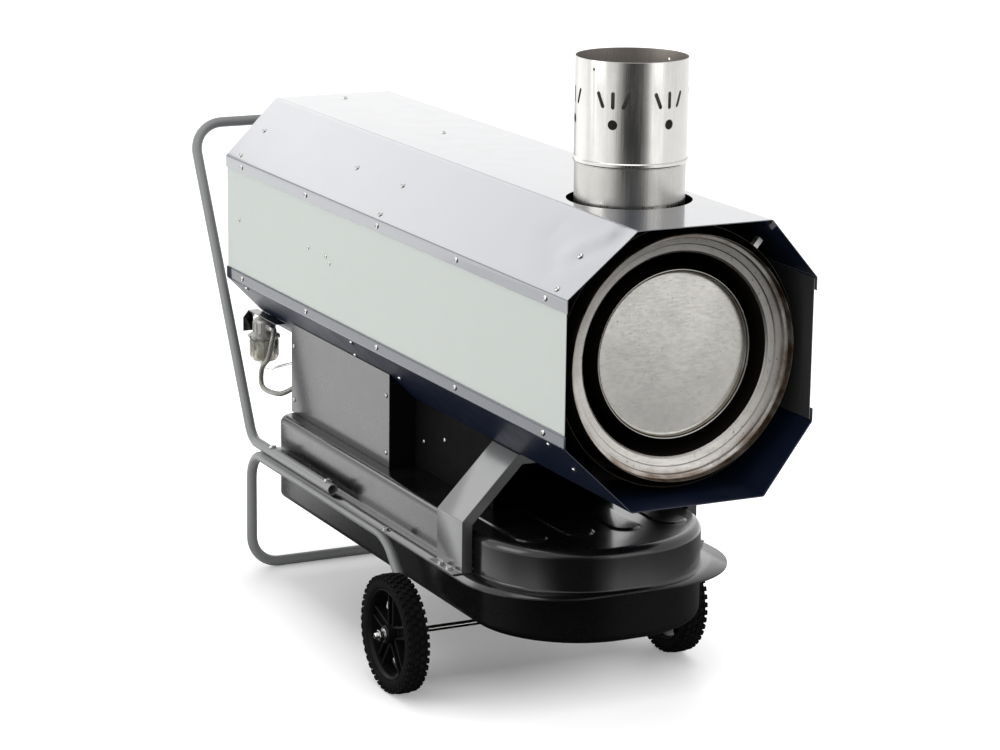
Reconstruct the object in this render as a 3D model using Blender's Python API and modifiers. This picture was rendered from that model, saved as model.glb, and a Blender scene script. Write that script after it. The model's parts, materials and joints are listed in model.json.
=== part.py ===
"""Indirect fired heater: a trolley-mounted oil heater with an octagonal casing.

Blender 4.5, metres, +Z up.  The floor is z = 0, the hot air leaves towards -Y and the
push handle is at +Y.  The origin lies on the floor under the middle of the object.
"""

import math

import bmesh
import bpy
from mathutils import Matrix
from mathutils import Vector

# Fits shared by all pieces
GAP = 0.0003
OVERRUN = 0.02
MERGE = 0.00001

# Round shapes: how many straight steps make a full circle
FINE_STEPS = 28
ROUND_STEPS = 18
KNOB_STEPS = 14
SMALL_STEPS = 8
SCREW_STEPS = 6
WIRE_STEPS = 4

# Casing, seen from the front as a flattened octagon
CASING_WIDTH = 0.500
CASING_HEIGHT = 0.500
CASING_LENGTH = 1.609
TOP_FLAT = 0.267
SIDE_FLAT = 0.264
SIDE_SET_BACK = 0.033
COVER_SHEET = 0.0015
TRIM_HEIGHT = 0.024
PANEL_SHEET = 0.0015
PANEL_SET_BACK = 0.006
PANEL_EDGE = 0.003
FLUE_OPENING_RADIUS = 0.114

# Tank: two pressed shells joined at a flange
TANK_HALF_WIDTH = 0.225
TANK_FRONT = 0.222
TANK_REAR_INSET = 0.205
TANK_FRONT_RADIUS = 0.205
TANK_REAR_RADIUS = 0.040
TANK_FLANGE_HEIGHT = 0.2775
TANK_UPPER_DEPTH = 0.081
TANK_LOWER_DEPTH = 0.0975
TANK_SHEET = 0.0015
TANK_EDGE_RADIUS = 0.016
TANK_EDGE_STEPS = 2
FLANGE_SIDE = 0.043
FLANGE_FRONT = 0.012
FLANGE_REAR = 0.010
FLANGE_FRONT_RADIUS = 0.185
RIB_HEIGHT = 0.004
RIB_WIDTH = 0.060
RIB_FRONT = 0.330
RIB_REAR = 0.540
RIB_PITCH = 0.094
RIB_COUNT = 4

# Space between the tank and the casing
SUPPORT_HEIGHT = 0.140
SUPPORT_INSET = 0.095
SUPPORT_CLEARANCE = 0.006
SUPPORT_SHEET = 0.002
BOX_CLEARANCE = 0.180
BOX_REAR_INSET = 0.004
BOX_INSET = 0.038
BOX_SHEET = 0.0015

# Front saddle bracket
BRACKET_FRONT = 0.433
BRACKET_LENGTH = 0.109
BRACKET_SHEET = 0.003
BRACKET_STAND_OFF = 0.025
BRACKET_LEG_HEIGHT = 0.1025
BRACKET_SEAT_MARGIN = 0.0025
BRACKET_RETURN = 0.021
BRACKET_FOOT = 0.019

# Inner duct, exchanger and combustion chamber, all round the casing's axis
DUCT_CLEARANCE = 0.012
DUCT_SHEET = 0.001
DUCT_FRONT = 0.085
DUCT_OVERHANG = 0.050
AIR_GAP = 0.015
EXCHANGER_FRONT = 0.0625
BURNER_SPACE = 0.609
EXCHANGER_SHEET = 0.0015
EXCHANGER_RIM_DEPTH = 0.013
EXCHANGER_STEP = 0.005
EXCHANGER_FACE_DISH = 0.012
EXCHANGER_DEPTH = 0.039
PASSAGE_ROLL = 0.004
PASSAGE_GAP = 0.031
CHAMBER_FRONT = 0.100
CHAMBER_DISC_DEPTH = 0.011
CHAMBER_DISC_CROWN = 0.003
CROWN_SHARE = 0.75
END_PLATE = 0.003
CROSSOVER_RADIUS = 0.038
CROSSOVER_INSET = 0.100
SADDLE_SHEET = 0.003
SADDLE_HALF_ANGLE = math.radians(28)
FRONT_SADDLE_PLACE = 0.200
REAR_SADDLE_INSET = 0.100
TAB_WIDTH = 0.020
TAB_SHEET = 0.002
TAB_FOOT = 0.012
FRONT_TAB_PLACE = 0.100
REAR_TAB_INSET = 0.050

# Flue
FLUE_PLACE = 0.2763
FLUE_RISE = 0.0675
FLUE_LENGTH = 0.190
FLUE_LAP = 0.020
FLUE_RADIUS = 0.1015
FLUE_SHEET = 0.0012
FLUE_BEAD = 0.002
FLUE_BEAD_HEIGHT = 0.009
FLUE_PATTERNS = 6
FLUE_PATTERN_START = math.radians(-77.5)
FLUE_HOLE_RADIUS = 0.009
FLUE_HOLE_DROP = 0.111
FLUE_SLOT_WIDTH = 0.007
FLUE_SLOT_LENGTH = 0.031
FLUE_SLOT_DROP = 0.068
FLUE_SLOT_SPREAD = 0.024
FLUE_SLOT_TILT = math.radians(22)
FLUE_PIN_RADIUS = 0.0025
FLUE_PIN_DROP = 0.016
FLUE_PIN_ANGLE = math.radians(20)

# Rear end: fan, shroud, grille
REAR_PANEL_SET_IN = 0.012
REAR_PANEL_SHEET = 0.0015
FAN_MARGIN = 0.060
FAN_CLEARANCE = 0.006
SHROUD_SHEET = 0.002
SHROUD_LENGTH = 0.095
SHROUD_FLANGE = 0.024
SHROUD_LIP = 0.014
FAN_HUB_RADIUS = 0.048
FAN_HUB_LENGTH = 0.044
FAN_HUB_NOSE_SHARE = 0.6
FAN_ROOT_SHARE = 0.9
FAN_ROOT_CHORD_SHARE = 0.45
FAN_CAMBER_SHARE = 0.25
FAN_RADIAL_STEPS = 3
FAN_CHORD_STEPS = 3
FAN_BLADES = 6
FAN_BLADE_SHEET = 0.003
FAN_BLADE_CHORD = 0.088
FAN_PITCH_ROOT = math.radians(42)
FAN_PITCH_TIP = math.radians(24)
FAN_SHAFT_RADIUS = 0.007
FAN_SET_IN = 0.049
MOTOR_RADIUS = 0.060
MOTOR_LENGTH = 0.115
MOTOR_NOSE = 0.012
MOTOR_ARM_WIDTH = 0.016
MOTOR_ARM_SHEET = 0.004
MOTOR_RING = 0.006
GRILLE_WIRE = 0.002
GRILLE_RINGS = 5
GRILLE_SPOKES = 6
GRILLE_BULGE = 0.005

# Burner, on the chamber's rear plate
BURNER_TUBE_RADIUS = 0.0475
BURNER_TUBE_SHEET = 0.002
BURNER_TUBE_INSERT = 0.100
BURNER_TUBE_NECK = 0.050
BURNER_NECK_RADIUS = 0.056
BURNER_FLANGE_RADIUS = 0.078
BURNER_FLANGE = 0.006
BURNER_STAND_OFF = 0.165
BURNER_RADIUS = 0.088
BURNER_WIDTH = 0.116
BURNER_WALL = 0.004
BURNER_FAN_RADIUS = 0.066
BURNER_FAN_LENGTH = 0.076
BURNER_FAN_BLADES = 10
BURNER_FAN_BLADE = 0.0015
BURNER_FAN_ROOT_SHARE = 0.7
BURNER_FAN_TIP_SHARE = 0.98
WINDOW_SHARE = 0.8
MOTOR_DOME_SHARE = 0.8
BURNER_EYE_RADIUS = 0.030
BURNER_SHAFT_RADIUS = 0.005
BURNER_MOTOR_RADIUS = 0.045
BURNER_MOTOR_LENGTH = 0.085
PUMP_RADIUS = 0.027
PUMP_LENGTH = 0.050
PUMP_FITTING_RADIUS = 0.006
PUMP_FITTING_LENGTH = 0.016
TRANSFORMER_LENGTH = 0.085
TRANSFORMER_WIDTH = 0.060
TRANSFORMER_HEIGHT = 0.050
TRANSFORMER_PAD = 0.004
NOZZLE_ROD_RADIUS = 0.006
NOZZLE_SET_BACK = 0.025
NOZZLE_TAIL = 0.012
FLAME_DISC_SHEET = 0.002
FLAME_DISC_HOLE = 0.010
FLAME_HOLES_SHARE = 0.6

# Stand, handle and running gear
TUBE_RADIUS = 0.011
TUBE_INSET = 0.0135
TUBE_BORE = 0.0095
STAND_OVERHANG = 0.058
STAND_FRONT_CORNER = 0.762
STAND_BEND = 0.062
STAND_FRONT_BEND = 0.100
HANDLE_SEAT_LENGTH = 0.431
HANDLE_OVERHANG = 0.051
HANDLE_REACH = 0.191
HANDLE_TOP_HEIGHT = 0.920
HANDLE_BEND = 0.050
HANDLE_TOP_BEND = 0.070
BEND_STEPS = 4
AXLE_PLACE = 0.617
AXLE_RADIUS = 0.006
AXLE_TIP = 0.0084
AXLE_LUG = 0.014
COLLAR_RADIUS = 0.0095
WHEEL_RADIUS = 0.116
WHEEL_STAND_OFF = 0.0135
TYRE_WIDTH = 0.045
TYRE_DEPTH = 0.028
TREAD_DEPTH = 0.004
TREAD_LUGS = 16
TREAD_SHOULDER = 0.008
RIM_WIDTH = 0.036
RIM_WALL = 0.007
RIM_HUB_RADIUS = 0.018
RIM_SPOKES = 5
RIM_SPOKE_WIDTH = 0.007
RIM_SPOKE_DEPTH = 0.018
RIM_SPOKE_SPREAD = 0.010
SPOKE_ROOT_SHARE = 0.7
RUNNING_CLEARANCE = 0.0004
WASHER_RADIUS = 0.014
WASHER_SHEET = 0.002
NUT_RADIUS = 0.0115
NUT_HEIGHT = 0.010

# Fuel fittings
FILLER_INSET = 0.053
FILLER_PLACE = 0.720
FILLER_NECK_RADIUS = 0.022
FILLER_NECK_HEIGHT = 0.016
FILLER_CAP_RADIUS = 0.030
FILLER_CAP_HEIGHT = 0.024
FILLER_CAP_WALL = 0.003
FILLER_CAP_CLEARANCE = 0.0010
FILLER_CAP_GRIPS = 8
FILLER_CAP_GRIP = 0.0025
DRAIN_PLACE = 0.450
DRAIN_RADIUS = 0.012
DRAIN_HEIGHT = 0.010
FILTER_INSET = 0.0745
FILTER_REAR_INSET = 0.039
FILTER_BOWL_RADIUS = 0.031
FILTER_BOWL_HEIGHT = 0.052
FILTER_DROP = 0.0145
FILTER_BOWL_WALL = 0.002
FILTER_BOWL_ROUND = 0.012
FILTER_HEAD_RADIUS = 0.024
FILTER_DOME_SHARE = 0.45
FILTER_COLLAR = 0.006
FILTER_ELEMENT_RADIUS = 0.018
FILTER_PORT_RADIUS = 0.008
UNION_LENGTH = 0.016
UNION_INSET = 0.019
STRAP_WIDTH = 0.024
STRAP_SHEET = 0.002
HOSE_RADIUS = 0.0055
PIPE_RADIUS = 0.003
ROUTE_STEPS = 3

# Controls on the equipment box's rear wall
CONTROL_PANEL_WIDTH = 0.170
CONTROL_PANEL_HEIGHT = 0.100
CONTROL_PANEL_SHEET = 0.003
CONTROL_PANEL_SIDE = 0.075
CONTROL_PITCH = 0.040
KNOB_RADIUS = 0.018
KNOB_HEIGHT = 0.016
KNOB_GRIP = 0.005
KNOB_SPINDLE = 0.004
KNOB_TURN_GAP = 0.001
BUTTON_RADIUS = 0.009
BUTTON_HEIGHT = 0.008
BUTTON_TRAVEL = 0.003
BUTTON_COLLAR = 0.003
LAMP_RADIUS = 0.008
LAMP_HEIGHT = 0.006
SOCKET_RADIUS = 0.016
SOCKET_HEIGHT = 0.020
SOCKET_WALL = 0.003
GLAND_SIDE = 0.040
GLAND_RADIUS = 0.012
GLAND_DOME_SHARE = 0.7
GLAND_HEIGHT = 0.024
GLAND_BORE = 0.005
CONTROL_UNIT_LENGTH = 0.110
CONTROL_UNIT_WIDTH = 0.080
CONTROL_UNIT_HEIGHT = 0.055
THERMOSTAT_RADIUS = 0.011
THERMOSTAT_HEIGHT = 0.014

# Worked out from the values above
TANK_TOP = TANK_FLANGE_HEIGHT + TANK_UPPER_DEPTH
CASING_BOTTOM = TANK_TOP + SUPPORT_HEIGHT
AXIS_HEIGHT = CASING_BOTTOM + CASING_HEIGHT / 2
CASING_TOP = CASING_BOTTOM + CASING_HEIGHT
PANEL_INSET = COVER_SHEET + GAP
FRAME_INSET = PANEL_INSET + PANEL_SHEET + GAP
REAR_PANEL_PLACE = CASING_LENGTH - REAR_PANEL_SET_IN
TANK_REAR = CASING_LENGTH - TANK_REAR_INSET
BRACKET_REAR = BRACKET_FRONT + BRACKET_LENGTH
BRACKET_HALF_WIDTH = TANK_HALF_WIDTH + BRACKET_STAND_OFF
BRACKET_SEAT_HALF_WIDTH = TOP_FLAT / 2 + BRACKET_SEAT_MARGIN
BRACKET_LEG_TOP = TANK_FLANGE_HEIGHT + BRACKET_LEG_HEIGHT
BOX_REAR = TANK_REAR - BOX_REAR_INSET
BOX_FRONT = FILLER_PLACE + BOX_CLEARANCE
BOX_HALF_WIDTH = TANK_HALF_WIDTH - BOX_INSET
SUPPORT_FRONT = BRACKET_REAR + SUPPORT_CLEARANCE
SUPPORT_HALF_WIDTH = TANK_HALF_WIDTH - SUPPORT_INSET
DUCT_RADIUS = min(CASING_WIDTH, CASING_HEIGHT) / 2 - DUCT_CLEARANCE
EXCHANGER_RADIUS = DUCT_RADIUS - AIR_GAP
PASSAGE_RADIUS = EXCHANGER_RADIUS - EXCHANGER_DEPTH
CHAMBER_RADIUS = PASSAGE_RADIUS - PASSAGE_GAP
EXCHANGER_REAR = CASING_LENGTH - BURNER_SPACE
DUCT_REAR = EXCHANGER_REAR + DUCT_OVERHANG
CROSSOVER_PLACE = EXCHANGER_REAR - CROSSOVER_INSET
SADDLE_PLACES = (FRONT_SADDLE_PLACE, EXCHANGER_REAR - REAR_SADDLE_INSET)
TAB_PLACES = (FRONT_TAB_PLACE, DUCT_REAR - REAR_TAB_INSET)
FLUE_STUB_BOTTOM = CASING_TOP + FLUE_RISE
FLUE_TOP = FLUE_STUB_BOTTOM + FLUE_LENGTH
FLUE_SLEEVE_TOP = FLUE_STUB_BOTTOM + FLUE_LAP
SLEEVE_RADIUS = FLUE_RADIUS - FLUE_SHEET - GAP
FAN_RADIUS = DUCT_RADIUS - FAN_MARGIN
FAN_MIDDLE = REAR_PANEL_PLACE - FAN_SET_IN
BURNER_PLACE = EXCHANGER_REAR + BURNER_STAND_OFF
BURNER_TUBE_FRONT = EXCHANGER_REAR - BURNER_TUBE_INSERT
BURNER_TUBE_REAR = EXCHANGER_REAR + BURNER_TUBE_NECK
NOZZLE_ROD_FRONT = BURNER_TUBE_FRONT + NOZZLE_SET_BACK
NOZZLE_ROD_REAR = BURNER_TUBE_REAR + NOZZLE_TAIL
TUBE_TRACK = TANK_HALF_WIDTH + FLANGE_SIDE - TUBE_INSET
STAND_REAR = TANK_REAR + STAND_OVERHANG
STAND_TUBE_HEIGHT = TANK_FLANGE_HEIGHT - TANK_SHEET - 2 * GAP - TUBE_RADIUS
HANDLE_TUBE_HEIGHT = TANK_FLANGE_HEIGHT + TANK_SHEET + GAP + TUBE_RADIUS
HANDLE_CORNER = TANK_REAR + HANDLE_OVERHANG
HANDLE_OPEN_END = HANDLE_CORNER - HANDLE_SEAT_LENGTH
HANDLE_TOP_PLACE = CASING_LENGTH + HANDLE_REACH
OVERALL_LENGTH = HANDLE_TOP_PLACE + TUBE_RADIUS
TYRE_INNER_RADIUS = WHEEL_RADIUS - TYRE_DEPTH
WHEEL_OUTER_FACE = TUBE_TRACK + TUBE_RADIUS + WHEEL_STAND_OFF + TYRE_WIDTH
WASHER_FACE = WHEEL_OUTER_FACE + GAP
NUT_FACE = WASHER_FACE + WASHER_SHEET + GAP
AXLE_HALF_LENGTH = NUT_FACE + NUT_HEIGHT + AXLE_TIP
FILLER_SIDE = TANK_HALF_WIDTH - FILLER_INSET
FILTER_SIDE = TUBE_TRACK - FILTER_INSET
FILTER_PLACE = CASING_LENGTH - FILTER_REAR_INSET
FILTER_BOWL_TOP = CASING_BOTTOM - FILTER_DROP
FILTER_BOWL_BOTTOM = FILTER_BOWL_TOP - FILTER_BOWL_HEIGHT
UNION_SIDE = BOX_HALF_WIDTH - UNION_INSET


def behind(distance):
    """Y of a plane that lies this far behind the casing's front edge."""
    return distance - OVERALL_LENGTH / 2


def clear_scene():
    """Remove what the file starts with."""
    for item in list(bpy.data.objects):
        bpy.data.objects.remove(item)


def make_collection(name):
    """Make a collection under the scene and return it."""
    group = bpy.data.collections.new(name)
    bpy.context.scene.collection.children.link(group)
    return group


clear_scene()
PARTS = make_collection("indirect_fired_heater")
CUTTERS = make_collection("cutters")


def finish(item, colour, roughness, metallic):
    """Give the object its own Principled material."""
    surface = bpy.data.materials.new(item.name)
    surface.use_nodes = True
    shader = surface.node_tree.nodes["Principled BSDF"]
    shader.inputs["Base Color"].default_value = (*colour, 1.0)
    shader.inputs["Roughness"].default_value = roughness
    shader.inputs["Metallic"].default_value = metallic
    item.data.materials.clear()
    item.data.materials.append(surface)


NAVY = ((0.020, 0.026, 0.075), 0.25, 0.0)
PANEL_GREY = ((0.60, 0.63, 0.60), 0.35, 0.0)
BLACK_PAINT = ((0.018, 0.018, 0.020), 0.35, 0.0)
DARK_STEEL = ((0.07, 0.065, 0.06), 0.55, 0.6)
STAINLESS = ((0.56, 0.54, 0.51), 0.32, 1.0)
TUBE_GREY = ((0.30, 0.31, 0.32), 0.40, 0.2)
BRACKET_GREY = ((0.20, 0.205, 0.21), 0.45, 0.2)
ZINC = ((0.62, 0.62, 0.60), 0.30, 1.0)
RUBBER = ((0.022, 0.022, 0.023), 0.80, 0.0)
BLACK_PLASTIC = ((0.016, 0.016, 0.017), 0.45, 0.0)
GREY_CAST = ((0.42, 0.42, 0.40), 0.50, 0.7)
CLEAR_BOWL = ((0.72, 0.72, 0.66), 0.12, 0.0)
PAPER = ((0.55, 0.50, 0.36), 0.80, 0.0)
BRAID = ((0.34, 0.33, 0.31), 0.45, 0.8)
RED_PLASTIC = ((0.55, 0.03, 0.02), 0.35, 0.0)
GREEN_LENS = ((0.06, 0.45, 0.10), 0.15, 0.0)
BRASS = ((0.60, 0.44, 0.18), 0.35, 1.0)


def add_object(name, mesh, cutter=False):
    """Wrap a mesh in an object and put it in the parts or the cutters."""
    item = bpy.data.objects.new(name, mesh)
    if cutter:
        CUTTERS.objects.link(item)
        item.hide_render = True
        item.display_type = "WIRE"
    else:
        PARTS.objects.link(item)
    return item


def mesh_object(name, shape, cutter=False, smooth=True):
    """Turn a bmesh into an object with sharp edges kept sharp."""
    mesh = bpy.data.meshes.new(name)
    shape.to_mesh(mesh)
    shape.free()
    if smooth:
        mesh.shade_smooth()
        mesh.set_sharp_from_angle(angle=math.radians(35))
    return add_object(name, mesh, cutter)


def boolean(target, tool, operation):
    """Join or cut the target with a tool that stays in the cutters."""
    step = target.modifiers.new(operation.lower(), "BOOLEAN")
    step.operation = operation
    step.solver = "EXACT"
    step.object = tool


def cut(target, tool):
    """Take the tool's volume out of the target."""
    boolean(target, tool, "DIFFERENCE")


def join(target, tool, crossing=False):
    """Add the tool's volume to the target; crossing says that the tool's own pieces overlap."""
    boolean(target, tool, "UNION")
    target.modifiers[-1].use_self = crossing


def keep(target, tool):
    """Keep only what the target shares with the tool."""
    boolean(target, tool, "INTERSECT")


def box_shape(low, high, shape=None):
    """A box between two corners, added to a bmesh."""
    shape = shape or bmesh.new()
    middle = (Vector(low) + Vector(high)) / 2
    size = Vector(high) - Vector(low)
    place = Matrix.Translation(middle) @ Matrix.Diagonal((*size, 1.0))
    bmesh.ops.create_cube(shape, size=1.0, matrix=place)
    return shape


def box(name, low, high, cutter=False, edge=0.0):
    """A box between two corners, with rounded edges if asked for."""
    item = mesh_object(name, box_shape(low, high), cutter, smooth=False)
    if edge:
        soften(item, edge)
    return item


def soften(item, width, segments=2):
    """Round the object's edges."""
    step = item.modifiers.new("edges", "BEVEL")
    step.width = width
    step.segments = segments
    step.limit_method = "ANGLE"
    step.angle_limit = math.radians(50)


AXIS_TURN = {
    "X": Matrix.Rotation(math.radians(90), 4, "Y"),
    "Y": Matrix.Rotation(math.radians(-90), 4, "X"),
    "Z": Matrix.Identity(4),
}


def cylinder_shape(radius, start, end, axis, centre, steps, shape=None, end_radius=None):
    """A cylinder or cone along a world axis, added to a bmesh."""
    shape = shape or bmesh.new()
    far_radius = radius if end_radius is None else end_radius
    middle = Vector((0.0, 0.0, (start + end) / 2))
    turn = AXIS_TURN[axis] @ Matrix.Translation(middle)
    bmesh.ops.create_cone(
        shape,
        cap_ends=True,
        segments=steps,
        radius1=radius,
        radius2=far_radius,
        depth=end - start,
        matrix=Matrix.Translation(Vector(centre)) @ turn,
    )
    return shape


def cylinder(name, radius, start, end, axis, centre, steps=ROUND_STEPS, cutter=False):
    """A cylinder from start to end along an axis through the centre."""
    shape = cylinder_shape(radius, start, end, axis, centre, steps)
    return mesh_object(name, shape, cutter)


def revolve(name, profile, centre, axis="Z", steps=ROUND_STEPS, closed=False, sheet=0.0, cutter=False):
    """Turn a profile of (radius, height) points with a Screw modifier."""
    mesh = bpy.data.meshes.new(name)
    points = [(radius, 0.0, height) for radius, height in profile]
    edges = [(index, index + 1) for index in range(len(points) - 1)]
    if closed:
        edges.append((len(points) - 1, 0))
    mesh.from_pydata(points, edges, [])
    item = add_object(name, mesh, cutter)
    item.matrix_world = Matrix.Translation(Vector(centre)) @ AXIS_TURN[axis]
    turn = item.modifiers.new("turn", "SCREW")
    turn.steps = steps
    turn.render_steps = steps
    turn.use_merge_vertices = True
    turn.merge_threshold = MERGE
    turn.use_smooth_shade = True
    if sheet:
        thicken(item, sheet)
    return item


def thicken(item, sheet):
    """Give an open surface its sheet thickness, away from its outer side."""
    wall = item.modifiers.new("sheet", "SOLIDIFY")
    wall.thickness = sheet
    wall.offset = -1.0
    wall.use_even_offset = True
    wall.use_quality_normals = True


def ring_profile(outer, inner, low, high):
    """Closed profile of a plain ring, running down its outer side."""
    return [(outer, high), (outer, low), (inner, low), (inner, high)]


def rod_profile(radius, low, high):
    """Open profile of a solid rod that ends on the axis."""
    return [(0.0, high), (radius, high), (radius, low), (0.0, low)]


def prism_shape(outline, axis, start, end, shape=None):
    """Extrude a closed outline along a world axis, added to a bmesh.

    The outline holds (x, z) points for axis Y, (y, z) for X and (x, y) for Z.
    """
    shape = shape or bmesh.new()
    place = {
        "X": lambda a, b: (start, a, b),
        "Y": lambda a, b: (a, start, b),
        "Z": lambda a, b: (a, b, start),
    }[axis]
    corners = [shape.verts.new(place(a, b)) for a, b in outline]
    face = shape.faces.new(corners)
    along = Vector({"X": (1, 0, 0), "Y": (0, 1, 0), "Z": (0, 0, 1)}[axis]) * (end - start)
    grown = bmesh.ops.extrude_face_region(shape, geom=[face])
    moved = [part for part in grown["geom"] if isinstance(part, bmesh.types.BMVert)]
    bmesh.ops.translate(shape, vec=along, verts=moved)
    bmesh.ops.recalc_face_normals(shape, faces=shape.faces)
    return shape


def prism(name, outline, axis, start, end, cutter=False):
    """An extruded outline as an object."""
    return mesh_object(name, prism_shape(outline, axis, start, end), cutter)


def arc(centre, radius, start, end, steps):
    """Points on an arc, both ends included."""
    angles = [start + (end - start) * index / steps for index in range(steps + 1)]
    return [(centre[0] + radius * math.cos(turn), centre[1] + radius * math.sin(turn)) for turn in angles]


def round_corners(corners, radii, steps=BEND_STEPS):
    """Replace each inner corner of a 3-D path by an arc of its radius."""
    path = [Vector(corners[0])]
    for index in range(1, len(corners) - 1):
        corner = Vector(corners[index])
        arrive = (Vector(corners[index - 1]) - corner).normalized()
        leave = (Vector(corners[index + 1]) - corner).normalized()
        half = arrive.angle(leave) / 2
        radius = radii[index - 1]
        centre = corner + (arrive + leave).normalized() * radius / math.sin(half)
        first = corner + arrive * radius / math.tan(half) - centre
        last = corner + leave * radius / math.tan(half) - centre
        sweep = first.angle(last)
        for step in range(steps + 1):
            part = step / steps
            weight = math.sin((1 - part) * sweep) / math.sin(sweep)
            other = math.sin(part * sweep) / math.sin(sweep)
            path.append(centre + first * weight + last * other)
    path.append(Vector(corners[-1]))
    return path


def tube(name, path, radius, resolution=2, cutter=False):
    """A filled round bar along a path, turned into a welded mesh."""
    data = bpy.data.curves.new(name + "_path", "CURVE")
    data.dimensions = "3D"
    data.bevel_depth = radius
    data.bevel_resolution = resolution
    data.use_fill_caps = True
    line = data.splines.new("POLY")
    line.points.add(len(path) - 1)
    for point, place in zip(line.points, path):
        point.co = (*place, 1.0)
    guide = bpy.data.objects.new(name + "_path", data)
    CUTTERS.objects.link(guide)
    bpy.context.view_layer.update()
    solved = guide.evaluated_get(bpy.context.evaluated_depsgraph_get())
    shape = bmesh.new()
    made = bpy.data.meshes.new_from_object(solved)
    shape.from_mesh(made)
    bmesh.ops.remove_doubles(shape, verts=shape.verts, dist=MERGE)
    bpy.data.meshes.remove(made)
    bpy.data.objects.remove(guide)
    return mesh_object(name, shape, cutter)


def smooth_route(points, steps):
    """Catmull-Rom curve through a hose's own points, with a straight run at each end."""
    places = [Vector(point) for point in points]
    path = [places[0]]
    for index in range(1, len(places) - 2):
        before, start, end, after = places[index - 1 : index + 3]
        for step in range(steps):
            t = step / steps
            path.append(
                (start * 2 + (end - before) * t + (before * 2 - start * 5 + end * 4 - after) * t * t
                 + (start * 3 - before - end * 3 + after) * t * t * t) / 2
            )
    path.extend(places[-2:])
    return path


def octagon_corner(inset):
    """Corner of the casing's outline, moved in by a distance: (x, z) at the top, (x, z) at the side."""
    half_width = CASING_WIDTH / 2
    half_height = CASING_HEIGHT / 2
    slope = Vector((half_height - SIDE_FLAT / 2, half_width - TOP_FLAT / 2)).normalized()
    reach = slope.x * half_width + slope.y * SIDE_FLAT / 2 - inset
    top_x = (reach - slope.y * (half_height - inset)) / slope.x
    side_z = (reach - slope.x * (half_width - inset)) / slope.y
    return (top_x, half_height - inset), (half_width - inset, side_z)


def chamfer_height(side, inset=0.0):
    """Height of the casing's underside at a distance from the middle plane."""
    top, edge = octagon_corner(-inset)
    share = max(0.0, (side - top[0]) / (edge[0] - top[0]))
    return AXIS_HEIGHT - (top[1] + (edge[1] - top[1]) * share)


def octagon(inset):
    """All eight corners of the casing's outline, in world X and Z."""
    top, side = octagon_corner(inset)
    quarter = [top, side]
    right = quarter + [(x, -z) for x, z in reversed(quarter)]
    left = [(-x, z) for x, z in reversed(right)]
    return [(x, AXIS_HEIGHT + z) for x, z in right + left]


def build_cover(name, sign):
    """Upper (+1) or lower (-1) folded cover with its side trims."""
    top, side = octagon_corner(0.0)
    fold = [
        (-side[0], side[1] - TRIM_HEIGHT, SIDE_SET_BACK),
        (-side[0], side[1], SIDE_SET_BACK),
        (-top[0], top[1], 0.0),
        (top[0], top[1], 0.0),
        (side[0], side[1], SIDE_SET_BACK),
        (side[0], side[1] - TRIM_HEIGHT, SIDE_SET_BACK),
    ]
    if sign < 0:
        fold.reverse()
    shape = bmesh.new()
    front = [shape.verts.new((x, behind(back), AXIS_HEIGHT + sign * z)) for x, z, back in fold]
    rear = [shape.verts.new((x, behind(CASING_LENGTH), AXIS_HEIGHT + sign * z)) for x, z, back in fold]
    for index in range(len(fold) - 1):
        shape.faces.new((front[index], front[index + 1], rear[index + 1], rear[index]))
    item = mesh_object(name, shape, smooth=False)
    thicken(item, COVER_SHEET)
    finish(item, *NAVY)
    return item


def build_casing():
    """The two covers, the two side panels and the rear panel."""
    upper = build_cover("upper_cover", 1)
    low = CASING_TOP - OVERRUN
    high = CASING_TOP + OVERRUN
    centre = (0.0, behind(FLUE_PLACE), 0.0)
    cut(upper, cylinder("flue_opening", FLUE_OPENING_RADIUS, low, high, "Z", centre, cutter=True))
    build_cover("lower_cover", -1)
    for name, sign in (("left_side_panel", -1), ("right_side_panel", 1)):
        outer = sign * (CASING_WIDTH / 2 - PANEL_INSET)
        inner = sign * (CASING_WIDTH / 2 - PANEL_INSET - PANEL_SHEET)
        half = SIDE_FLAT / 2 - PANEL_EDGE
        start = behind(SIDE_SET_BACK + PANEL_SET_BACK)
        panel = box(
            name,
            (min(outer, inner), start, AXIS_HEIGHT - half),
            (max(outer, inner), behind(CASING_LENGTH - PANEL_EDGE), AXIS_HEIGHT + half),
        )
        finish(panel, *PANEL_GREY)
    rear = prism(
        "rear_panel",
        octagon(FRAME_INSET),
        "Y",
        behind(REAR_PANEL_PLACE),
        behind(REAR_PANEL_PLACE + REAR_PANEL_SHEET),
    )
    hole = cylinder(
        "inlet_hole",
        FAN_RADIUS + FAN_CLEARANCE,
        behind(REAR_PANEL_PLACE) - OVERRUN,
        behind(REAR_PANEL_PLACE) + OVERRUN,
        "Y",
        (0.0, 0.0, AXIS_HEIGHT),
        FINE_STEPS,
        cutter=True,
    )
    cut(rear, hole)
    finish(rear, *NAVY)


def axis_centre(distance=None):
    """Point on the casing's axis; without a distance it lies at y = 0."""
    return (0.0, 0.0 if distance is None else behind(distance), AXIS_HEIGHT)


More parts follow.
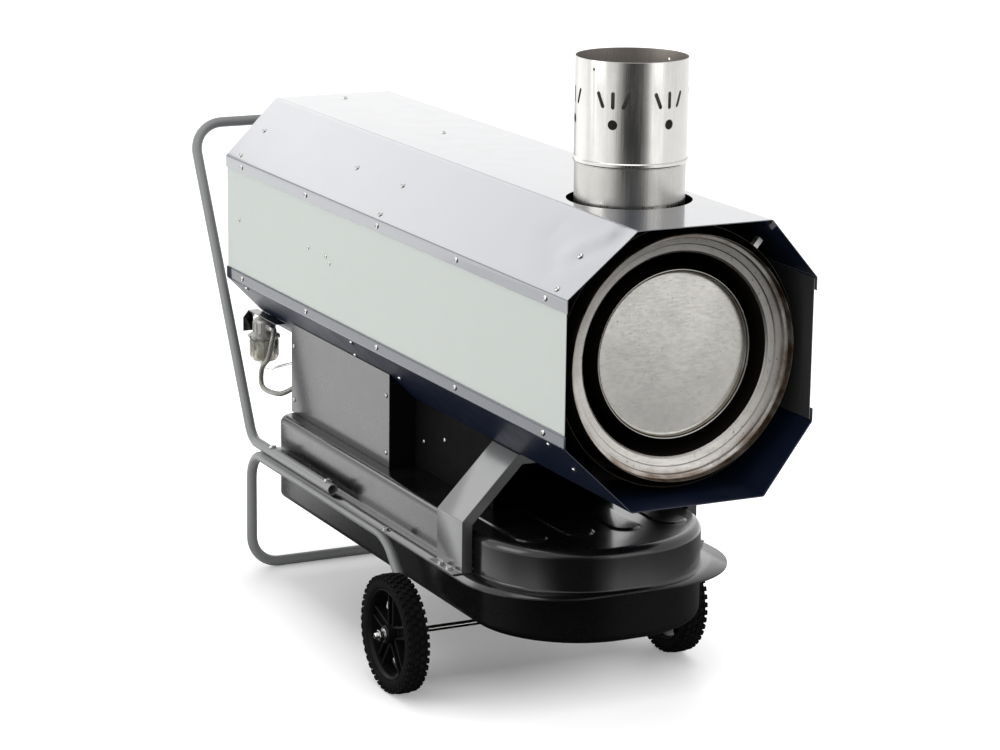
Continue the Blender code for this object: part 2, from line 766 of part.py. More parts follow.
def build_exchanger():
    """Duct, annular exchanger, chamber and the plates that close them."""
    zero = axis_centre(0.0)
    duct = revolve(
        "inner_duct",
        ring_profile(DUCT_RADIUS, DUCT_RADIUS - DUCT_SHEET, DUCT_FRONT, DUCT_REAR),
        zero, "Y", FINE_STEPS, closed=True,
    )
    flue_base = (0.0, behind(FLUE_PLACE), AXIS_HEIGHT)
    cut(duct, cylinder("duct_flue_hole", FLUE_OPENING_RADIUS, PASSAGE_RADIUS, CASING_HEIGHT / 2, "Z",
                       flue_base, cutter=True))
    build_duct_supports(duct)
    finish(duct, *DARK_STEEL)

    rim = EXCHANGER_RADIUS
    step_back = EXCHANGER_FRONT + EXCHANGER_RIM_DEPTH
    face_back = step_back + EXCHANGER_STEP
    dish_back = face_back + EXCHANGER_FACE_DISH
    wall = [
        (rim, EXCHANGER_REAR),
        (rim, EXCHANGER_FRONT),
        (rim - EXCHANGER_STEP, step_back),
        (rim - 2 * EXCHANGER_STEP, face_back),
        (PASSAGE_RADIUS + PASSAGE_ROLL, dish_back),
        (PASSAGE_RADIUS, dish_back + PASSAGE_ROLL),
        (PASSAGE_RADIUS, EXCHANGER_REAR),
    ]
    shell = revolve("heat_exchanger", wall, zero, "Y", FINE_STEPS, closed=True, sheet=EXCHANGER_SHEET)
    bore = SLEEVE_RADIUS - FLUE_SHEET
    cut(shell, cylinder("exchanger_flue_hole", bore, PASSAGE_RADIUS + OVERRUN, DUCT_RADIUS + OVERRUN, "Z",
                        flue_base, cutter=True))
    crossing = (0.0, behind(CROSSOVER_PLACE), AXIS_HEIGHT)
    passage_middle = (PASSAGE_RADIUS + EXCHANGER_RADIUS) / 2
    crossing_cut = cylinder("crossover_hole", CROSSOVER_RADIUS, -passage_middle, -CHAMBER_RADIUS / 2, "Z",
                            crossing, cutter=True)
    cut(shell, crossing_cut)
    finish(shell, *STAINLESS)

    chamber = revolve(
        "combustion_chamber",
        ring_profile(CHAMBER_RADIUS, CHAMBER_RADIUS - EXCHANGER_SHEET, CHAMBER_FRONT, EXCHANGER_REAR),
        zero, "Y", FINE_STEPS, closed=True,
    )

    cup = CHAMBER_RADIUS - 2 * EXCHANGER_SHEET - GAP
    face = CHAMBER_FRONT + CHAMBER_DISC_DEPTH
    disc = revolve(
        "chamber_front_disc",
        [
            (cup, CHAMBER_FRONT + EXCHANGER_SHEET),
            (cup, face - EXCHANGER_SHEET),
            (cup - EXCHANGER_STEP, face),
            (cup / 2, face - CHAMBER_DISC_CROWN * CROWN_SHARE),
            (0.0, face - CHAMBER_DISC_CROWN),
        ],
        zero, "Y", FINE_STEPS, sheet=EXCHANGER_SHEET,
    )
    finish(disc, *STAINLESS)

    plate_rear = EXCHANGER_REAR - END_PLATE
    plate = revolve(
        "burner_plate",
        ring_profile(CHAMBER_RADIUS - EXCHANGER_SHEET - GAP, BURNER_TUBE_RADIUS + GAP,
                     plate_rear - END_PLATE, plate_rear),
        zero, "Y", FINE_STEPS, closed=True,
    )
    finish(plate, *DARK_STEEL)

    crossover = revolve(
        "crossover_duct",
        ring_profile(CROSSOVER_RADIUS + EXCHANGER_SHEET, CROSSOVER_RADIUS, -PASSAGE_RADIUS,
                     -CHAMBER_RADIUS / 2),
        crossing, "Z", ROUND_STEPS, closed=True, cutter=True,
    )
    near = behind(CROSSOVER_PLACE) - CROSSOVER_RADIUS - OVERRUN
    far = behind(CROSSOVER_PLACE) + CROSSOVER_RADIUS + OVERRUN
    axis_point = axis_centre()
    keep(crossover, cylinder("crossover_limit", PASSAGE_RADIUS - GAP, near, far, "Y", axis_point,
                             FINE_STEPS, cutter=True))
    root = CHAMBER_RADIUS - EXCHANGER_SHEET / 2
    cut(crossover, cylinder("crossover_root", root, near, far, "Y", axis_point, FINE_STEPS, cutter=True))
    join(chamber, crossover)
    cut(chamber, crossing_cut)
    finish(chamber, *STAINLESS)


def build_duct_supports(duct):
    """Plates that carry the exchanger through slots in the duct, and the tabs that centre the duct."""
    bottom = math.radians(-90)
    floor = AXIS_HEIGHT - CASING_HEIGHT / 2 + COVER_SHEET + GAP
    slots = bmesh.new()
    cradle_radius = (EXCHANGER_RADIUS + GAP) / math.cos(SADDLE_HALF_ANGLE / (2 * BEND_STEPS))
    for name, place in zip(("front_saddle_plate", "rear_saddle_plate"), SADDLE_PLACES):
        cradle = arc((0.0, AXIS_HEIGHT), cradle_radius, bottom - SADDLE_HALF_ANGLE,
                     bottom + SADDLE_HALF_ANGLE, 2 * BEND_STEPS)
        outline = cradle + [(cradle[-1][0], floor), (cradle[0][0], floor)]
        finish(prism(name, outline, "Y", behind(place), behind(place + SADDLE_SHEET)), *DARK_STEEL)
        reach = cradle[-1][0] + GAP
        box_shape((-reach, behind(place) - GAP, AXIS_HEIGHT - DUCT_RADIUS - OVERRUN),
                  (reach, behind(place + SADDLE_SHEET) + GAP, AXIS_HEIGHT - EXCHANGER_RADIUS / 2), slots)

    top, side = octagon_corner(PANEL_INSET)
    normal = Vector((top[1] - side[1], side[0] - top[0])).normalized()
    reach = normal.x * top[0] + normal.y * top[1]
    turn = math.atan2(normal.y, normal.x)
    root = (DUCT_RADIUS - DUCT_SHEET / 2) * math.cos(math.pi / FINE_STEPS)
    tabs = bmesh.new()
    for place in TAB_PLACES:
        outline = [
            (root, behind(place)),
            (reach, behind(place)),
            (reach, behind(place + TAB_SHEET)),
            (DUCT_RADIUS + TAB_SHEET, behind(place + TAB_SHEET)),
            (DUCT_RADIUS + TAB_SHEET, behind(place + TAB_FOOT)),
            (root, behind(place + TAB_FOOT)),
        ]
        for angle in (turn, math.pi - turn, math.pi + turn, -turn):
            one = prism_shape(outline, "Z", -TAB_WIDTH / 2, TAB_WIDTH / 2)
            place_at = Matrix.Translation(Vector(axis_centre())) @ Matrix.Rotation(-angle, 4, "Y")
            add_copy(tabs, one, place_at)
    join(duct, mesh_object("duct_tabs", tabs, cutter=True, smooth=False))
    cut(duct, mesh_object("saddle_slots", slots, cutter=True, smooth=False))


def add_copy(shape, one, matrix):
    """Move a small shape to its place and add it to a larger one."""
    bmesh.ops.transform(one, matrix=matrix, verts=one.verts)
    part = bpy.data.meshes.new("copy")
    one.to_mesh(part)
    one.free()
    shape.from_mesh(part)
    bpy.data.meshes.remove(part)


def build_flue():
    """Lower sleeve on the exchanger and the perforated stub that slides over it."""
    base = (0.0, behind(FLUE_PLACE), 0.0)
    sleeve = revolve(
        "flue_sleeve",
        ring_profile(SLEEVE_RADIUS, SLEEVE_RADIUS - FLUE_SHEET, AXIS_HEIGHT + PASSAGE_RADIUS,
                     FLUE_SLEEVE_TOP),
        base, "Z", FINE_STEPS, closed=True,
    )
    seat = cylinder("sleeve_seat", EXCHANGER_RADIUS + GAP, behind(FLUE_PLACE) - 2 * FLUE_RADIUS,
                    behind(FLUE_PLACE) + 2 * FLUE_RADIUS, "Y", axis_centre(), FINE_STEPS, cutter=True)
    cut(sleeve, seat)
    finish(sleeve, *STAINLESS)

    inner = FLUE_RADIUS - FLUE_SHEET
    bead_low = FLUE_STUB_BOTTOM + FLUE_BEAD
    bead_high = bead_low + FLUE_BEAD_HEIGHT
    stub = revolve(
        "flue_stub",
        [
            (FLUE_RADIUS, FLUE_TOP),
            (FLUE_RADIUS, bead_high),
            (FLUE_RADIUS + FLUE_BEAD, bead_high - FLUE_BEAD),
            (FLUE_RADIUS + FLUE_BEAD, bead_low + FLUE_BEAD),
            (FLUE_RADIUS, bead_low),
            (FLUE_RADIUS, FLUE_STUB_BOTTOM),
            (inner, FLUE_STUB_BOTTOM),
            (inner, FLUE_TOP),
        ],
        base, "Z", FINE_STEPS, closed=True,
    )
    punches = bmesh.new()
    start = inner - OVERRUN
    end = FLUE_RADIUS + OVERRUN
    flat = (FLUE_SLOT_LENGTH - FLUE_SLOT_WIDTH) / 2
    for index in range(FLUE_PATTERNS):
        turn = FLUE_PATTERN_START + math.tau * index / FLUE_PATTERNS
        add_punch(punches, turn, 0.0, FLUE_TOP - FLUE_HOLE_DROP, 0.0, 0.0, FLUE_HOLE_RADIUS, start, end)
        for side in (-1, 0, 1):
            lean = side * FLUE_SLOT_TILT
            add_punch(punches, turn, side * FLUE_SLOT_SPREAD, FLUE_TOP - FLUE_SLOT_DROP, lean, flat,
                      FLUE_SLOT_WIDTH / 2, start, end)
    for turn in (FLUE_PIN_ANGLE, FLUE_PIN_ANGLE + math.pi):
        add_punch(punches, turn, 0.0, FLUE_TOP - FLUE_PIN_DROP, 0.0, 0.0, FLUE_PIN_RADIUS, start, end)
    cut(stub, mesh_object("flue_punches", punches, cutter=True))
    finish(stub, *STAINLESS)


def add_punch(shape, turn, across, height, lean, flat, radius, start, end):
    """Add a radial punch with round ends: a plain hole when its flat is zero."""
    quarter = math.radians(90)
    steps = WIRE_STEPS
    top = arc((0.0, flat), radius, 0.0, 2 * quarter, steps)
    low = arc((0.0, -flat), radius, 2 * quarter, 4 * quarter, steps)
    outline = top + low if flat else top[:-1] + low[:-1]
    local = [
        (a * math.cos(lean) + b * math.sin(lean), b * math.cos(lean) - a * math.sin(lean)) for a, b in outline
    ]
    one = prism_shape(local, "X", start, end)
    bend = turn + across / FLUE_RADIUS
    place = Matrix.Translation((0.0, behind(FLUE_PLACE), height)) @ Matrix.Rotation(bend, 4, "Z")
    add_copy(shape, one, place)


def tank_outline(grow_side, grow_front, grow_rear, front_radius, rear_radius):
    """Plan of the tank: straight sides, broad round front, small rear corners."""
    half = TANK_HALF_WIDTH + grow_side
    front = behind(TANK_FRONT - grow_front)
    rear = behind(TANK_REAR + grow_rear)
    quarter = math.radians(90)
    points = arc((half - rear_radius, rear - rear_radius), rear_radius, 0.0, quarter, BEND_STEPS - 1)
    points += arc((-half + rear_radius, rear - rear_radius), rear_radius, quarter, 2 * quarter,
                  BEND_STEPS - 1)
    points += arc((-half + front_radius, front + front_radius), front_radius, 2 * quarter, 3 * quarter,
                  2 * BEND_STEPS)
    points += arc((half - front_radius, front + front_radius), front_radius, 3 * quarter, 4 * quarter,
                  2 * BEND_STEPS)
    return points


def build_tank_shell(name, sign, depth, seam):
    """One pressed shell: flange, wall, rounded edge and closed end."""
    flange = tank_outline(FLANGE_SIDE, FLANGE_FRONT, FLANGE_REAR, FLANGE_FRONT_RADIUS, TANK_REAR_RADIUS)
    levels = [(flange, 0.0)]
    wall = tank_outline(0.0, 0.0, 0.0, TANK_FRONT_RADIUS, TANK_REAR_RADIUS)
    levels.append((wall, 0.0))
    for index in range(TANK_EDGE_STEPS + 1):
        turn = math.radians(90) * index / TANK_EDGE_STEPS
        shrink = TANK_EDGE_RADIUS * (1 - math.cos(turn))
        rise = depth - TANK_EDGE_RADIUS * (1 - math.sin(turn))
        ring = tank_outline(-shrink, -shrink, -shrink, TANK_FRONT_RADIUS - shrink, TANK_REAR_RADIUS - shrink)
        levels.append((ring, rise))
    shape = bmesh.new()
    loops = []
    for outline, rise in levels:
        loops.append([shape.verts.new((x, y, seam + sign * rise)) for x, y in outline])
    for low, high in zip(loops, loops[1:]):
        for index in range(len(low)):
            after = (index + 1) % len(low)
            shape.faces.new((low[index], low[after], high[after], high[index]))
    shape.faces.new(loops[-1])
    bmesh.ops.recalc_face_normals(shape, faces=shape.faces)
    top = loops[-1][0].link_faces
    lid = max(top, key=lambda face: len(face.verts))
    if lid.normal.z * sign < 0:
        bmesh.ops.reverse_faces(shape, faces=shape.faces)
    item = mesh_object(name, shape)
    thicken(item, TANK_SHEET)
    return item


def build_tank():
    """Both tank shells with the pressed ribs, the filler and the drain."""
    upper_seam = TANK_FLANGE_HEIGHT + TANK_SHEET
    upper = build_tank_shell("tank_upper_shell", 1, TANK_UPPER_DEPTH - TANK_SHEET, upper_seam)
    ribs = bmesh.new()
    for index in range(RIB_COUNT):
        middle = RIB_PITCH * (index - (RIB_COUNT - 1) / 2)
        add_rib(ribs, middle)
    join(upper, mesh_object("tank_ribs", ribs, cutter=True))
    neck_at = (FILLER_SIDE, behind(FILLER_PLACE), TANK_TOP)
    root = -TANK_SHEET - FILLER_CAP_WALL
    neck = cylinder("filler_neck", FILLER_NECK_RADIUS, root, FILLER_NECK_HEIGHT, "Z", neck_at, ROUND_STEPS,
                    cutter=True)
    join(upper, neck)
    bore = cylinder("filler_bore", FILLER_NECK_RADIUS - FILLER_CAP_WALL, root - OVERRUN,
                    FILLER_NECK_HEIGHT + OVERRUN, "Z", neck_at, ROUND_STEPS, cutter=True)
    cut(upper, bore)
    finish(upper, *BLACK_PAINT)
    lower_seam = TANK_FLANGE_HEIGHT - TANK_SHEET - GAP
    lower = build_tank_shell("tank_lower_shell", -1, TANK_LOWER_DEPTH - TANK_SHEET, lower_seam)
    finish(lower, *BLACK_PAINT)


def add_rib(shape, middle):
    """Add one pressed rib: a round-ended bar sunk into the tank's top sheet."""
    half = RIB_WIDTH / 2
    quarter = math.radians(90)
    top_half = half - RIB_HEIGHT
    low_ring = arc((middle, behind(RIB_FRONT) + half), half, 2 * quarter, 4 * quarter, BEND_STEPS + 1)
    low_ring += [(middle + half, behind(RIB_REAR)), (middle - half, behind(RIB_REAR))]
    high_ring = arc((middle, behind(RIB_FRONT) + half), top_half, 2 * quarter, 4 * quarter, BEND_STEPS + 1)
    rear = behind(RIB_REAR) - RIB_HEIGHT
    high_ring += [(middle + top_half, rear), (middle - top_half, rear)]
    root = TANK_TOP - TANK_SHEET / 2
    low = [shape.verts.new((x, y, root)) for x, y in low_ring]
    high = [shape.verts.new((x, y, TANK_TOP + RIB_HEIGHT)) for x, y in high_ring]
    for index in range(len(low)):
        after = (index + 1) % len(low)
        shape.faces.new((low[index], low[after], high[after], high[index]))
    shape.faces.new(high)
    shape.faces.new(list(reversed(low)))


def folded_sheet(name, points, axis, start, end, sheet):
    """A strip folded along a line of points, thickened away from its outer side."""
    place = {
        "X": lambda a, b, along: (along, a, b),
        "Y": lambda a, b, along: (a, along, b),
    }[axis]
    shape = bmesh.new()
    near = [shape.verts.new(place(a, b, start)) for a, b in points]
    far = [shape.verts.new(place(a, b, end)) for a, b in points]
    for index in range(len(points) - 1):
        shape.faces.new((near[index], near[index + 1], far[index + 1], far[index]))
    item = mesh_object(name, shape, smooth=False)
    thicken(item, sheet)
    return item


def bracket_line(inset, foot):
    """Line of the saddle bracket from one foot's height over to the other, moved in by a distance."""
    seat = CASING_BOTTOM - GAP - inset
    half = BRACKET_HALF_WIDTH - inset
    run = BRACKET_HALF_WIDTH - BRACKET_SEAT_HALF_WIDTH
    rise = CASING_BOTTOM - GAP - BRACKET_LEG_TOP
    bend = math.atan2(rise, run)
    knee = BRACKET_LEG_TOP - inset * math.tan((math.radians(90) - bend) / 2)
    shoulder = BRACKET_SEAT_HALF_WIDTH - inset * math.tan(bend / 2)
    right = [(shoulder, seat), (half, knee), (half, foot)]
    return [(-x, z) for x, z in reversed(right)] + right


def build_saddle_bracket():
    """Folded channel that carries the casing's front end on the tank's flange."""
    foot_height = TANK_FLANGE_HEIGHT + TANK_SHEET + GAP
    outer = bracket_line(0.0, foot_height)
    inner = bracket_line(BRACKET_RETURN, foot_height)
    bracket = prism("saddle_bracket", outer + list(reversed(inner)), "Y", behind(BRACKET_FRONT),
                    behind(BRACKET_REAR))
    low = foot_height - OVERRUN
    pocket_outer = bracket_line(BRACKET_SHEET, low)
    pocket_inner = bracket_line(BRACKET_RETURN + BRACKET_SHEET, low)
    pocket = prism("bracket_pocket", pocket_outer + list(reversed(pocket_inner)), "Y",
                   behind(BRACKET_FRONT + BRACKET_SHEET), behind(BRACKET_REAR - BRACKET_SHEET), cutter=True)
    cut(bracket, pocket)
    feet = bmesh.new()
    for side in (-1, 1):
        near = side * (BRACKET_HALF_WIDTH - BRACKET_SHEET)
        far = side * (BRACKET_HALF_WIDTH + BRACKET_FOOT)
        box_shape(
            (min(near, far), behind(BRACKET_FRONT), foot_height),
            (max(near, far), behind(BRACKET_REAR), foot_height + BRACKET_SHEET),
            feet,
        )
    join(bracket, mesh_object("bracket_feet", feet, cutter=True, smooth=False))
    finish(bracket, *BRACKET_GREY)


def build_middle():
    """Dark channel behind the saddle bracket and the equipment box behind it."""
    floor = TANK_TOP + GAP
    top = CASING_BOTTOM - GAP
    half = SUPPORT_HALF_WIDTH
    line = [(-half, floor), (-half, top), (half, top), (half, floor)]
    channel = folded_sheet("support_channel", line, "Y", behind(SUPPORT_FRONT), behind(BOX_FRONT - GAP),
                           SUPPORT_SHEET)
    finish(channel, *BLACK_PAINT)

    inner_half = BOX_HALF_WIDTH - BOX_SHEET - GAP
    edge = octagon_corner(-GAP)[0][0]
    outline = [
        (-inner_half, floor),
        (inner_half, floor),
        (inner_half, chamfer_height(inner_half, GAP)),
        (edge, top),
        (-edge, top),
        (-inner_half, chamfer_height(inner_half, GAP)),
    ]
    body = prism("equipment_box", outline, "Y", behind(BOX_FRONT), behind(BOX_REAR))
    hollow = box(
        "box_hollow",
        (-BOX_HALF_WIDTH - OVERRUN, behind(BOX_FRONT + BOX_SHEET), floor + BOX_SHEET),
        (BOX_HALF_WIDTH + OVERRUN, behind(BOX_REAR - BOX_SHEET), AXIS_HEIGHT),
        cutter=True,
    )
    cut(body, hollow)
    holes = bmesh.new()
    wall = behind(BOX_REAR)
    panel_middle = (floor + top) / 2
    for index, radius in ((0, KNOB_SPINDLE), (2, KNOB_SPINDLE)):
        place = (control_side(index), wall, panel_middle)
        cylinder_shape(radius + RUNNING_CLEARANCE, -OVERRUN, OVERRUN, "Y", place, SMALL_STEPS, holes)
    holes_tool = mesh_object("control_holes", holes, cutter=True)
    cut(body, holes_tool)
    for height in fuel_union_heights():
        join(body, cylinder("box_union", FILTER_PORT_RADIUS, -BOX_SHEET / 2, UNION_LENGTH, "Y",
                            (-UNION_SIDE, wall, height), SCREW_STEPS, cutter=True))
    finish(body, *BLACK_PAINT)

    cover_top = chamfer_height(BOX_HALF_WIDTH - BOX_SHEET, GAP)
    for name, sign in (("left_box_cover", -1), ("right_box_cover", 1)):
        near = sign * (BOX_HALF_WIDTH - BOX_SHEET)
        far = sign * BOX_HALF_WIDTH
        cover = box(
            name,
            (min(near, far), behind(BOX_FRONT), floor),
            (max(near, far), behind(BOX_REAR), cover_top),
        )
        finish(cover, *BLACK_PAINT)

    face = behind(BOX_REAR) + GAP
    panel = box(
        "control_panel",
        (CONTROL_PANEL_SIDE - CONTROL_PANEL_WIDTH / 2, face, panel_middle - CONTROL_PANEL_HEIGHT / 2),
        (CONTROL_PANEL_SIDE + CONTROL_PANEL_WIDTH / 2, face + CONTROL_PANEL_SHEET,
         panel_middle + CONTROL_PANEL_HEIGHT / 2),
    )
    collar_at = (control_side(2), face, panel_middle)
    collar_radius = BUTTON_RADIUS + RUNNING_CLEARANCE + BUTTON_COLLAR
    collar_top = CONTROL_PANEL_SHEET + BUTTON_TRAVEL + KNOB_TURN_GAP + BUTTON_HEIGHT / 2
    join(panel, cylinder("button_collar", collar_radius, CONTROL_PANEL_SHEET / 2, collar_top, "Y", collar_at,
                         KNOB_STEPS, cutter=True))
    cut(panel, cylinder("button_well", BUTTON_RADIUS + RUNNING_CLEARANCE, CONTROL_PANEL_SHEET,
                        collar_top + OVERRUN, "Y", collar_at, KNOB_STEPS, cutter=True))
    cut(panel, holes_tool)
    finish(panel, *BLACK_PLASTIC)
    build_controls(face + CONTROL_PANEL_SHEET, panel_middle)

    unit_floor = floor + BOX_SHEET + GAP
    unit_front = behind((BOX_FRONT + BOX_REAR) / 2)
    unit = box(
        "burner_control_unit",
        (-CONTROL_UNIT_WIDTH / 2, unit_front, unit_floor),
        (CONTROL_UNIT_WIDTH / 2, unit_front + CONTROL_UNIT_LENGTH, unit_floor + CONTROL_UNIT_HEIGHT),
        edge=BOX_SHEET,
    )
    finish(unit, *BLACK_PLASTIC)


def control_side(index):
    """X of one of the four controls, counted from the panel's left end as seen from behind."""
    return CONTROL_PANEL_SIDE + CONTROL_PITCH * (3 / 2 - index)


def build_controls(face, height):
    """Selector knob, lamp, reset button, thermostat socket and cable gland."""
    knob_at = (control_side(0), face, height)
    turn_gap = KNOB_TURN_GAP
    knob = cylinder("selector_knob", KNOB_RADIUS, turn_gap, turn_gap + KNOB_HEIGHT / 2, "Y", knob_at,
                    KNOB_STEPS)
    move_origin(knob, knob_at)
    grip = bmesh.new()
    box_shape(
        (knob_at[0] - KNOB_GRIP / 2, face + turn_gap + KNOB_HEIGHT / 4, height - KNOB_RADIUS + KNOB_GRIP / 2),
        (knob_at[0] + KNOB_GRIP / 2, face + turn_gap + KNOB_HEIGHT, height + KNOB_RADIUS - KNOB_GRIP / 2),
        grip,
    )
    back = -CONTROL_PANEL_SHEET - 2 * BOX_SHEET - turn_gap
    cylinder_shape(KNOB_SPINDLE, back, turn_gap + KNOB_HEIGHT / 4, "Y", knob_at, SMALL_STEPS, grip)
    join(knob, mesh_object("knob_grip", grip, cutter=True))
    finish(knob, *BLACK_PLASTIC)

    lamp_at = (control_side(1), face, height)
    lamp = revolve(
        "pilot_lamp",
        [(0.0, GAP + LAMP_HEIGHT), (LAMP_RADIUS / 2, GAP + LAMP_HEIGHT), (LAMP_RADIUS, GAP + LAMP_HEIGHT / 2),
         (LAMP_RADIUS, GAP), (0.0, GAP)],
        lamp_at, "Y", SMALL_STEPS,
    )
    finish(lamp, *GREEN_LENS)

    button_at = (control_side(2), face, height)
    seat = GAP + BUTTON_TRAVEL + turn_gap
    stem = KNOB_SPINDLE
    button = revolve(
        "reset_button",
        [(0.0, seat + BUTTON_HEIGHT), (BUTTON_RADIUS, seat + BUTTON_HEIGHT), (BUTTON_RADIUS, seat),
         (stem, seat), (stem, back), (0.0, back)],
        button_at, "Y", KNOB_STEPS,
    )
    finish(button, *RED_PLASTIC)
    socket_at = (control_side(3), face, height)
    socket = revolve(
        "thermostat_socket",
        [(SOCKET_RADIUS, GAP + SOCKET_HEIGHT), (SOCKET_RADIUS, GAP), (0.0, GAP), (0.0, GAP + SOCKET_WALL),
         (SOCKET_RADIUS - SOCKET_WALL, GAP + SOCKET_WALL), (SOCKET_RADIUS - SOCKET_WALL, GAP + SOCKET_HEIGHT),
         (SOCKET_RADIUS, GAP + SOCKET_HEIGHT)],
        socket_at, "Y", KNOB_STEPS,
    )
    finish(socket, *BLACK_PLASTIC)

    gland_at = (-GLAND_SIDE, behind(BOX_REAR), height)
    gland = revolve(
        "cable_gland",
        [(GLAND_RADIUS, GAP + GLAND_HEIGHT / 2), (GLAND_RADIUS, GAP), (GLAND_BORE, GAP),
         (GLAND_BORE, GAP + GLAND_HEIGHT), (GLAND_RADIUS * GLAND_DOME_SHARE, GAP + GLAND_HEIGHT)],
        gland_at, "Y", SCREW_STEPS * 2, closed=True,
    )
    finish(gland, *BLACK_PLASTIC)


def move_origin(item, origin):
    """Move an object's origin without moving its shape."""
    item.data.transform(Matrix.Translation(-Vector(origin)))
    item.matrix_world = Matrix.Translation(Vector(origin))


def build_fuel_fittings():
    """Filler cap, drain plug, and the filter with its pipes."""
    neck_at = (FILLER_SIDE, behind(FILLER_PLACE), TANK_TOP)
    low = KNOB_TURN_GAP
    roof = FILLER_NECK_HEIGHT + RUNNING_CLEARANCE
    cap = revolve(
        "filler_cap",
        [
            (0.0, low + FILLER_CAP_HEIGHT),
            (FILLER_CAP_RADIUS - FILLER_CAP_GRIP, low + FILLER_CAP_HEIGHT),
            (FILLER_CAP_RADIUS - FILLER_CAP_GRIP, low),
            (FILLER_NECK_RADIUS + FILLER_CAP_CLEARANCE, low),
            (FILLER_NECK_RADIUS + FILLER_CAP_CLEARANCE, roof),
            (0.0, roof),
        ],
        neck_at, "Z", KNOB_STEPS,
    )
    grips = bmesh.new()
    for index in range(FILLER_CAP_GRIPS):
        turn = math.tau * index / FILLER_CAP_GRIPS
        reach = FILLER_CAP_RADIUS - FILLER_CAP_GRIP
        place = (neck_at[0] + reach * math.cos(turn), neck_at[1] + reach * math.sin(turn), neck_at[2])
        cylinder_shape(FILLER_CAP_GRIP, low + FILLER_CAP_GRIP, low + FILLER_CAP_HEIGHT - FILLER_CAP_GRIP, "Z",
                       place, SCREW_STEPS, grips)
    join(cap, mesh_object("cap_grips", grips, cutter=True))
    finish(cap, *BLACK_PLASTIC)

    drain_at = (0.0, behind(DRAIN_PLACE), TANK_FLANGE_HEIGHT - GAP - TANK_LOWER_DEPTH)
    drain = cylinder("drain_plug", DRAIN_RADIUS, -GAP - DRAIN_HEIGHT, -GAP, "Z", drain_at, SCREW_STEPS)
    finish(drain, *BRASS)
    build_filter()


def fuel_union_heights():
    """Heights of the hose's and the supply pipe's unions on the equipment box."""
    return FILTER_BOWL_BOTTOM - 4 * FILTER_COLLAR - FILTER_PORT_RADIUS, FILTER_BOWL_BOTTOM + 4 * FILTER_COLLAR


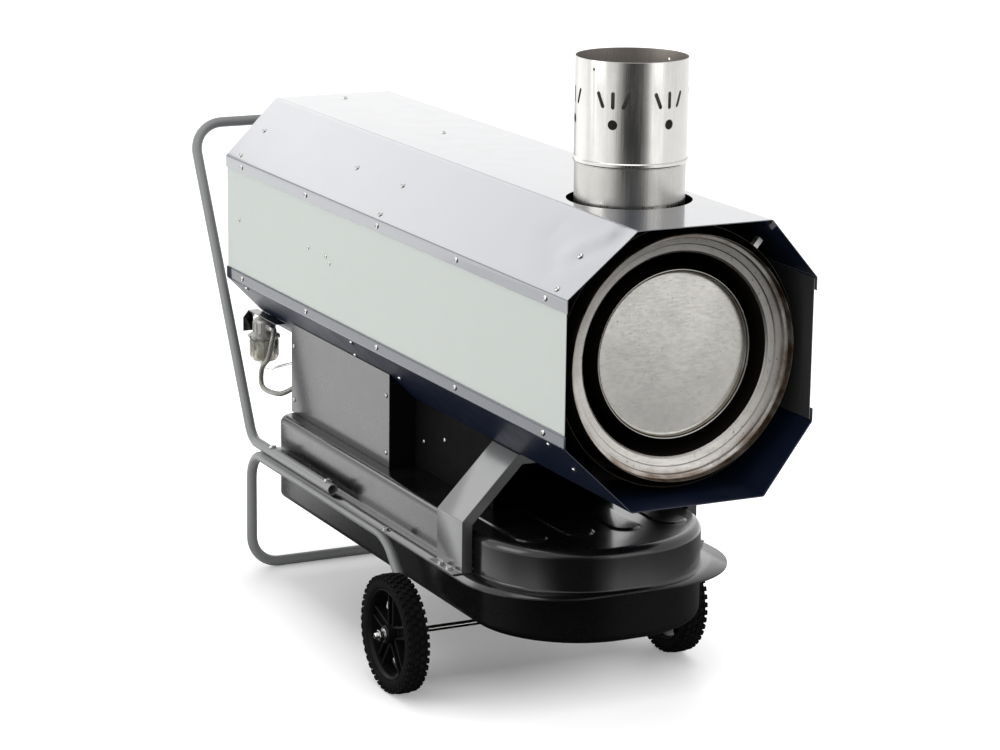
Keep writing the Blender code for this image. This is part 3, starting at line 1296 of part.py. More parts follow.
def build_filter():
    """Diesel filter under the casing's rear left corner, with its hose and pipe."""
    centre = (-FILTER_SIDE, behind(FILTER_PLACE), 0.0)
    strap_top = chamfer_height(FILTER_SIDE - STRAP_WIDTH / 2, GAP)
    head_top = strap_top - STRAP_SHEET - GAP
    head_low = FILTER_BOWL_TOP + GAP
    collar = FILTER_BOWL_RADIUS + FILTER_BOWL_WALL
    head = revolve(
        "filter_head",
        [
            (0.0, head_top),
            (FILTER_HEAD_RADIUS * FILTER_DOME_SHARE, head_top),
            (FILTER_HEAD_RADIUS, head_top - 2 * FILTER_COLLAR),
            (FILTER_HEAD_RADIUS, head_low + 2 * FILTER_COLLAR),
            (collar, head_low + FILTER_COLLAR),
            (collar, head_low),
            (0.0, head_low),
        ],
        centre, "Z", KNOB_STEPS,
    )
    port_height = head_low + 3 * FILTER_COLLAR + FILTER_PORT_RADIUS
    port_at = (centre[0], centre[1], port_height)
    reach = FILTER_HEAD_RADIUS + UNION_LENGTH
    join(head, cylinder("filter_unions", FILTER_PORT_RADIUS, -reach, reach, "Y", port_at, SCREW_STEPS,
                        cutter=True))
    finish(head, *GREY_CAST)

    bowl = revolve(
        "filter_bowl",
        [
            (FILTER_BOWL_RADIUS, FILTER_BOWL_TOP),
            (FILTER_BOWL_RADIUS, FILTER_BOWL_BOTTOM + FILTER_BOWL_ROUND),
            (FILTER_BOWL_RADIUS - FILTER_BOWL_ROUND / 3, FILTER_BOWL_BOTTOM + FILTER_BOWL_ROUND / 3),
            (FILTER_BOWL_RADIUS - FILTER_BOWL_ROUND, FILTER_BOWL_BOTTOM),
            (0.0, FILTER_BOWL_BOTTOM),
        ],
        centre, "Z", KNOB_STEPS, sheet=FILTER_BOWL_WALL,
    )
    finish(bowl, *CLEAR_BOWL)
    element = cylinder("filter_element", FILTER_ELEMENT_RADIUS, FILTER_BOWL_BOTTOM + FILTER_COLLAR,
                       FILTER_BOWL_TOP, "Z", centre, SMALL_STEPS)
    finish(element, *PAPER)

    back = behind(FILTER_PLACE)
    tail = 2 * FILTER_BOWL_RADIUS
    strap_line = [
        (back + tail + FILTER_BOWL_RADIUS, port_height - FILTER_BOWL_RADIUS),
        (back + tail + FILTER_BOWL_RADIUS, port_height),
        (back + tail, strap_top),
        (back - tail - FILTER_BOWL_RADIUS, strap_top),
    ]
    strap = folded_sheet("filter_strap", strap_line, "X", -FILTER_SIDE - STRAP_WIDTH / 2,
                         -FILTER_SIDE + STRAP_WIDTH / 2, STRAP_SHEET)
    finish(strap, *BLACK_PAINT)

    hose_low, pipe_low = fuel_union_heights()
    wall = behind(BOX_REAR) + UNION_LENGTH

    hose_side = FILTER_SIDE + 2 * HOSE_RADIUS
    start = back - reach - GAP
    hose_end = wall + GAP
    hose_route = [
        (-FILTER_SIDE, start, port_height),
        (-FILTER_SIDE, start - 3 * HOSE_RADIUS, port_height),
        (-hose_side, start - 6 * HOSE_RADIUS, port_height - 3 * HOSE_RADIUS),
        (-hose_side, start - 2 * HOSE_RADIUS, port_height - 11 * HOSE_RADIUS),
        (-hose_side, start + 5 * HOSE_RADIUS, port_height - 17 * HOSE_RADIUS),
        (-hose_side, start + 4 * HOSE_RADIUS, hose_low - 4 * HOSE_RADIUS),
        (-hose_side, hose_end + 8 * HOSE_RADIUS, hose_low - 3 * HOSE_RADIUS),
        (-UNION_SIDE, hose_end + 3 * HOSE_RADIUS, hose_low),
        (-UNION_SIDE, hose_end, hose_low),
    ]
    hose = tube("fuel_hose", smooth_route(hose_route, ROUTE_STEPS), HOSE_RADIUS, resolution=1)
    finish(hose, *BRAID)

    pipe_side = FILTER_SIDE - 2 * HOSE_RADIUS
    pipe_start = back + reach + GAP
    pipe_route = [
        (-FILTER_SIDE, pipe_start, port_height),
        (-FILTER_SIDE, pipe_start + 4 * PIPE_RADIUS, port_height),
        (-pipe_side, pipe_start + 9 * PIPE_RADIUS, port_height - 13 * PIPE_RADIUS),
        (-pipe_side, pipe_start + 2 * PIPE_RADIUS, FILTER_BOWL_BOTTOM - 6 * PIPE_RADIUS),
        (-pipe_side, back, FILTER_BOWL_BOTTOM - 7 * PIPE_RADIUS),
        (-pipe_side, back - 15 * PIPE_RADIUS, FILTER_BOWL_BOTTOM - 2 * PIPE_RADIUS),
        (-UNION_SIDE, wall + 5 * PIPE_RADIUS, pipe_low),
        (-UNION_SIDE, wall + GAP, pipe_low),
    ]
    pipe = tube("supply_pipe", smooth_route(pipe_route, ROUTE_STEPS), PIPE_RADIUS, resolution=1)
    finish(pipe, *ZINC)


def build_trolley():
    """Bent stand tube, push handle, axle and both wheels."""
    axle_y = behind(AXLE_PLACE)
    corner_y = behind(STAND_FRONT_CORNER)
    rear = behind(STAND_REAR)
    high = STAND_TUBE_HEIGHT
    slope = (Vector((0.0, axle_y, WHEEL_RADIUS)) - Vector((0.0, corner_y, high))).normalized() * AXLE_LUG
    left = [
        (-TUBE_TRACK, axle_y + slope.y, WHEEL_RADIUS + slope.z),
        (-TUBE_TRACK, corner_y, high),
        (-TUBE_TRACK, rear, high),
        (-TUBE_TRACK, rear, TUBE_RADIUS),
    ]
    corners = left + [(-x, y, z) for x, y, z in reversed(left)]
    radii = [STAND_FRONT_BEND] + [STAND_BEND] * 4 + [STAND_FRONT_BEND]
    stand = tube("stand_frame", round_corners(corners, radii), TUBE_RADIUS)
    cut(stand, cylinder("axle_hole", AXLE_RADIUS + GAP, -AXLE_HALF_LENGTH, AXLE_HALF_LENGTH, "X",
                        (0.0, axle_y, WHEEL_RADIUS), SMALL_STEPS, cutter=True))
    finish(stand, *TUBE_GREY)

    side = [
        (-TUBE_TRACK, behind(HANDLE_OPEN_END), HANDLE_TUBE_HEIGHT),
        (-TUBE_TRACK, behind(HANDLE_CORNER), HANDLE_TUBE_HEIGHT),
        (-TUBE_TRACK, behind(HANDLE_TOP_PLACE), HANDLE_TOP_HEIGHT),
    ]
    corners = side + [(-x, y, z) for x, y, z in reversed(side)]
    radii = [HANDLE_BEND, HANDLE_TOP_BEND, HANDLE_TOP_BEND, HANDLE_BEND]
    handle = tube("push_handle", round_corners(corners, radii), TUBE_RADIUS)
    bores = bmesh.new()
    for sign in (-1, 1):
        start = behind(HANDLE_OPEN_END)
        cylinder_shape(TUBE_BORE, start - OVERRUN, start + 2 * OVERRUN, "Y",
                       (sign * TUBE_TRACK, 0.0, HANDLE_TUBE_HEIGHT), SMALL_STEPS, bores)
    cut(handle, mesh_object("handle_bores", bores, cutter=True))
    finish(handle, *TUBE_GREY)

    axle_at = (0.0, axle_y, WHEEL_RADIUS)
    axle = cylinder("axle", AXLE_RADIUS, -AXLE_HALF_LENGTH, AXLE_HALF_LENGTH, "X", axle_at, SMALL_STEPS)
    hub_inner = WHEEL_OUTER_FACE - TYRE_WIDTH
    for sign in (-1, 1):
        ends = sorted((sign * (TUBE_TRACK + TUBE_RADIUS + GAP), sign * (hub_inner - GAP)))
        join(axle, cylinder("axle_collar", COLLAR_RADIUS, *ends, "X", axle_at, SMALL_STEPS, cutter=True))
    finish(axle, *ZINC)
    for side, sign in (("left", -1), ("right", 1)):
        build_wheel(side, sign, axle_at)
        washer = (sign * WASHER_FACE, sign * (WASHER_FACE + WASHER_SHEET))
        nut = (sign * NUT_FACE, sign * (NUT_FACE + NUT_HEIGHT))
        build_axle_ring(side + "_washer", WASHER_RADIUS, washer, axle_at, SMALL_STEPS)
        build_axle_ring(side + "_axle_nut", NUT_RADIUS, nut, axle_at, SCREW_STEPS)


def build_axle_ring(name, radius, faces, axle_at, steps):
    """A washer or nut threaded on one end of the axle."""
    item = cylinder(name, radius, *sorted(faces), "X", axle_at, steps)
    reach = AXLE_HALF_LENGTH + OVERRUN
    bore = cylinder(name + "_bore", AXLE_RADIUS + GAP, -reach, reach, "X", axle_at, SMALL_STEPS, cutter=True)
    cut(item, bore)
    finish(item, *ZINC)


def build_wheel(name, sign, axle_at):
    """Plastic rim with double spokes and a tyre with two staggered rows of lugs."""
    middle = (sign * (WHEEL_OUTER_FACE - TYRE_WIDTH / 2), axle_at[1], axle_at[2])
    half = TYRE_WIDTH / 2
    shape = bmesh.new()
    rings = []
    stations = 4 * TREAD_LUGS
    for index in range(stations):
        turn = math.tau * index / stations
        left_up = index % 4 < 2
        crown = WHEEL_RADIUS
        left = crown if left_up else crown - TREAD_DEPTH
        right = crown - TREAD_DEPTH if left_up else crown
        wall = TYRE_INNER_RADIUS + TREAD_SHOULDER
        profile = [
            (TYRE_INNER_RADIUS, -half + TREAD_DEPTH),
            (wall, -half),
            (left, -half + TREAD_SHOULDER),
            (left, 0.0),
            (right, GAP),
            (right, half - TREAD_SHOULDER),
            (wall, half),
            (TYRE_INNER_RADIUS, half - TREAD_DEPTH),
        ]
        rings.append([
            shape.verts.new((across, radius * math.sin(turn), -radius * math.cos(turn)))
            for radius, across in profile
        ])
    for index in range(stations):
        here = rings[index]
        after = rings[(index + 1) % stations]
        for step in range(len(here)):
            over = (step + 1) % len(here)
            shape.faces.new((here[step], after[step], after[over], here[over]))
    bmesh.ops.recalc_face_normals(shape, faces=shape.faces)
    tyre = mesh_object(name + "_tyre", shape)
    tyre.matrix_world = Matrix.Translation(Vector(middle))
    finish(tyre, *RUBBER)

    outer = TYRE_INNER_RADIUS - GAP
    rim = revolve(
        name + "_rim",
        ring_profile(outer, outer - RIM_WALL, -RIM_WIDTH / 2, RIM_WIDTH / 2),
        middle, "X", ROUND_STEPS, closed=True,
    )
    hub = revolve(
        name + "_hub",
        ring_profile(RIM_HUB_RADIUS, AXLE_RADIUS + RUNNING_CLEARANCE, -half, half),
        middle, "X", ROUND_STEPS, closed=True, cutter=True,
    )
    spokes = bmesh.new()
    for index in range(RIM_SPOKES):
        for side in (-1, 1):
            near = side * RIM_SPOKE_SPREAD - RIM_SPOKE_WIDTH / 2
            far = side * RIM_SPOKE_SPREAD + RIM_SPOKE_WIDTH / 2
            one = box_shape(
                (-RIM_SPOKE_DEPTH / 2, near, RIM_HUB_RADIUS * SPOKE_ROOT_SHARE),
                (RIM_SPOKE_DEPTH / 2, far, outer - RIM_WALL / 2),
            )
            turn = Matrix.Rotation(math.tau * index / RIM_SPOKES, 4, "X")
            add_copy(spokes, one, Matrix.Translation(Vector(middle)) @ turn)
    join(rim, hub)
    join(rim, mesh_object(name + "_spokes", spokes, cutter=True, smooth=False), crossing=True)
    finish(rim, *BLACK_PLASTIC)


def build_fan():
    """Shroud, six-blade fan, its motor, the motor's spider and the wire grille."""
    zero = axis_centre(0.0)
    inner = FAN_RADIUS + FAN_CLEARANCE
    rear = REAR_PANEL_PLACE - GAP
    front = rear - SHROUD_LENGTH
    shroud = revolve(
        "fan_shroud",
        [
            (inner + SHROUD_FLANGE, rear),
            (inner + SHROUD_FLANGE, rear - SHROUD_SHEET),
            (inner + SHROUD_SHEET, rear - SHROUD_SHEET),
            (inner + SHROUD_SHEET, front + SHROUD_SHEET),
            (inner + SHROUD_LIP, front + SHROUD_SHEET),
            (inner + SHROUD_LIP, front),
            (inner, front),
            (inner, rear),
        ],
        zero, "Y", FINE_STEPS, closed=True,
    )
    finish(shroud, *DARK_STEEL)

    hub_front = FAN_MIDDLE - FAN_HUB_LENGTH / 2
    hub_rear = FAN_MIDDLE + FAN_HUB_LENGTH / 2
    nose = front - GAP + MOTOR_NOSE
    fan = revolve(
        "main_fan",
        [
            (0.0, hub_rear),
            (FAN_HUB_RADIUS * FAN_HUB_NOSE_SHARE, hub_rear),
            (FAN_HUB_RADIUS, hub_rear - FAN_HUB_LENGTH / 4),
            (FAN_HUB_RADIUS, hub_front),
            (FAN_SHAFT_RADIUS, hub_front),
            (FAN_SHAFT_RADIUS, nose - MOTOR_NOSE),
            (0.0, nose - MOTOR_NOSE),
        ],
        zero, "Y", ROUND_STEPS,
    )
    blades = bmesh.new()
    root = FAN_HUB_RADIUS * FAN_ROOT_SHARE
    for index in range(FAN_BLADES):
        base = math.tau * index / FAN_BLADES
        rows = []
        for row in range(FAN_RADIAL_STEPS + 1):
            part = row / FAN_RADIAL_STEPS
            radius = root + (FAN_RADIUS - root) * part
            pitch = FAN_PITCH_ROOT + (FAN_PITCH_TIP - FAN_PITCH_ROOT) * part
            chord = FAN_BLADE_CHORD * (FAN_ROOT_CHORD_SHARE + (1 - FAN_ROOT_CHORD_SHARE) * part)
            line = []
            for step in range(FAN_CHORD_STEPS + 1):
                across = step / FAN_CHORD_STEPS - 1 / 2
                camber = (1 / 4 - across * across) * chord * FAN_CAMBER_SHARE
                aside = across * chord * math.cos(pitch) - camber * math.sin(pitch)
                along = across * chord * math.sin(pitch) + camber * math.cos(pitch)
                turn = base + aside / radius
                line.append(blades.verts.new((
                    radius * math.cos(turn), behind(FAN_MIDDLE) + along, AXIS_HEIGHT + radius * math.sin(turn)
                )))
            rows.append(line)
        for low, high in zip(rows, rows[1:]):
            for step in range(FAN_CHORD_STEPS):
                blades.faces.new((low[step], low[step + 1], high[step + 1], high[step]))
    blade_tool = mesh_object("fan_blades", blades, cutter=True)
    wall = blade_tool.modifiers.new("sheet", "SOLIDIFY")
    wall.thickness = FAN_BLADE_SHEET
    wall.offset = 0.0
    join(fan, blade_tool)
    finish(fan, *BLACK_PLASTIC)

    motor_rear = nose
    motor_front = nose - MOTOR_LENGTH
    bore = FAN_SHAFT_RADIUS + RUNNING_CLEARANCE
    depth = 2 * MOTOR_NOSE + GAP
    motor = revolve(
        "fan_motor",
        [
            (0.0, motor_rear - depth),
            (bore, motor_rear - depth),
            (bore, motor_rear),
            (MOTOR_RADIUS / 2, motor_rear),
            (MOTOR_RADIUS, motor_rear - MOTOR_NOSE),
            (MOTOR_RADIUS, motor_front + MOTOR_NOSE / 2),
            (MOTOR_RADIUS - MOTOR_NOSE / 2, motor_front),
            (0.0, motor_front),
        ],
        zero, "Y", ROUND_STEPS,
    )
    finish(motor, *GREY_CAST)

    ring_rear = front - GAP
    spider = revolve(
        "motor_spider",
        ring_profile(MOTOR_RADIUS + GAP + MOTOR_RING, MOTOR_RADIUS + GAP, ring_rear - MOTOR_ARM_WIDTH,
                     ring_rear),
        zero, "Y", ROUND_STEPS, closed=True,
    )
    arms = bmesh.new()
    near = MOTOR_RADIUS + GAP + MOTOR_RING / 2
    far = inner + SHROUD_LIP
    low_y = behind(ring_rear - MOTOR_ARM_SHEET)
    high_y = behind(ring_rear)
    wide = MOTOR_ARM_WIDTH / 2
    for low, high in (
        ((-wide, low_y, AXIS_HEIGHT + near), (wide, high_y, AXIS_HEIGHT + far)),
        ((-wide, low_y, AXIS_HEIGHT - far), (wide, high_y, AXIS_HEIGHT - near)),
        ((near, low_y, AXIS_HEIGHT - wide), (far, high_y, AXIS_HEIGHT + wide)),
        ((-far, low_y, AXIS_HEIGHT - wide), (-near, high_y, AXIS_HEIGHT + wide)),
    ):
        box_shape(low, high, arms)
    join(spider, mesh_object("spider_arms", arms, cutter=True, smooth=False))
    finish(spider, *DARK_STEEL)
    build_grille(inner)


def build_grille(inner):
    """Domed wire guard over the air inlet: rings with spokes welded across them."""
    plane = REAR_PANEL_PLACE + REAR_PANEL_SHEET + GAP + GRILLE_WIRE
    outermost = inner + 3 * GRILLE_WIRE
    innermost = outermost / GRILLE_RINGS
    pitch = (outermost - innermost) / (GRILLE_RINGS - 1)
    circles = [innermost + pitch * index for index in range(GRILLE_RINGS)]
    places = [(radius, plane + GRILLE_BULGE * (1 - (radius / outermost) ** 2)) for radius in circles]
    points = []
    edges = []
    for radius, place in places:
        first = len(points)
        for step in range(WIRE_STEPS):
            turn = -math.tau * step / WIRE_STEPS
            points.append((radius + GRILLE_WIRE * math.cos(turn), 0.0, place + GRILLE_WIRE * math.sin(turn)))
            edges.append((first + step, first + (step + 1) % WIRE_STEPS))
    mesh = bpy.data.meshes.new("inlet_grille")
    mesh.from_pydata(points, edges, [])
    grille = add_object("inlet_grille", mesh)
    grille.matrix_world = Matrix.Translation(Vector(axis_centre(0.0))) @ AXIS_TURN["Y"]
    turn = grille.modifiers.new("turn", "SCREW")
    turn.steps = ROUND_STEPS
    turn.render_steps = ROUND_STEPS
    turn.use_merge_vertices = True
    turn.merge_threshold = MERGE
    turn.use_smooth_shade = True
    for index in range(GRILLE_SPOKES):
        angle = math.tau * (index + 1 / 4) / GRILLE_SPOKES
        path = [
            (radius * math.cos(angle), behind(place + GRILLE_WIRE), AXIS_HEIGHT + radius * math.sin(angle))
            for radius, place in (places[0], places[GRILLE_RINGS // 2], places[-1])
        ]
        join(grille, tube(f"grille_spoke_{index}", path, GRILLE_WIRE, resolution=0, cutter=True))
    finish(grille, *ZINC)


def build_burner():
    """Pressure-jet burner behind the chamber: body with blast tube, fan, motor, pump, transformer, nozzle."""
    zero = axis_centre(0.0)
    middle = axis_centre(BURNER_PLACE)
    half = BURNER_WIDTH / 2
    plate_rear = EXCHANGER_REAR - END_PLATE + GAP
    body = cylinder("burner_body", BURNER_RADIUS, -half, half, "X", middle, ROUND_STEPS)
    outside = bmesh.new()
    neck_rear = behind(BURNER_PLACE)
    cylinder_shape(BURNER_NECK_RADIUS, behind(plate_rear) + BURNER_FLANGE / 2, neck_rear, "Y", axis_centre(),
                   ROUND_STEPS, outside)
    join(body, mesh_object("burner_neck", outside, cutter=True))
    join(body, cylinder("burner_flange", BURNER_FLANGE_RADIUS, behind(plate_rear),
                        behind(plate_rear) + BURNER_FLANGE, "Y", axis_centre(), ROUND_STEPS, cutter=True))
    pad_half = TRANSFORMER_WIDTH / 2
    pad_top = AXIS_HEIGHT + BURNER_RADIUS + TRANSFORMER_PAD
    join(body, box("transformer_pad", (-pad_half, middle[1] - pad_half, AXIS_HEIGHT + BURNER_RADIUS / 2),
                   (pad_half, middle[1] + pad_half, pad_top), cutter=True))
    join(body, cylinder("blast_tube", BURNER_TUBE_RADIUS, behind(BURNER_TUBE_FRONT), behind(BURNER_TUBE_REAR),
                        "Y", axis_centre(), ROUND_STEPS, cutter=True))
    room = half - BURNER_WALL
    cavity = cylinder("burner_cavity", BURNER_RADIUS - BURNER_WALL, -room, room, "X", middle, ROUND_STEPS,
                      cutter=True)
    cut(body, cavity)
    bore = BURNER_TUBE_RADIUS - BURNER_TUBE_SHEET
    cut(body, cylinder("tube_bore", bore, behind(BURNER_TUBE_FRONT) - OVERRUN, neck_rear, "Y", axis_centre(),
                       ROUND_STEPS, cutter=True))
    cut(body, cylinder("side_eyes", BURNER_EYE_RADIUS, -half - OVERRUN, half + OVERRUN, "X", middle,
                       ROUND_STEPS, cutter=True))
    window = BURNER_EYE_RADIUS * WINDOW_SHARE
    cut(body, box("air_window", (-window, middle[1] + BURNER_RADIUS / 2, AXIS_HEIGHT - window),
                  (window, middle[1] + BURNER_RADIUS + OVERRUN, AXIS_HEIGHT + window), cutter=True))
    finish(body, *GREY_CAST)

    fan_half = BURNER_FAN_LENGTH / 2
    reach = half + OVERRUN
    wheel = cylinder("burner_fan", BURNER_SHAFT_RADIUS, -reach, reach, "X", middle, SMALL_STEPS)
    move_origin(wheel, middle)
    join(wheel, cylinder("burner_fan_disc", BURNER_FAN_RADIUS, -BURNER_FAN_BLADE, BURNER_FAN_BLADE, "X",
                         middle, ROUND_STEPS, cutter=True))
    vanes = bmesh.new()
    for index in range(BURNER_FAN_BLADES):
        one = box_shape(
            (-fan_half, -BURNER_FAN_BLADE / 2, BURNER_FAN_RADIUS * BURNER_FAN_ROOT_SHARE),
            (fan_half, BURNER_FAN_BLADE / 2, BURNER_FAN_RADIUS * BURNER_FAN_TIP_SHARE),
        )
        turn = Matrix.Rotation(math.tau * (index + 0.5) / BURNER_FAN_BLADES, 4, "X")
        add_copy(vanes, one, Matrix.Translation(Vector(middle)) @ turn)
    join(wheel, mesh_object("burner_fan_vanes", vanes, cutter=True, smooth=False))
    finish(wheel, *GREY_CAST)

    bore = BURNER_SHAFT_RADIUS + RUNNING_CLEARANCE
    bore_end = reach + GAP
    motor_end = half + GAP + BURNER_MOTOR_LENGTH
    motor = revolve(
        "burner_motor",
        [
            (0.0, motor_end),
            (BURNER_MOTOR_RADIUS * MOTOR_DOME_SHARE, motor_end),
            (BURNER_MOTOR_RADIUS, motor_end - BURNER_WALL),
            (BURNER_MOTOR_RADIUS, half + GAP),
            (bore, half + GAP),
            (bore, bore_end),
            (0.0, bore_end),
        ],
        middle, "X", ROUND_STEPS,
    )
    finish(motor, *GREY_CAST)
    eye_cover = BURNER_EYE_RADIUS + BURNER_WALL
    pump = revolve(
        "fuel_pump",
        [
            (0.0, -bore_end),
            (bore, -bore_end),
            (bore, -half - GAP),
            (eye_cover, -half - GAP),
            (eye_cover, -half - GAP - BURNER_WALL),
            (PUMP_RADIUS, -half - GAP - BURNER_WALL),
            (PUMP_RADIUS, -half - GAP - PUMP_LENGTH),
            (0.0, -half - GAP - PUMP_LENGTH),
        ],
        middle, "X", KNOB_STEPS,
    )
    fitting = PUMP_RADIUS + PUMP_FITTING_LENGTH
    fitting_at = (-half - PUMP_LENGTH + 2 * PUMP_FITTING_RADIUS, middle[1], AXIS_HEIGHT)
    join(pump, cylinder("pump_fittings", PUMP_FITTING_RADIUS, -fitting, fitting, "Z", fitting_at, SCREW_STEPS,
                        cutter=True))
    finish(pump, *GREY_CAST)

    transformer = box(
        "ignition_transformer",
        (-TRANSFORMER_WIDTH / 2, middle[1] - TRANSFORMER_LENGTH / 2, pad_top + GAP),
        (TRANSFORMER_WIDTH / 2, middle[1] + TRANSFORMER_LENGTH / 2, pad_top + GAP + TRANSFORMER_HEIGHT),
        edge=BURNER_WALL / 2,
    )
    finish(transformer, *BLACK_PLASTIC)

    rod = rod_profile(NOZZLE_ROD_RADIUS, NOZZLE_ROD_FRONT, NOZZLE_ROD_REAR)
    nozzle = revolve("nozzle_holder", rod, zero, "Y", SMALL_STEPS)
    disc_radius = BURNER_TUBE_RADIUS - BURNER_TUBE_SHEET - GAP
    front = NOZZLE_ROD_FRONT + FLAME_DISC_SHEET
    join(nozzle, cylinder("flame_disc", disc_radius, behind(front), behind(front + FLAME_DISC_SHEET), "Y",
                          axis_centre(), ROUND_STEPS, cutter=True))
    ports = bmesh.new()
    for index in range(SCREW_STEPS):
        turn = math.tau * index / SCREW_STEPS
        circle = disc_radius * FLAME_HOLES_SHARE
        place = (circle * math.cos(turn), 0.0, AXIS_HEIGHT + circle * math.sin(turn))
        cylinder_shape(FLAME_DISC_HOLE / 2, behind(front) - GAP, behind(front + FLAME_DISC_SHEET) + GAP, "Y",
                       place, SCREW_STEPS, ports)
    cut(nozzle, mesh_object("flame_ports", ports, cutter=True))
    finish(nozzle, *BRASS)

    thermostat_angle = math.radians(45)
    seat = DUCT_RADIUS * math.cos(math.pi / FINE_STEPS) + GAP
    sensor = cylinder_shape(THERMOSTAT_RADIUS, seat, DUCT_RADIUS + THERMOSTAT_HEIGHT, "Z",
                            (0.0, 0.0, 0.0), SMALL_STEPS)
    place = Matrix.Translation(Vector(axis_centre(DUCT_REAR / 2))) @ Matrix.Rotation(thermostat_angle, 4, "Y")
    bmesh.ops.transform(sensor, matrix=place, verts=sensor.verts)
    finish(mesh_object("limit_thermostat", sensor), *BLACK_PLASTIC)


build_casing()
build_exchanger()
build_flue()
build_tank()
build_saddle_bracket()
build_middle()
build_fuel_fittings()
build_trolley()
build_fan()
build_burner()
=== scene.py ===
"""Looks of an indirect fired heater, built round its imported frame.

Blender 4.5, metres, +Z up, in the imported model's own frame: the floor is z = 0, hot air
leaves towards -Y and the push handle is at +Y.  Each class dresses one sub-assembly.
"""

import json
import logging
import math
from dataclasses import dataclass
from enum import Enum
from functools import reduce
from typing import Callable, Optional, Sequence

import bmesh
import bpy
from mathutils import Matrix, Vector


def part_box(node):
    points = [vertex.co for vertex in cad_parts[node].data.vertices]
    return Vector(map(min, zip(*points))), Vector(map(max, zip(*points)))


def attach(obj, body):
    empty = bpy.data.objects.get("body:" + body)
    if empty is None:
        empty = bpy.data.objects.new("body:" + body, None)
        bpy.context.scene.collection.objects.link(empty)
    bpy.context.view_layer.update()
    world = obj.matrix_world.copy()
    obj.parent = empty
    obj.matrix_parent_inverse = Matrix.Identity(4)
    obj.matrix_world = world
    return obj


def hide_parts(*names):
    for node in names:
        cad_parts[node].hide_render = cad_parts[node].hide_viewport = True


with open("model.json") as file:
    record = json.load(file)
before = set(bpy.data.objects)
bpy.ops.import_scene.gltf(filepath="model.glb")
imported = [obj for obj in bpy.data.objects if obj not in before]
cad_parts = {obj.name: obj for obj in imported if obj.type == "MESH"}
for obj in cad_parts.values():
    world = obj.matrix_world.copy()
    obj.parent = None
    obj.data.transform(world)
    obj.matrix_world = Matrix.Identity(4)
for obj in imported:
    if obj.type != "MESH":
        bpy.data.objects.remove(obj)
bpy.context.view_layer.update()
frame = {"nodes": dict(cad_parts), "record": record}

LOG = logging.getLogger("heater")
Colour = tuple[float, float, float]
Point = tuple[float, float]
Line = Sequence[Point]
Triple = Sequence[float]
Route = Sequence[Triple]
Spot = tuple[Vector, Vector]
Spots = list[Spot]
Piece = bpy.types.Object
Paint = bpy.types.Material
Shape = bmesh.types.BMesh
Tree = bpy.types.NodeTree
Socket = bpy.types.NodeSocket

GREY = (0.5, 0.5, 0.5, 1.0)
MERGE = 0.00001
CLEARANCE = 0.0003
FLAT_ANGLE = math.radians(0.5)
SOFT_ANGLE = math.radians(50)
FOLD_ANGLE = math.radians(60)
COLUMN_WIDTH = 190.0
SHARP_ANGLE = math.radians(32)
BEVEL_ANGLE = math.radians(40)
QUARTER = math.radians(90)
HEATER = "heater"
LOOK = "_look"
SLOTS = {row["node"]: row["material_slot"] for row in frame["record"]["subparts"]}

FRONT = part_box("upper_cover")[0].y
CASING_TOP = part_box("upper_cover")[1].z
CASING_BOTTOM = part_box("lower_cover")[0].z
AXIS_HEIGHT = (CASING_TOP + CASING_BOTTOM) / 2


class Axis(Enum):
    """World axis of a turned piece, with the turn that brings +Z onto it."""

    X = Matrix.Rotation(math.radians(90), 4, "Y")
    Y = Matrix.Rotation(math.radians(-90), 4, "X")
    Z = Matrix.Identity(4)


def behind(distance: float) -> float:
    """Y of a plane that lies this far behind the casing's front edge."""
    return FRONT + distance


def screw_at(x: float, y: float, z: float, *facing: float) -> Spot:
    """Place of a screw and the direction that it faces."""
    return Vector((x, y, z)), Vector(facing)


def on_axis(distance: float) -> Vector:
    """Point on the casing's axis, this far behind its front edge."""
    return Vector((0.0, behind(distance), AXIS_HEIGHT))


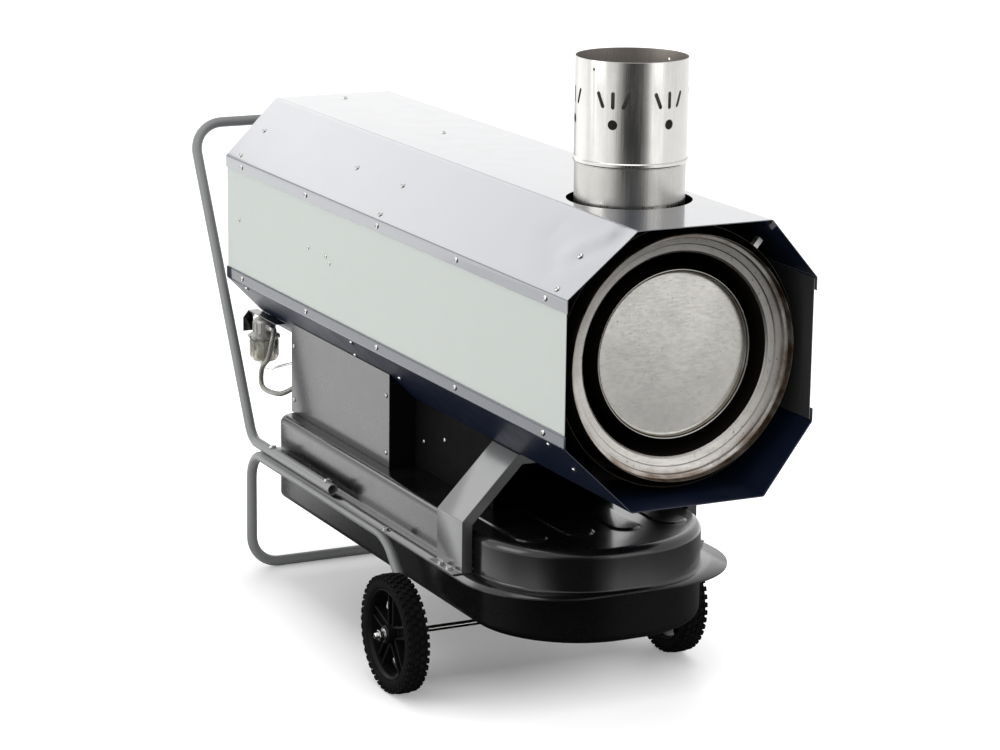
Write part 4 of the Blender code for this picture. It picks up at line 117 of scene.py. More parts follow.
class Graph:
    """Adds nodes to a tree from left to right and links their sockets by name."""

    def __init__(self, tree: Tree) -> None:
        """Start on an empty tree.

        Args:
            tree: the shader or geometry tree to fill.
        """
        self.tree = tree
        self.tree.nodes.clear()
        self.column = 0

    def add(self, kind: str, inputs: Optional[dict] = None, **settings: object) -> bpy.types.Node:
        """Add one node.

        Args:
            kind: Blender's name of the node type.
            inputs: value or output socket for each input, by name or index.
            settings: properties of the node itself.

        Returns:
            The new node.
        """
        node = self.tree.nodes.new(kind)
        node.location = (self.column * COLUMN_WIDTH, 0.0)
        self.column += 1
        for key, value in settings.items():
            setattr(node, key, value)
        for key, value in (inputs or {}).items():
            self.feed(node.inputs[key], value)
        return node

    def feed(self, socket: Socket, value: object) -> None:
        """Link an output to a socket, or set the socket's own value; colours get full opacity.

        Args:
            socket: the input.
            value: an output, or the value.
        """
        if isinstance(value, Socket):
            self.tree.links.new(value, socket)
        elif socket.type == "RGBA" and len(value) == 3:
            socket.default_value = (*value, 1.0)
        else:
            socket.default_value = value

    def math(self, operation: str, *values: object) -> Socket:
        """Output of a Math node on the given values."""
        return self.add("ShaderNodeMath", dict(enumerate(values)), operation=operation).outputs[0]

    def vector(self, operation: str, *values: object) -> Socket:
        """Vector output of a Vector Math node on the given values."""
        return self.add("ShaderNodeVectorMath", dict(enumerate(values)), operation=operation).outputs[0]

    def measure(self, operation: str, *values: object) -> Socket:
        """Number output of a Vector Math node on the given values."""
        return self.add("ShaderNodeVectorMath", dict(enumerate(values)), operation=operation).outputs["Value"]

    def product(self, *values: object) -> Socket:
        """Product of all the given values."""
        return reduce(lambda made, value: self.math("MULTIPLY", made, value), values)

    def combined(self, *values: object) -> Socket:
        """Vector of up to three numbers, with zero for those that are left out."""
        return self.add("ShaderNodeCombineXYZ", dict(enumerate(values))).outputs[0]

    def place(self, output: str = "Object") -> Socket:
        """Point of the surface, in the piece's own coordinates unless another output is named."""
        return self.add("ShaderNodeTexCoord").outputs[output]

    def noise(self, scale: object, detail: float, vector: object = None, rough: float = 0.5) -> Socket:
        """Value of a noise texture on the object's own coordinates, or on a vector.

        Args:
            scale: scale of the noise.
            detail: number of finer layers.
            vector: the vector, if any.
            rough: share of each finer layer.

        Returns:
            The value's output.
        """
        source = vector or self.place()
        wanted = {"Vector": source, "Scale": scale, "Detail": detail, "Roughness": rough}
        return self.add("ShaderNodeTexNoise", wanted).outputs[0]

    def span(self, value: object, low: object, high: object, out_low: object = 0.0,
             out_high: object = 1.0) -> Socket:
        """Value mapped from one range to another and held inside it."""
        wanted = {"Value": value, "From Min": low, "From Max": high, "To Min": out_low, "To Max": out_high}
        return self.add("ShaderNodeMapRange", wanted).outputs[0]

    def mix(self, factor: object, first: object, second: object) -> Socket:
        """Colour between two colours."""
        return self.add("ShaderNodeMix", {0: factor, 6: first, 7: second}, data_type="RGBA").outputs[2]


def shader_group(name: str, inputs: dict, outputs: dict) -> Callable:
    """Turn a function that fills a graph into one that returns the group, built once and shared.

    Args:
        name: the group's name.
        inputs: socket name to default, whose type gives the socket's kind.
        outputs: socket name to kind.

    Returns:
        The decorator of a function that takes the graph, its inputs and the output node's inputs.
    """

    def decorate(fill: Callable) -> Callable:
        """Keep the function for the group's first use."""

        def shared() -> Tree:
            """Find the group, or build it."""
            known = bpy.data.node_groups.get(name)
            if known:
                return known
            tree = bpy.data.node_groups.new(name, "ShaderNodeTree")
            for label, default in inputs.items():
                kind = {float: "Float", tuple: "Color" if default is GREY else "Vector"}[type(default)]
                socket = tree.interface.new_socket(label, in_out="INPUT", socket_type="NodeSocket" + kind)
                socket.default_value = default
            for label, kind in outputs.items():
                tree.interface.new_socket(label, in_out="OUTPUT", socket_type="NodeSocket" + kind)
            graph = Graph(tree)
            entry, leave = graph.add("NodeGroupInput"), graph.add("NodeGroupOutput")
            fill(graph, entry.outputs, leave.inputs)
            return tree

        return shared

    return decorate


@shader_group("edge wear", {"Paint": GREY, "Bare": GREY, "Width": 0.001, "Amount": 0.5, "Scale": 60.0},
              {"Color": "Color", "Mask": "Float"})
def edge_wear_and_glint_group(graph: Graph, given: object, out: object) -> None:
    """Bare material that shows through along edges, broken up by noise; on the black paint the pale edges
    also stand for a painted edge highlight.
    """
    rounded = graph.add("ShaderNodeBevel", {"Radius": given["Width"]}, samples=4).outputs[0]
    true = graph.add("ShaderNodeNewGeometry").outputs["Normal"]
    dot = graph.measure("DOT_PRODUCT", rounded, true)
    edge = graph.span(graph.math("SUBTRACT", 1.0, dot), 0.02, 0.25)
    broken = graph.span(graph.noise(given["Scale"], 6.0), 0.42, 0.62)
    mask = graph.product(edge, broken, given["Amount"])
    graph.feed(out["Mask"], mask)
    graph.feed(out["Color"], graph.mix(mask, given["Paint"], given["Bare"]))


@shader_group("grain", {"Scale": 300.0, "Low": 0.3, "High": 0.5}, {"Value": "Float", "Height": "Float"})
def grain_group(graph: Graph, given: object, out: object) -> None:
    """Fine and coarse unevenness as a value between two limits, and as a height."""
    fine = graph.noise(given["Scale"], 5.0)
    coarse = graph.noise(graph.product(given["Scale"], 0.07), 3.0)
    both = graph.math("ADD", graph.product(fine, 0.5), graph.product(coarse, 0.5))
    graph.feed(out["Value"], graph.span(both, 0.3, 0.7, given["Low"], given["High"]))
    graph.feed(out["Height"], fine)


@shader_group("dust", {"Surface": GREY, "Dust": GREY, "Amount": 0.2, "Scale": 9.0},
              {"Color": "Color", "Mask": "Float"})
def dust_group(graph: Graph, given: object, out: object) -> None:
    """Thin dust on faces that look up, and faint blotches everywhere."""
    normal = graph.add("ShaderNodeNewGeometry").outputs["Normal"]
    up = graph.add("ShaderNodeSeparateXYZ", {0: normal}).outputs["Z"]
    lie = graph.span(up, 0.2, 1.0, 0.25, 1.0)
    spots = graph.span(graph.noise(given["Scale"], 8.0, rough=0.65), 0.45, 0.75)
    mask = graph.product(lie, spots, given["Amount"])
    graph.feed(out["Mask"], mask)
    graph.feed(out["Color"], graph.mix(mask, given["Surface"], given["Dust"]))


@shader_group("brushed streaks", {"Stretch": (1.0, 1.0, 0.02), "Scale": 400.0, "Low": 0.2, "High": 0.4},
              {"Value": "Float", "Height": "Float"})
def brushed_group(graph: Graph, given: object, out: object) -> None:
    """Fine streaks along one direction of the metal."""
    drawn = graph.vector("MULTIPLY", graph.place(), given["Stretch"])
    streaks = graph.noise(given["Scale"], 3.0, drawn)
    graph.feed(out["Value"], graph.span(streaks, 0.3, 0.7, given["Low"], given["High"]))
    graph.feed(out["Height"], streaks)


@shader_group("heat tint", {
    "Steel": GREY, "Stain": GREY, "Tint": GREY, "Burnt": GREY, "Radius": 0.2, "Width": 0.02, "Amount": 0.5,
    "Soot": 0.3, "Rim": 9.0,
}, {"Color": "Color", "Mask": "Float"})
def heat_tint_group(graph: Graph, given: object, out: object) -> None:
    """Straw to brown tint on steel between two radii of the heater's axis, with soot spots; past the rim
    radius a darker colour in patches, partly heat stain and partly painted shade on the rim's wall.
    """
    flat = graph.vector("MULTIPLY", graph.place(), (1.0, 0.0, 1.0))
    radius = graph.measure("DISTANCE", flat, (0.0, 0.0, AXIS_HEIGHT))
    near = graph.math("ABSOLUTE", graph.math("SUBTRACT", radius, given["Radius"]))
    band = graph.span(near, given["Width"], 0.0)
    blotches = graph.span(graph.noise(14.0, 5.0, rough=0.6), 0.40, 0.68)
    mask = graph.product(band, blotches, given["Amount"])
    stained = graph.span(graph.noise(12.0, 6.0, rough=0.75), 0.38, 0.66)
    plain = graph.mix(stained, given["Steel"], given["Stain"])
    tinted = graph.mix(mask, plain, given["Tint"])
    patches = graph.span(graph.noise(19.0, 2.0), 0.40, 0.62, 0.55, 1.0)
    # Past the rim radius: darker patches, partly heat stain and partly painted shade on the rim's inner wall.
    past = graph.span(radius, given["Rim"], graph.math("ADD", given["Rim"], 0.0015))
    wall = graph.product(past, patches)
    tinted = graph.mix(wall, tinted, given["Burnt"])
    spots = graph.span(graph.noise(170.0, 4.0, rough=0.7), 0.60, 0.68)
    clouds = graph.span(graph.noise(16.0, 4.0), 0.38, 0.60)
    soot = graph.product(spots, clouds, given["Soot"])
    graph.feed(out["Color"], graph.mix(soot, tinted, (0.05, 0.04, 0.03, 1.0)))
    graph.feed(out["Mask"], graph.math("MAXIMUM", graph.math("MAXIMUM", mask, wall), soot))


@shader_group("braid", {"Gap": GREY, "Wire": GREY, "Strands": 8.0, "Pitch": 180.0},
              {"Color": "Color", "Height": "Float"})
def braid_group(graph: Graph, given: object, out: object) -> None:
    """Crossing strands of a wire braid, on the hose's own UV map."""
    parts = graph.add("ShaderNodeSeparateXYZ", {0: graph.place("UV")}).outputs
    around = graph.product(parts["X"], given["Strands"])
    along = graph.product(parts["Y"], given["Pitch"])
    waves = [graph.math("SINE", graph.product(graph.math(lay, around, along), math.tau))
             for lay in ("ADD", "SUBTRACT")]
    height = graph.span(graph.math("MAXIMUM", *waves), -0.6, 1.0)
    graph.feed(out["Height"], height)
    graph.feed(out["Color"], graph.mix(height, given["Gap"], given["Wire"]))


class Surface:
    """One material under construction: a Principled shader and what feeds it."""

    def __init__(self, name: str) -> None:
        """Make the material and its shader.

        Args:
            name: the finish's name; the frame's own materials bear it without the ending.
        """
        self.material = bpy.data.materials.new(name + LOOK)
        self.material.use_nodes = True
        self.graph = Graph(self.material.node_tree)
        self.shader = self.graph.add("ShaderNodeBsdfPrincipled")
        out = self.graph.add("ShaderNodeOutputMaterial")
        self.graph.feed(out.inputs["Surface"], self.shader.outputs[0])

    def group(self, tree: Tree, **inputs: object) -> bpy.types.NodeOutputs:
        """Place a shared group and return its outputs.

        Args:
            tree: the group.
            inputs: what feeds it; an underscore in a name stands for a space.

        Returns:
            The outputs.
        """
        node = self.graph.add("ShaderNodeGroup", node_tree=tree)
        for key, value in inputs.items():
            self.graph.feed(node.inputs[key.replace("_", " ")], value)
        return node.outputs

    def set(self, **values: object) -> None:
        """Set or feed the shader's sockets; an underscore in a name stands for a space."""
        for key, value in values.items():
            self.graph.feed(self.shader.inputs[key.replace("_", " ")], value)

    def bump(self, height: Socket, depth: float) -> None:
        """Let a height bend the shader's normal."""
        node = self.graph.add("ShaderNodeBump", {"Strength": 1.0, "Distance": depth, "Height": height})
        self.set(Normal=node.outputs[0])


@dataclass(frozen=True)
class PaintFinish:
    """Paint on sheet or tube: orange peel, worn edges, a little dust; on black paint the worn edges are
    partly a painted highlight.
    """

    name: str
    colour: Colour
    roughness: Point = (0.22, 0.34)
    coat: float = 0.0
    coat_ior: float = 1.5
    coat_roughness: float = 0.08
    specular: float = 0.5
    metallic: float = 0.0
    peel_scale: float = 260.0
    peel_depth: float = 0.00004
    sag_depth: float = 0.0
    bare: Colour = (0.42, 0.41, 0.40)
    wear: float = 0.5
    wear_width: float = 0.0012
    dust: float = 0.10
    dust_colour: Colour = (0.45, 0.43, 0.40)

    def material(self) -> Paint:
        """Build the paint's material."""
        made = Surface(self.name)
        dusty = made.group(dust_group(), Surface=self.colour, Dust=self.dust_colour,
                           Amount=self.dust)
        worn = made.group(edge_wear_and_glint_group(), Paint=dusty["Color"], Bare=self.bare,
                          Width=self.wear_width, Amount=self.wear)
        low, high = self.roughness
        grain = made.group(grain_group(), Scale=self.peel_scale, Low=low, High=high)
        rough = made.graph.math("ADD", grain["Value"], made.graph.product(dusty["Mask"], 0.3))
        height = grain["Height"]
        if self.sag_depth:
            slow = made.graph.product(made.graph.noise(2.6, 1.0), self.sag_depth / self.peel_depth)
            height = made.graph.math("ADD", height, slow)
        made.set(Base_Color=worn["Color"], Roughness=rough, Metallic=self.metallic, Coat_Weight=self.coat,
                 Coat_Roughness=self.coat_roughness, Coat_IOR=self.coat_ior, Specular_IOR_Level=self.specular)
        made.bump(height, self.peel_depth)
        return made.material


@dataclass(frozen=True)
class SteelFinish:
    """Bare or plated metal with streaks, tint and soot."""

    name: str
    colour: Colour
    roughness: Point = (0.22, 0.36)
    stretch: Triple = (1.0, 1.0, 0.03)
    scale: float = 500.0
    depth: float = 0.00002
    tint: Colour = (0.26, 0.16, 0.08)
    tint_radius: float = 0.0
    tint_width: float = 0.02
    tint_amount: float = 0.0
    soot: float = 0.15
    metallic: float = 1.0
    stain: float = 0.93
    # Colour past the rim radius: heat stain and painted shade on the rim's wall.
    burnt: Colour = (0.075, 0.05, 0.03)
    rim: float = 9.0
    blur: float = 0.10

    def material(self) -> Paint:
        """Build the metal's material."""
        made = Surface(self.name)
        stained = tuple(part * self.stain for part in self.colour)
        tint = made.group(heat_tint_group(), Steel=self.colour, Stain=stained,
                          Tint=self.tint, Burnt=self.burnt, Radius=self.tint_radius,
                          Width=self.tint_width, Amount=self.tint_amount, Soot=self.soot, Rim=self.rim)
        streaks = made.group(brushed_group(), Stretch=self.stretch, Scale=self.scale, Low=self.roughness[0],
                             High=self.roughness[1])
        smear = made.graph.span(made.graph.noise(9.0, 4.0), 0.35, 0.7, 0.0, self.blur)
        rough = made.graph.math("ADD", streaks["Value"], smear)
        rough = made.graph.math("ADD", rough, made.graph.product(tint["Mask"], 0.25))
        made.set(Base_Color=tint["Color"], Roughness=rough, Metallic=self.metallic)
        made.bump(streaks["Height"], self.depth)
        return made.material


@dataclass(frozen=True)
class MouldedFinish:
    """Plastic, rubber, paper or cast metal: a grained surface with pale edges and dust."""

    name: str
    colour: Colour
    roughness: Point = (0.40, 0.55)
    metallic: float = 0.0
    scale: float = 700.0
    depth: float = 0.00005
    rubbed: Colour = (0.10, 0.10, 0.10)
    wear: float = 0.35
    dust: float = 0.15
    coat: float = 0.0
    specular: float = 0.5

    def material(self) -> Paint:
        """Build the moulded material."""
        made = Surface(self.name)
        dusty = made.group(dust_group(), Surface=self.colour, Dust=(0.30, 0.29, 0.27, 1.0),
                           Amount=self.dust, Scale=22.0)
        worn = made.group(edge_wear_and_glint_group(), Paint=dusty["Color"], Bare=self.rubbed, Width=0.001,
                          Amount=self.wear, Scale=90.0)
        grain = made.group(grain_group(), Scale=self.scale, Low=self.roughness[0], High=self.roughness[1])
        made.set(Base_Color=worn["Color"], Roughness=grain["Value"], Metallic=self.metallic,
                 Coat_Weight=self.coat, Specular_IOR_Level=self.specular)
        made.bump(grain["Height"], self.depth)
        return made.material


@dataclass(frozen=True)
class BraidFinish:
    """Wire braid over a hose, on its UV map."""

    name: str
    wire: Colour
    gap: Colour
    strands: float = 6.0
    pitch: float = 150.0
    depth: float = 0.0004

    def material(self) -> Paint:
        """Build the braid's material."""
        made = Surface(self.name)
        braid = made.group(braid_group(), Wire=self.wire, Gap=self.gap,
                           Strands=self.strands, Pitch=self.pitch)
        grain = made.group(grain_group(), Scale=500.0, Low=0.35, High=0.55)
        made.set(Base_Color=braid["Color"], Roughness=grain["Value"], Metallic=0.6)
        made.bump(braid["Height"], self.depth)
        return made.material


@dataclass(frozen=True)
class ClearFinish:
    """Clear moulded plastic that has yellowed a little."""

    name: str
    colour: Colour
    transmission: float = 0.75

    def material(self) -> Paint:
        """Build the clear material."""
        made = Surface(self.name)
        dusty = made.group(dust_group(), Surface=self.colour, Dust=(0.55, 0.53, 0.47, 1.0),
                           Amount=0.3, Scale=30.0)
        grain = made.group(grain_group(), Scale=260.0, Low=0.06, High=0.20)
        made.set(Base_Color=dusty["Color"], Roughness=grain["Value"], Transmission_Weight=self.transmission,
                 IOR=1.49)
        made.bump(grain["Height"], 0.00003)
        return made.material


NAVY = PaintFinish("navy_paint", (0.011, 0.020, 0.047), (0.14, 0.22), 1.0, 1.75, 0.07, 0.8,
                   sag_depth=0.0008, dust=0.06, wear=0.35)
# Darker, less glossy copies of the navy paint for the lower cover and for its downward faces: painted shade.
NAVY_SHADED_LOW = PaintFinish("navy_low", (0.009, 0.015, 0.038), (0.20, 0.30), 0.6, 1.6, 0.12, 0.4,
                       peel_depth=0.00002, sag_depth=0.0008, dust=0.04, wear=0.35)
NAVY_SHADED_UNDER = PaintFinish("navy_under", (0.008, 0.013, 0.033), (0.34, 0.48), 0.12, 1.5, 0.25, 0.12,
                         peel_depth=0.00002, dust=0.02, wear=0.35)
PANEL = PaintFinish("panel_grey", (0.57, 0.605, 0.575), (0.48, 0.62), specular=0.12, sag_depth=0.0006,
                    dust=0.06, wear=0.25)
# Dark grey on the side panels' inner faces: painted shade of the casing's dark inside.
PANEL_INSIDE_SHADE = PaintFinish("dark_primer", (0.055, 0.056, 0.058), (0.45, 0.60), specular=0.3, dust=0.10, wear=0.2)
# Its pale edges (bare, wear) are partly real wear and partly a painted highlight along the tank's flange and
# edges.
BLACK = PaintFinish("black_paint", (0.0036, 0.0036, 0.004), (0.24, 0.36), 0.9, 1.52, 0.16, 0.15,
                    peel_scale=420.0, peel_depth=0.00002, dust=0.012, bare=(0.32, 0.32, 0.32), wear=0.6)
# Near-black finish that barely reflects, on the channel and the equipment box: painted shade of the recess
# under the casing.
RECESS_SHADE_BLACK = PaintFinish("matte_black", (0.004, 0.004, 0.0045), (0.60, 0.75), specular=0.04, peel_scale=420.0,
                    dust=0.008, bare=(0.10, 0.10, 0.10), wear=0.3)
# Near-black, barely reflective lining of the deep passage round the chamber: soot, and painted shade of the
# deep gap.
SOOT_AND_SHADE = PaintFinish("soot", (0.012, 0.009, 0.007), (0.70, 0.85), specular=0.06, dust=0.0, wear=0.0)
TUBE = PaintFinish("tube_grey", (0.235, 0.240, 0.242), (0.30, 0.44), 0.10, metallic=0.05, specular=0.3,
                   peel_scale=500.0, dust=0.04)
BRACKET = PaintFinish("bracket_grey", (0.066, 0.068, 0.070), (0.26, 0.38), 1.0, 1.65, 0.16, 0.4, 0.25,
                      peel_scale=420.0, dust=0.04)
STAINLESS = SteelFinish("stainless", (0.60, 0.58, 0.55), (0.24, 0.38), (0.03, 1.0, 1.0), 420.0, soot=0.45)
FLUE_STEEL = SteelFinish("flue_steel", (0.585, 0.575, 0.555), (0.16, 0.26), scale=520.0, soot=0.10, blur=0.05)
FLUE_LOW = SteelFinish("flue_low", (0.46, 0.45, 0.43), (0.20, 0.32), scale=520.0, soot=0.15)
FLUE_INSIDE = SteelFinish("flue_inside", (0.30, 0.275, 0.25), (0.40, 0.60), scale=520.0, soot=0.5)
# Ring: past its rim radius the rim's inner wall turns dark brown, heat stain and painted shade.
RING_STEEL = SteelFinish("ring_steel", (0.56, 0.54, 0.51), (0.28, 0.42), (0.25, 1.0, 1.0), 300.0, 0.00003,
                         (0.16, 0.08, 0.035), 0.217, 0.012, 0.8, 0.8, stain=0.80, rim=0.2190)
# Disc: the olive band past its rim radius is painted shade along the disc's rim.
DISC_STEEL = SteelFinish("disc_steel", (0.575, 0.56, 0.53), (0.32, 0.46), (0.25, 1.0, 1.0), 300.0, 0.00003,
                         (0.20, 0.15, 0.08), 0.156, 0.016, 0.8, 0.32, stain=0.86, burnt=(0.15, 0.125, 0.075),
                         rim=0.1472, blur=0.07)
CHAMBER_STEEL = SteelFinish("chamber_steel", (0.17, 0.145, 0.095), (0.36, 0.52), soot=0.7, stain=0.5)
DARK_STEEL = SteelFinish("dark_steel", (0.045, 0.036, 0.029), (0.50, 0.70), soot=0.5, metallic=0.5, stain=0.6)
ZINC = SteelFinish("zinc", (0.66, 0.66, 0.64), (0.14, 0.24), (1.0, 1.0, 1.0), 900.0, soot=0.1)
BRASS = SteelFinish("brass", (0.60, 0.44, 0.18), (0.26, 0.40), (1.0, 1.0, 1.0), 900.0)
RUBBER = MouldedFinish("rubber", (0.008, 0.008, 0.008), (0.66, 0.84), scale=520.0, depth=0.00012,
                       rubbed=(0.02, 0.02, 0.019), wear=0.5, dust=0.03, specular=0.04)
BLACK_PLASTIC = MouldedFinish("black_plastic", (0.005, 0.005, 0.0055), (0.38, 0.52),
                              rubbed=(0.04, 0.04, 0.04), dust=0.02, specular=0.12)
CAST = MouldedFinish("cast_grey", (0.40, 0.395, 0.375), (0.40, 0.58), 0.7, 420.0, 0.0001,
                     (0.6, 0.6, 0.58), 0.4)
PAPER = MouldedFinish("filter_paper", (0.60, 0.53, 0.36), (0.80, 0.95), scale=900.0, wear=0.0, dust=0.0)
RED = MouldedFinish("red_plastic", (0.55, 0.03, 0.02), (0.22, 0.32), wear=0.0, dust=0.05, coat=0.3)
GREEN = MouldedFinish("green_lens", (0.05, 0.42, 0.09), (0.08, 0.16), wear=0.0, dust=0.05, coat=0.6)
HOSE = BraidFinish("hose_braid", (0.45, 0.44, 0.41), (0.06, 0.055, 0.05))
BOWL = ClearFinish("clear_bowl", (0.86, 0.85, 0.76))
BY_SLOT = {
    "navy_paint": NAVY, "panel_grey": PANEL, "black_paint": BLACK, "tube_grey": TUBE, "bracket_grey": BRACKET,
    "stainless": STAINLESS, "dark_steel": DARK_STEEL, "zinc": ZINC, "brass": BRASS, "rubber": RUBBER,
    "black_plastic": BLACK_PLASTIC, "cast_grey": CAST, "filter_paper": PAPER, "red_plastic": RED,
    "green_lens": GREEN, "hose_braid": HOSE, "clear_bowl": BOWL,
}


def material_of(finish: object) -> Paint:
    """The finish's material, built on its first use."""
    return bpy.data.materials.get(finish.name + LOOK) or finish.material()


def settle(item: Piece) -> Piece:
    """Apply all modifiers by taking the evaluated mesh, and drop them.

    Args:
        item: the object with its modifiers.

    Returns:
        The same object on its new mesh.
    """
    bpy.context.view_layer.update()
    solved = item.evaluated_get(bpy.context.evaluated_depsgraph_get())
    mesh = bpy.data.meshes.new_from_object(solved)
    mesh.name = item.name
    item.modifiers.clear()
    item.data = mesh
    return item


def linked(name: str, data: bpy.types.ID) -> Piece:
    """New object on its data, linked to the scene.

    Args:
        name: the object's name.
        data: its mesh, lamp or camera.

    Returns:
        The object.
    """
    item = bpy.data.objects.new(name, data)
    bpy.context.scene.collection.objects.link(item)
    return item


def smooth_object(name: str, shape: Shape, angle: float = SHARP_ANGLE) -> Piece:
    """Turn a bmesh as it is into a smooth object whose sharp edges stay sharp.

    Args:
        name: the object's name.
        shape: the shape, which is freed.
        angle: edges above this angle stay sharp.

    Returns:
        The object, linked to the scene.
    """
    mesh = bpy.data.meshes.new(name)
    shape.to_mesh(mesh)
    shape.free()
    mesh.shade_smooth()
    mesh.set_sharp_from_angle(angle=angle)
    return linked(name, mesh)


def new_object(name: str, shape: Shape, angle: float = SHARP_ANGLE) -> Piece:
    """Close a bmesh, turn its faces outwards and make it a smooth object.

    Args:
        name: the object's name.
        shape: the shape, which is freed.
        angle: edges above this angle stay sharp.

    Returns:
        The object, linked to the scene.
    """
    bmesh.ops.remove_doubles(shape, verts=shape.verts, dist=MERGE)
    bmesh.ops.recalc_face_normals(shape, faces=shape.faces)
    return smooth_object(name, shape, angle)


def dress(item: Piece, finish: object, *nodes: str, body: str = HEATER, slot: str = "") -> Piece:
    """Give a finished piece its material and body, and hide the CAD nodes that it stands for.

    Args:
        item: the piece, placed in the row's frame.
        finish: the finish it is made in.
        nodes: CAD nodes that it stands for.
        body: the CAD body that it rides on.
        slot: not used.

    Returns:
        The piece.
    """
    item.data.materials.clear()
    item.data.materials.append(material_of(finish))
    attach(item, body)
    if nodes:
        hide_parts(*nodes)
    LOG.info("%s: %d faces on %s", item.name, len(item.data.polygons), body)
    return item


def dress_node(node: str, edge: float, finish: object, segments: int = 2, body: str = HEATER) -> Piece:
    """Dress a copy of a CAD node with its edges rounded."""
    return dress(refined(node, edge, segments), finish, node, body=body)


def line_faces(item: Piece, finish: object, chosen: Callable[[Vector, Vector], bool]) -> None:
    """Give a further finish to the faces of a dressed piece that a test picks.

    Args:
        item: the dressed piece.
        finish: the further finish.
        chosen: test on a face's middle and normal.
    """
    item.data.materials.append(material_of(finish))
    index = len(item.data.materials) - 1
    for face in item.data.polygons:
        if chosen(face.center, face.normal):
            face.material_index = index


def bevelled(item: Piece, width: float, segments: int = 2) -> Piece:
    """Round an object's edges and apply the result.

    Args:
        item: the object.
        width: radius of the edges.
        segments: straight steps in a rounded edge.

    Returns:
        The same object.
    """
    step = item.modifiers.new("edges", "BEVEL")
    step.width = width
    step.segments = segments
    step.limit_method = "ANGLE"
    step.angle_limit = BEVEL_ANGLE
    step.harden_normals = True
    return settle(item)


def sheeted(item: Piece, sheet: float) -> Piece:
    """Give an open surface its thickness inwards and apply it.

    Args:
        item: the object.
        sheet: the thickness.

    Returns:
        The same object.
    """
    step = item.modifiers.new("sheet", "SOLIDIFY")
    step.thickness = sheet
    step.offset = -1.0
    step.use_even_offset = True
    step.use_quality_normals = True
    return settle(item)


def carved(item: Piece, tool: Piece) -> Piece:
    """Cut an object with a tool, which is removed.

    Args:
        item: the object.
        tool: what is cut out of it.

    Returns:
        The same object.
    """
    step = item.modifiers.new("carve", "BOOLEAN")
    step.solver = "EXACT"
    step.object = tool
    settle(item)
    bpy.data.objects.remove(tool)
    item.data.shade_smooth()
    item.data.set_sharp_from_angle(angle=SHARP_ANGLE)
    return item


def refined(node: str, width: float, segments: int = 2) -> Piece:
    """Copy of a CAD node with merged faces, rounded edges and smooth round sides.

    Args:
        node: the node's name.
        width: radius of the edges.
        segments: straight steps in a rounded edge.

    Returns:
        The copy, linked to the scene.
    """
    shape = bmesh.new()
    shape.from_mesh(frame["nodes"][node].data)
    bmesh.ops.remove_doubles(shape, verts=shape.verts, dist=MERGE)
    bmesh.ops.dissolve_limit(shape, angle_limit=FLAT_ANGLE, verts=shape.verts, edges=shape.edges)
    return bevelled(smooth_object(node + "_skin", shape), width, segments)


def fillet(points: Line, radius: float, steps: int = 4, closed: bool = False) -> Line:
    """Round the corners of a plane line.

    Args:
        points: the line's corners.
        radius: the radius wanted, made smaller where the sides are short.
        steps: straight steps in each rounded corner.
        closed: whether the last point joins the first.

    Returns:
        The rounded line's points.
    """
    count = len(points)
    rounded: Line = []
    for index, corner in enumerate(points):
        here = Vector(corner)
        if not closed and index in (0, count - 1):
            rounded.append((here.x, here.y))
            continue
        before = Vector(points[index - 1]) - here
        after = Vector(points[(index + 1) % count]) - here
        half = before.angle(after, math.pi) / 2
        if half > math.radians(89) or not radius:
            rounded.append((here.x, here.y))
            continue
        run = min(radius / math.tan(half), before.length * 0.49, after.length * 0.49)
        start = here + before.normalized() * run
        end = here + after.normalized() * run
        for step in range(steps + 1):
            t = step / steps
            spot = start * (1 - t) ** 2 + here * 2 * t * (1 - t) + end * t * t
            rounded.append((spot.x, spot.y))
    return rounded


def lathe(profile: Line, steps: int = 96, closed: bool = False) -> Shape:
    """Turn a line of (radius, height) points about Z.

    Args:
        profile: the line; a point at radius zero becomes a pole.
        steps: straight steps in a full turn.
        closed: whether the line is closed.

    Returns:
        The turned surface.
    """
    shape = bmesh.new()
    rings = []
    for radius, height in profile:
        if radius < MERGE:
            rings.append([shape.verts.new((0.0, 0.0, height))])
            continue
        turns = [math.tau * step / steps for step in range(steps)]
        rings.append([shape.verts.new((radius * math.cos(t), radius * math.sin(t), height)) for t in turns])
    pairs = list(zip(rings, rings[1:]))
    if closed:
        pairs.append((rings[-1], rings[0]))
    for low, high in pairs:
        for step in range(steps):
            after = (step + 1) % steps
            ends = ((low, step), (low, after), (high, after), (high, step))
            corners = [ring[at % len(ring)] for ring, at in ends]
            unique = list(dict.fromkeys(corners))
            if len(unique) > 2:
                shape.faces.new(unique)
    return shape


def turned(name: str, profile: Line, axis: Axis, centre: Triple, steps: int = 96,
           closed: bool = False, sheet: float = 0.0, edge: float = 0.0) -> Piece:
    """Turned piece about a world axis through a point.

    Args:
        name: the object's name.
        profile: (radius, height) points along the axis.
        axis: the world axis.
        centre: the point where the height is zero.
        steps: straight steps in a full turn.
        closed: whether the profile is closed.
        sheet: wall thickness for an open profile.
        edge: radius on the profile's corners.

    Returns:
        The object, with its place in its mesh.
    """
    line = fillet(profile, edge, 4, closed) if edge else list(profile)
    shape = lathe(line, steps, closed)
    bmesh.ops.transform(shape, matrix=Matrix.Translation(Vector(centre)) @ axis.value, verts=shape.verts)
    item = new_object(name, shape)
    return sheeted(item, sheet) if sheet else item


def arc(centre: Point, radius: float, start: float, end: float, steps: int) -> Line:
    """Points on an arc, both ends included."""
    turns = [start + (end - start) * step / steps for step in range(steps + 1)]
    return [(centre[0] + radius * math.cos(t), centre[1] + radius * math.sin(t)) for t in turns]


def pipe(outer: float, inner: float, start: float, end: float) -> Line:
    """Section of a plain pipe, as (radius, height) points."""
    return [(outer, end), (outer, start), (inner, start), (inner, end)]


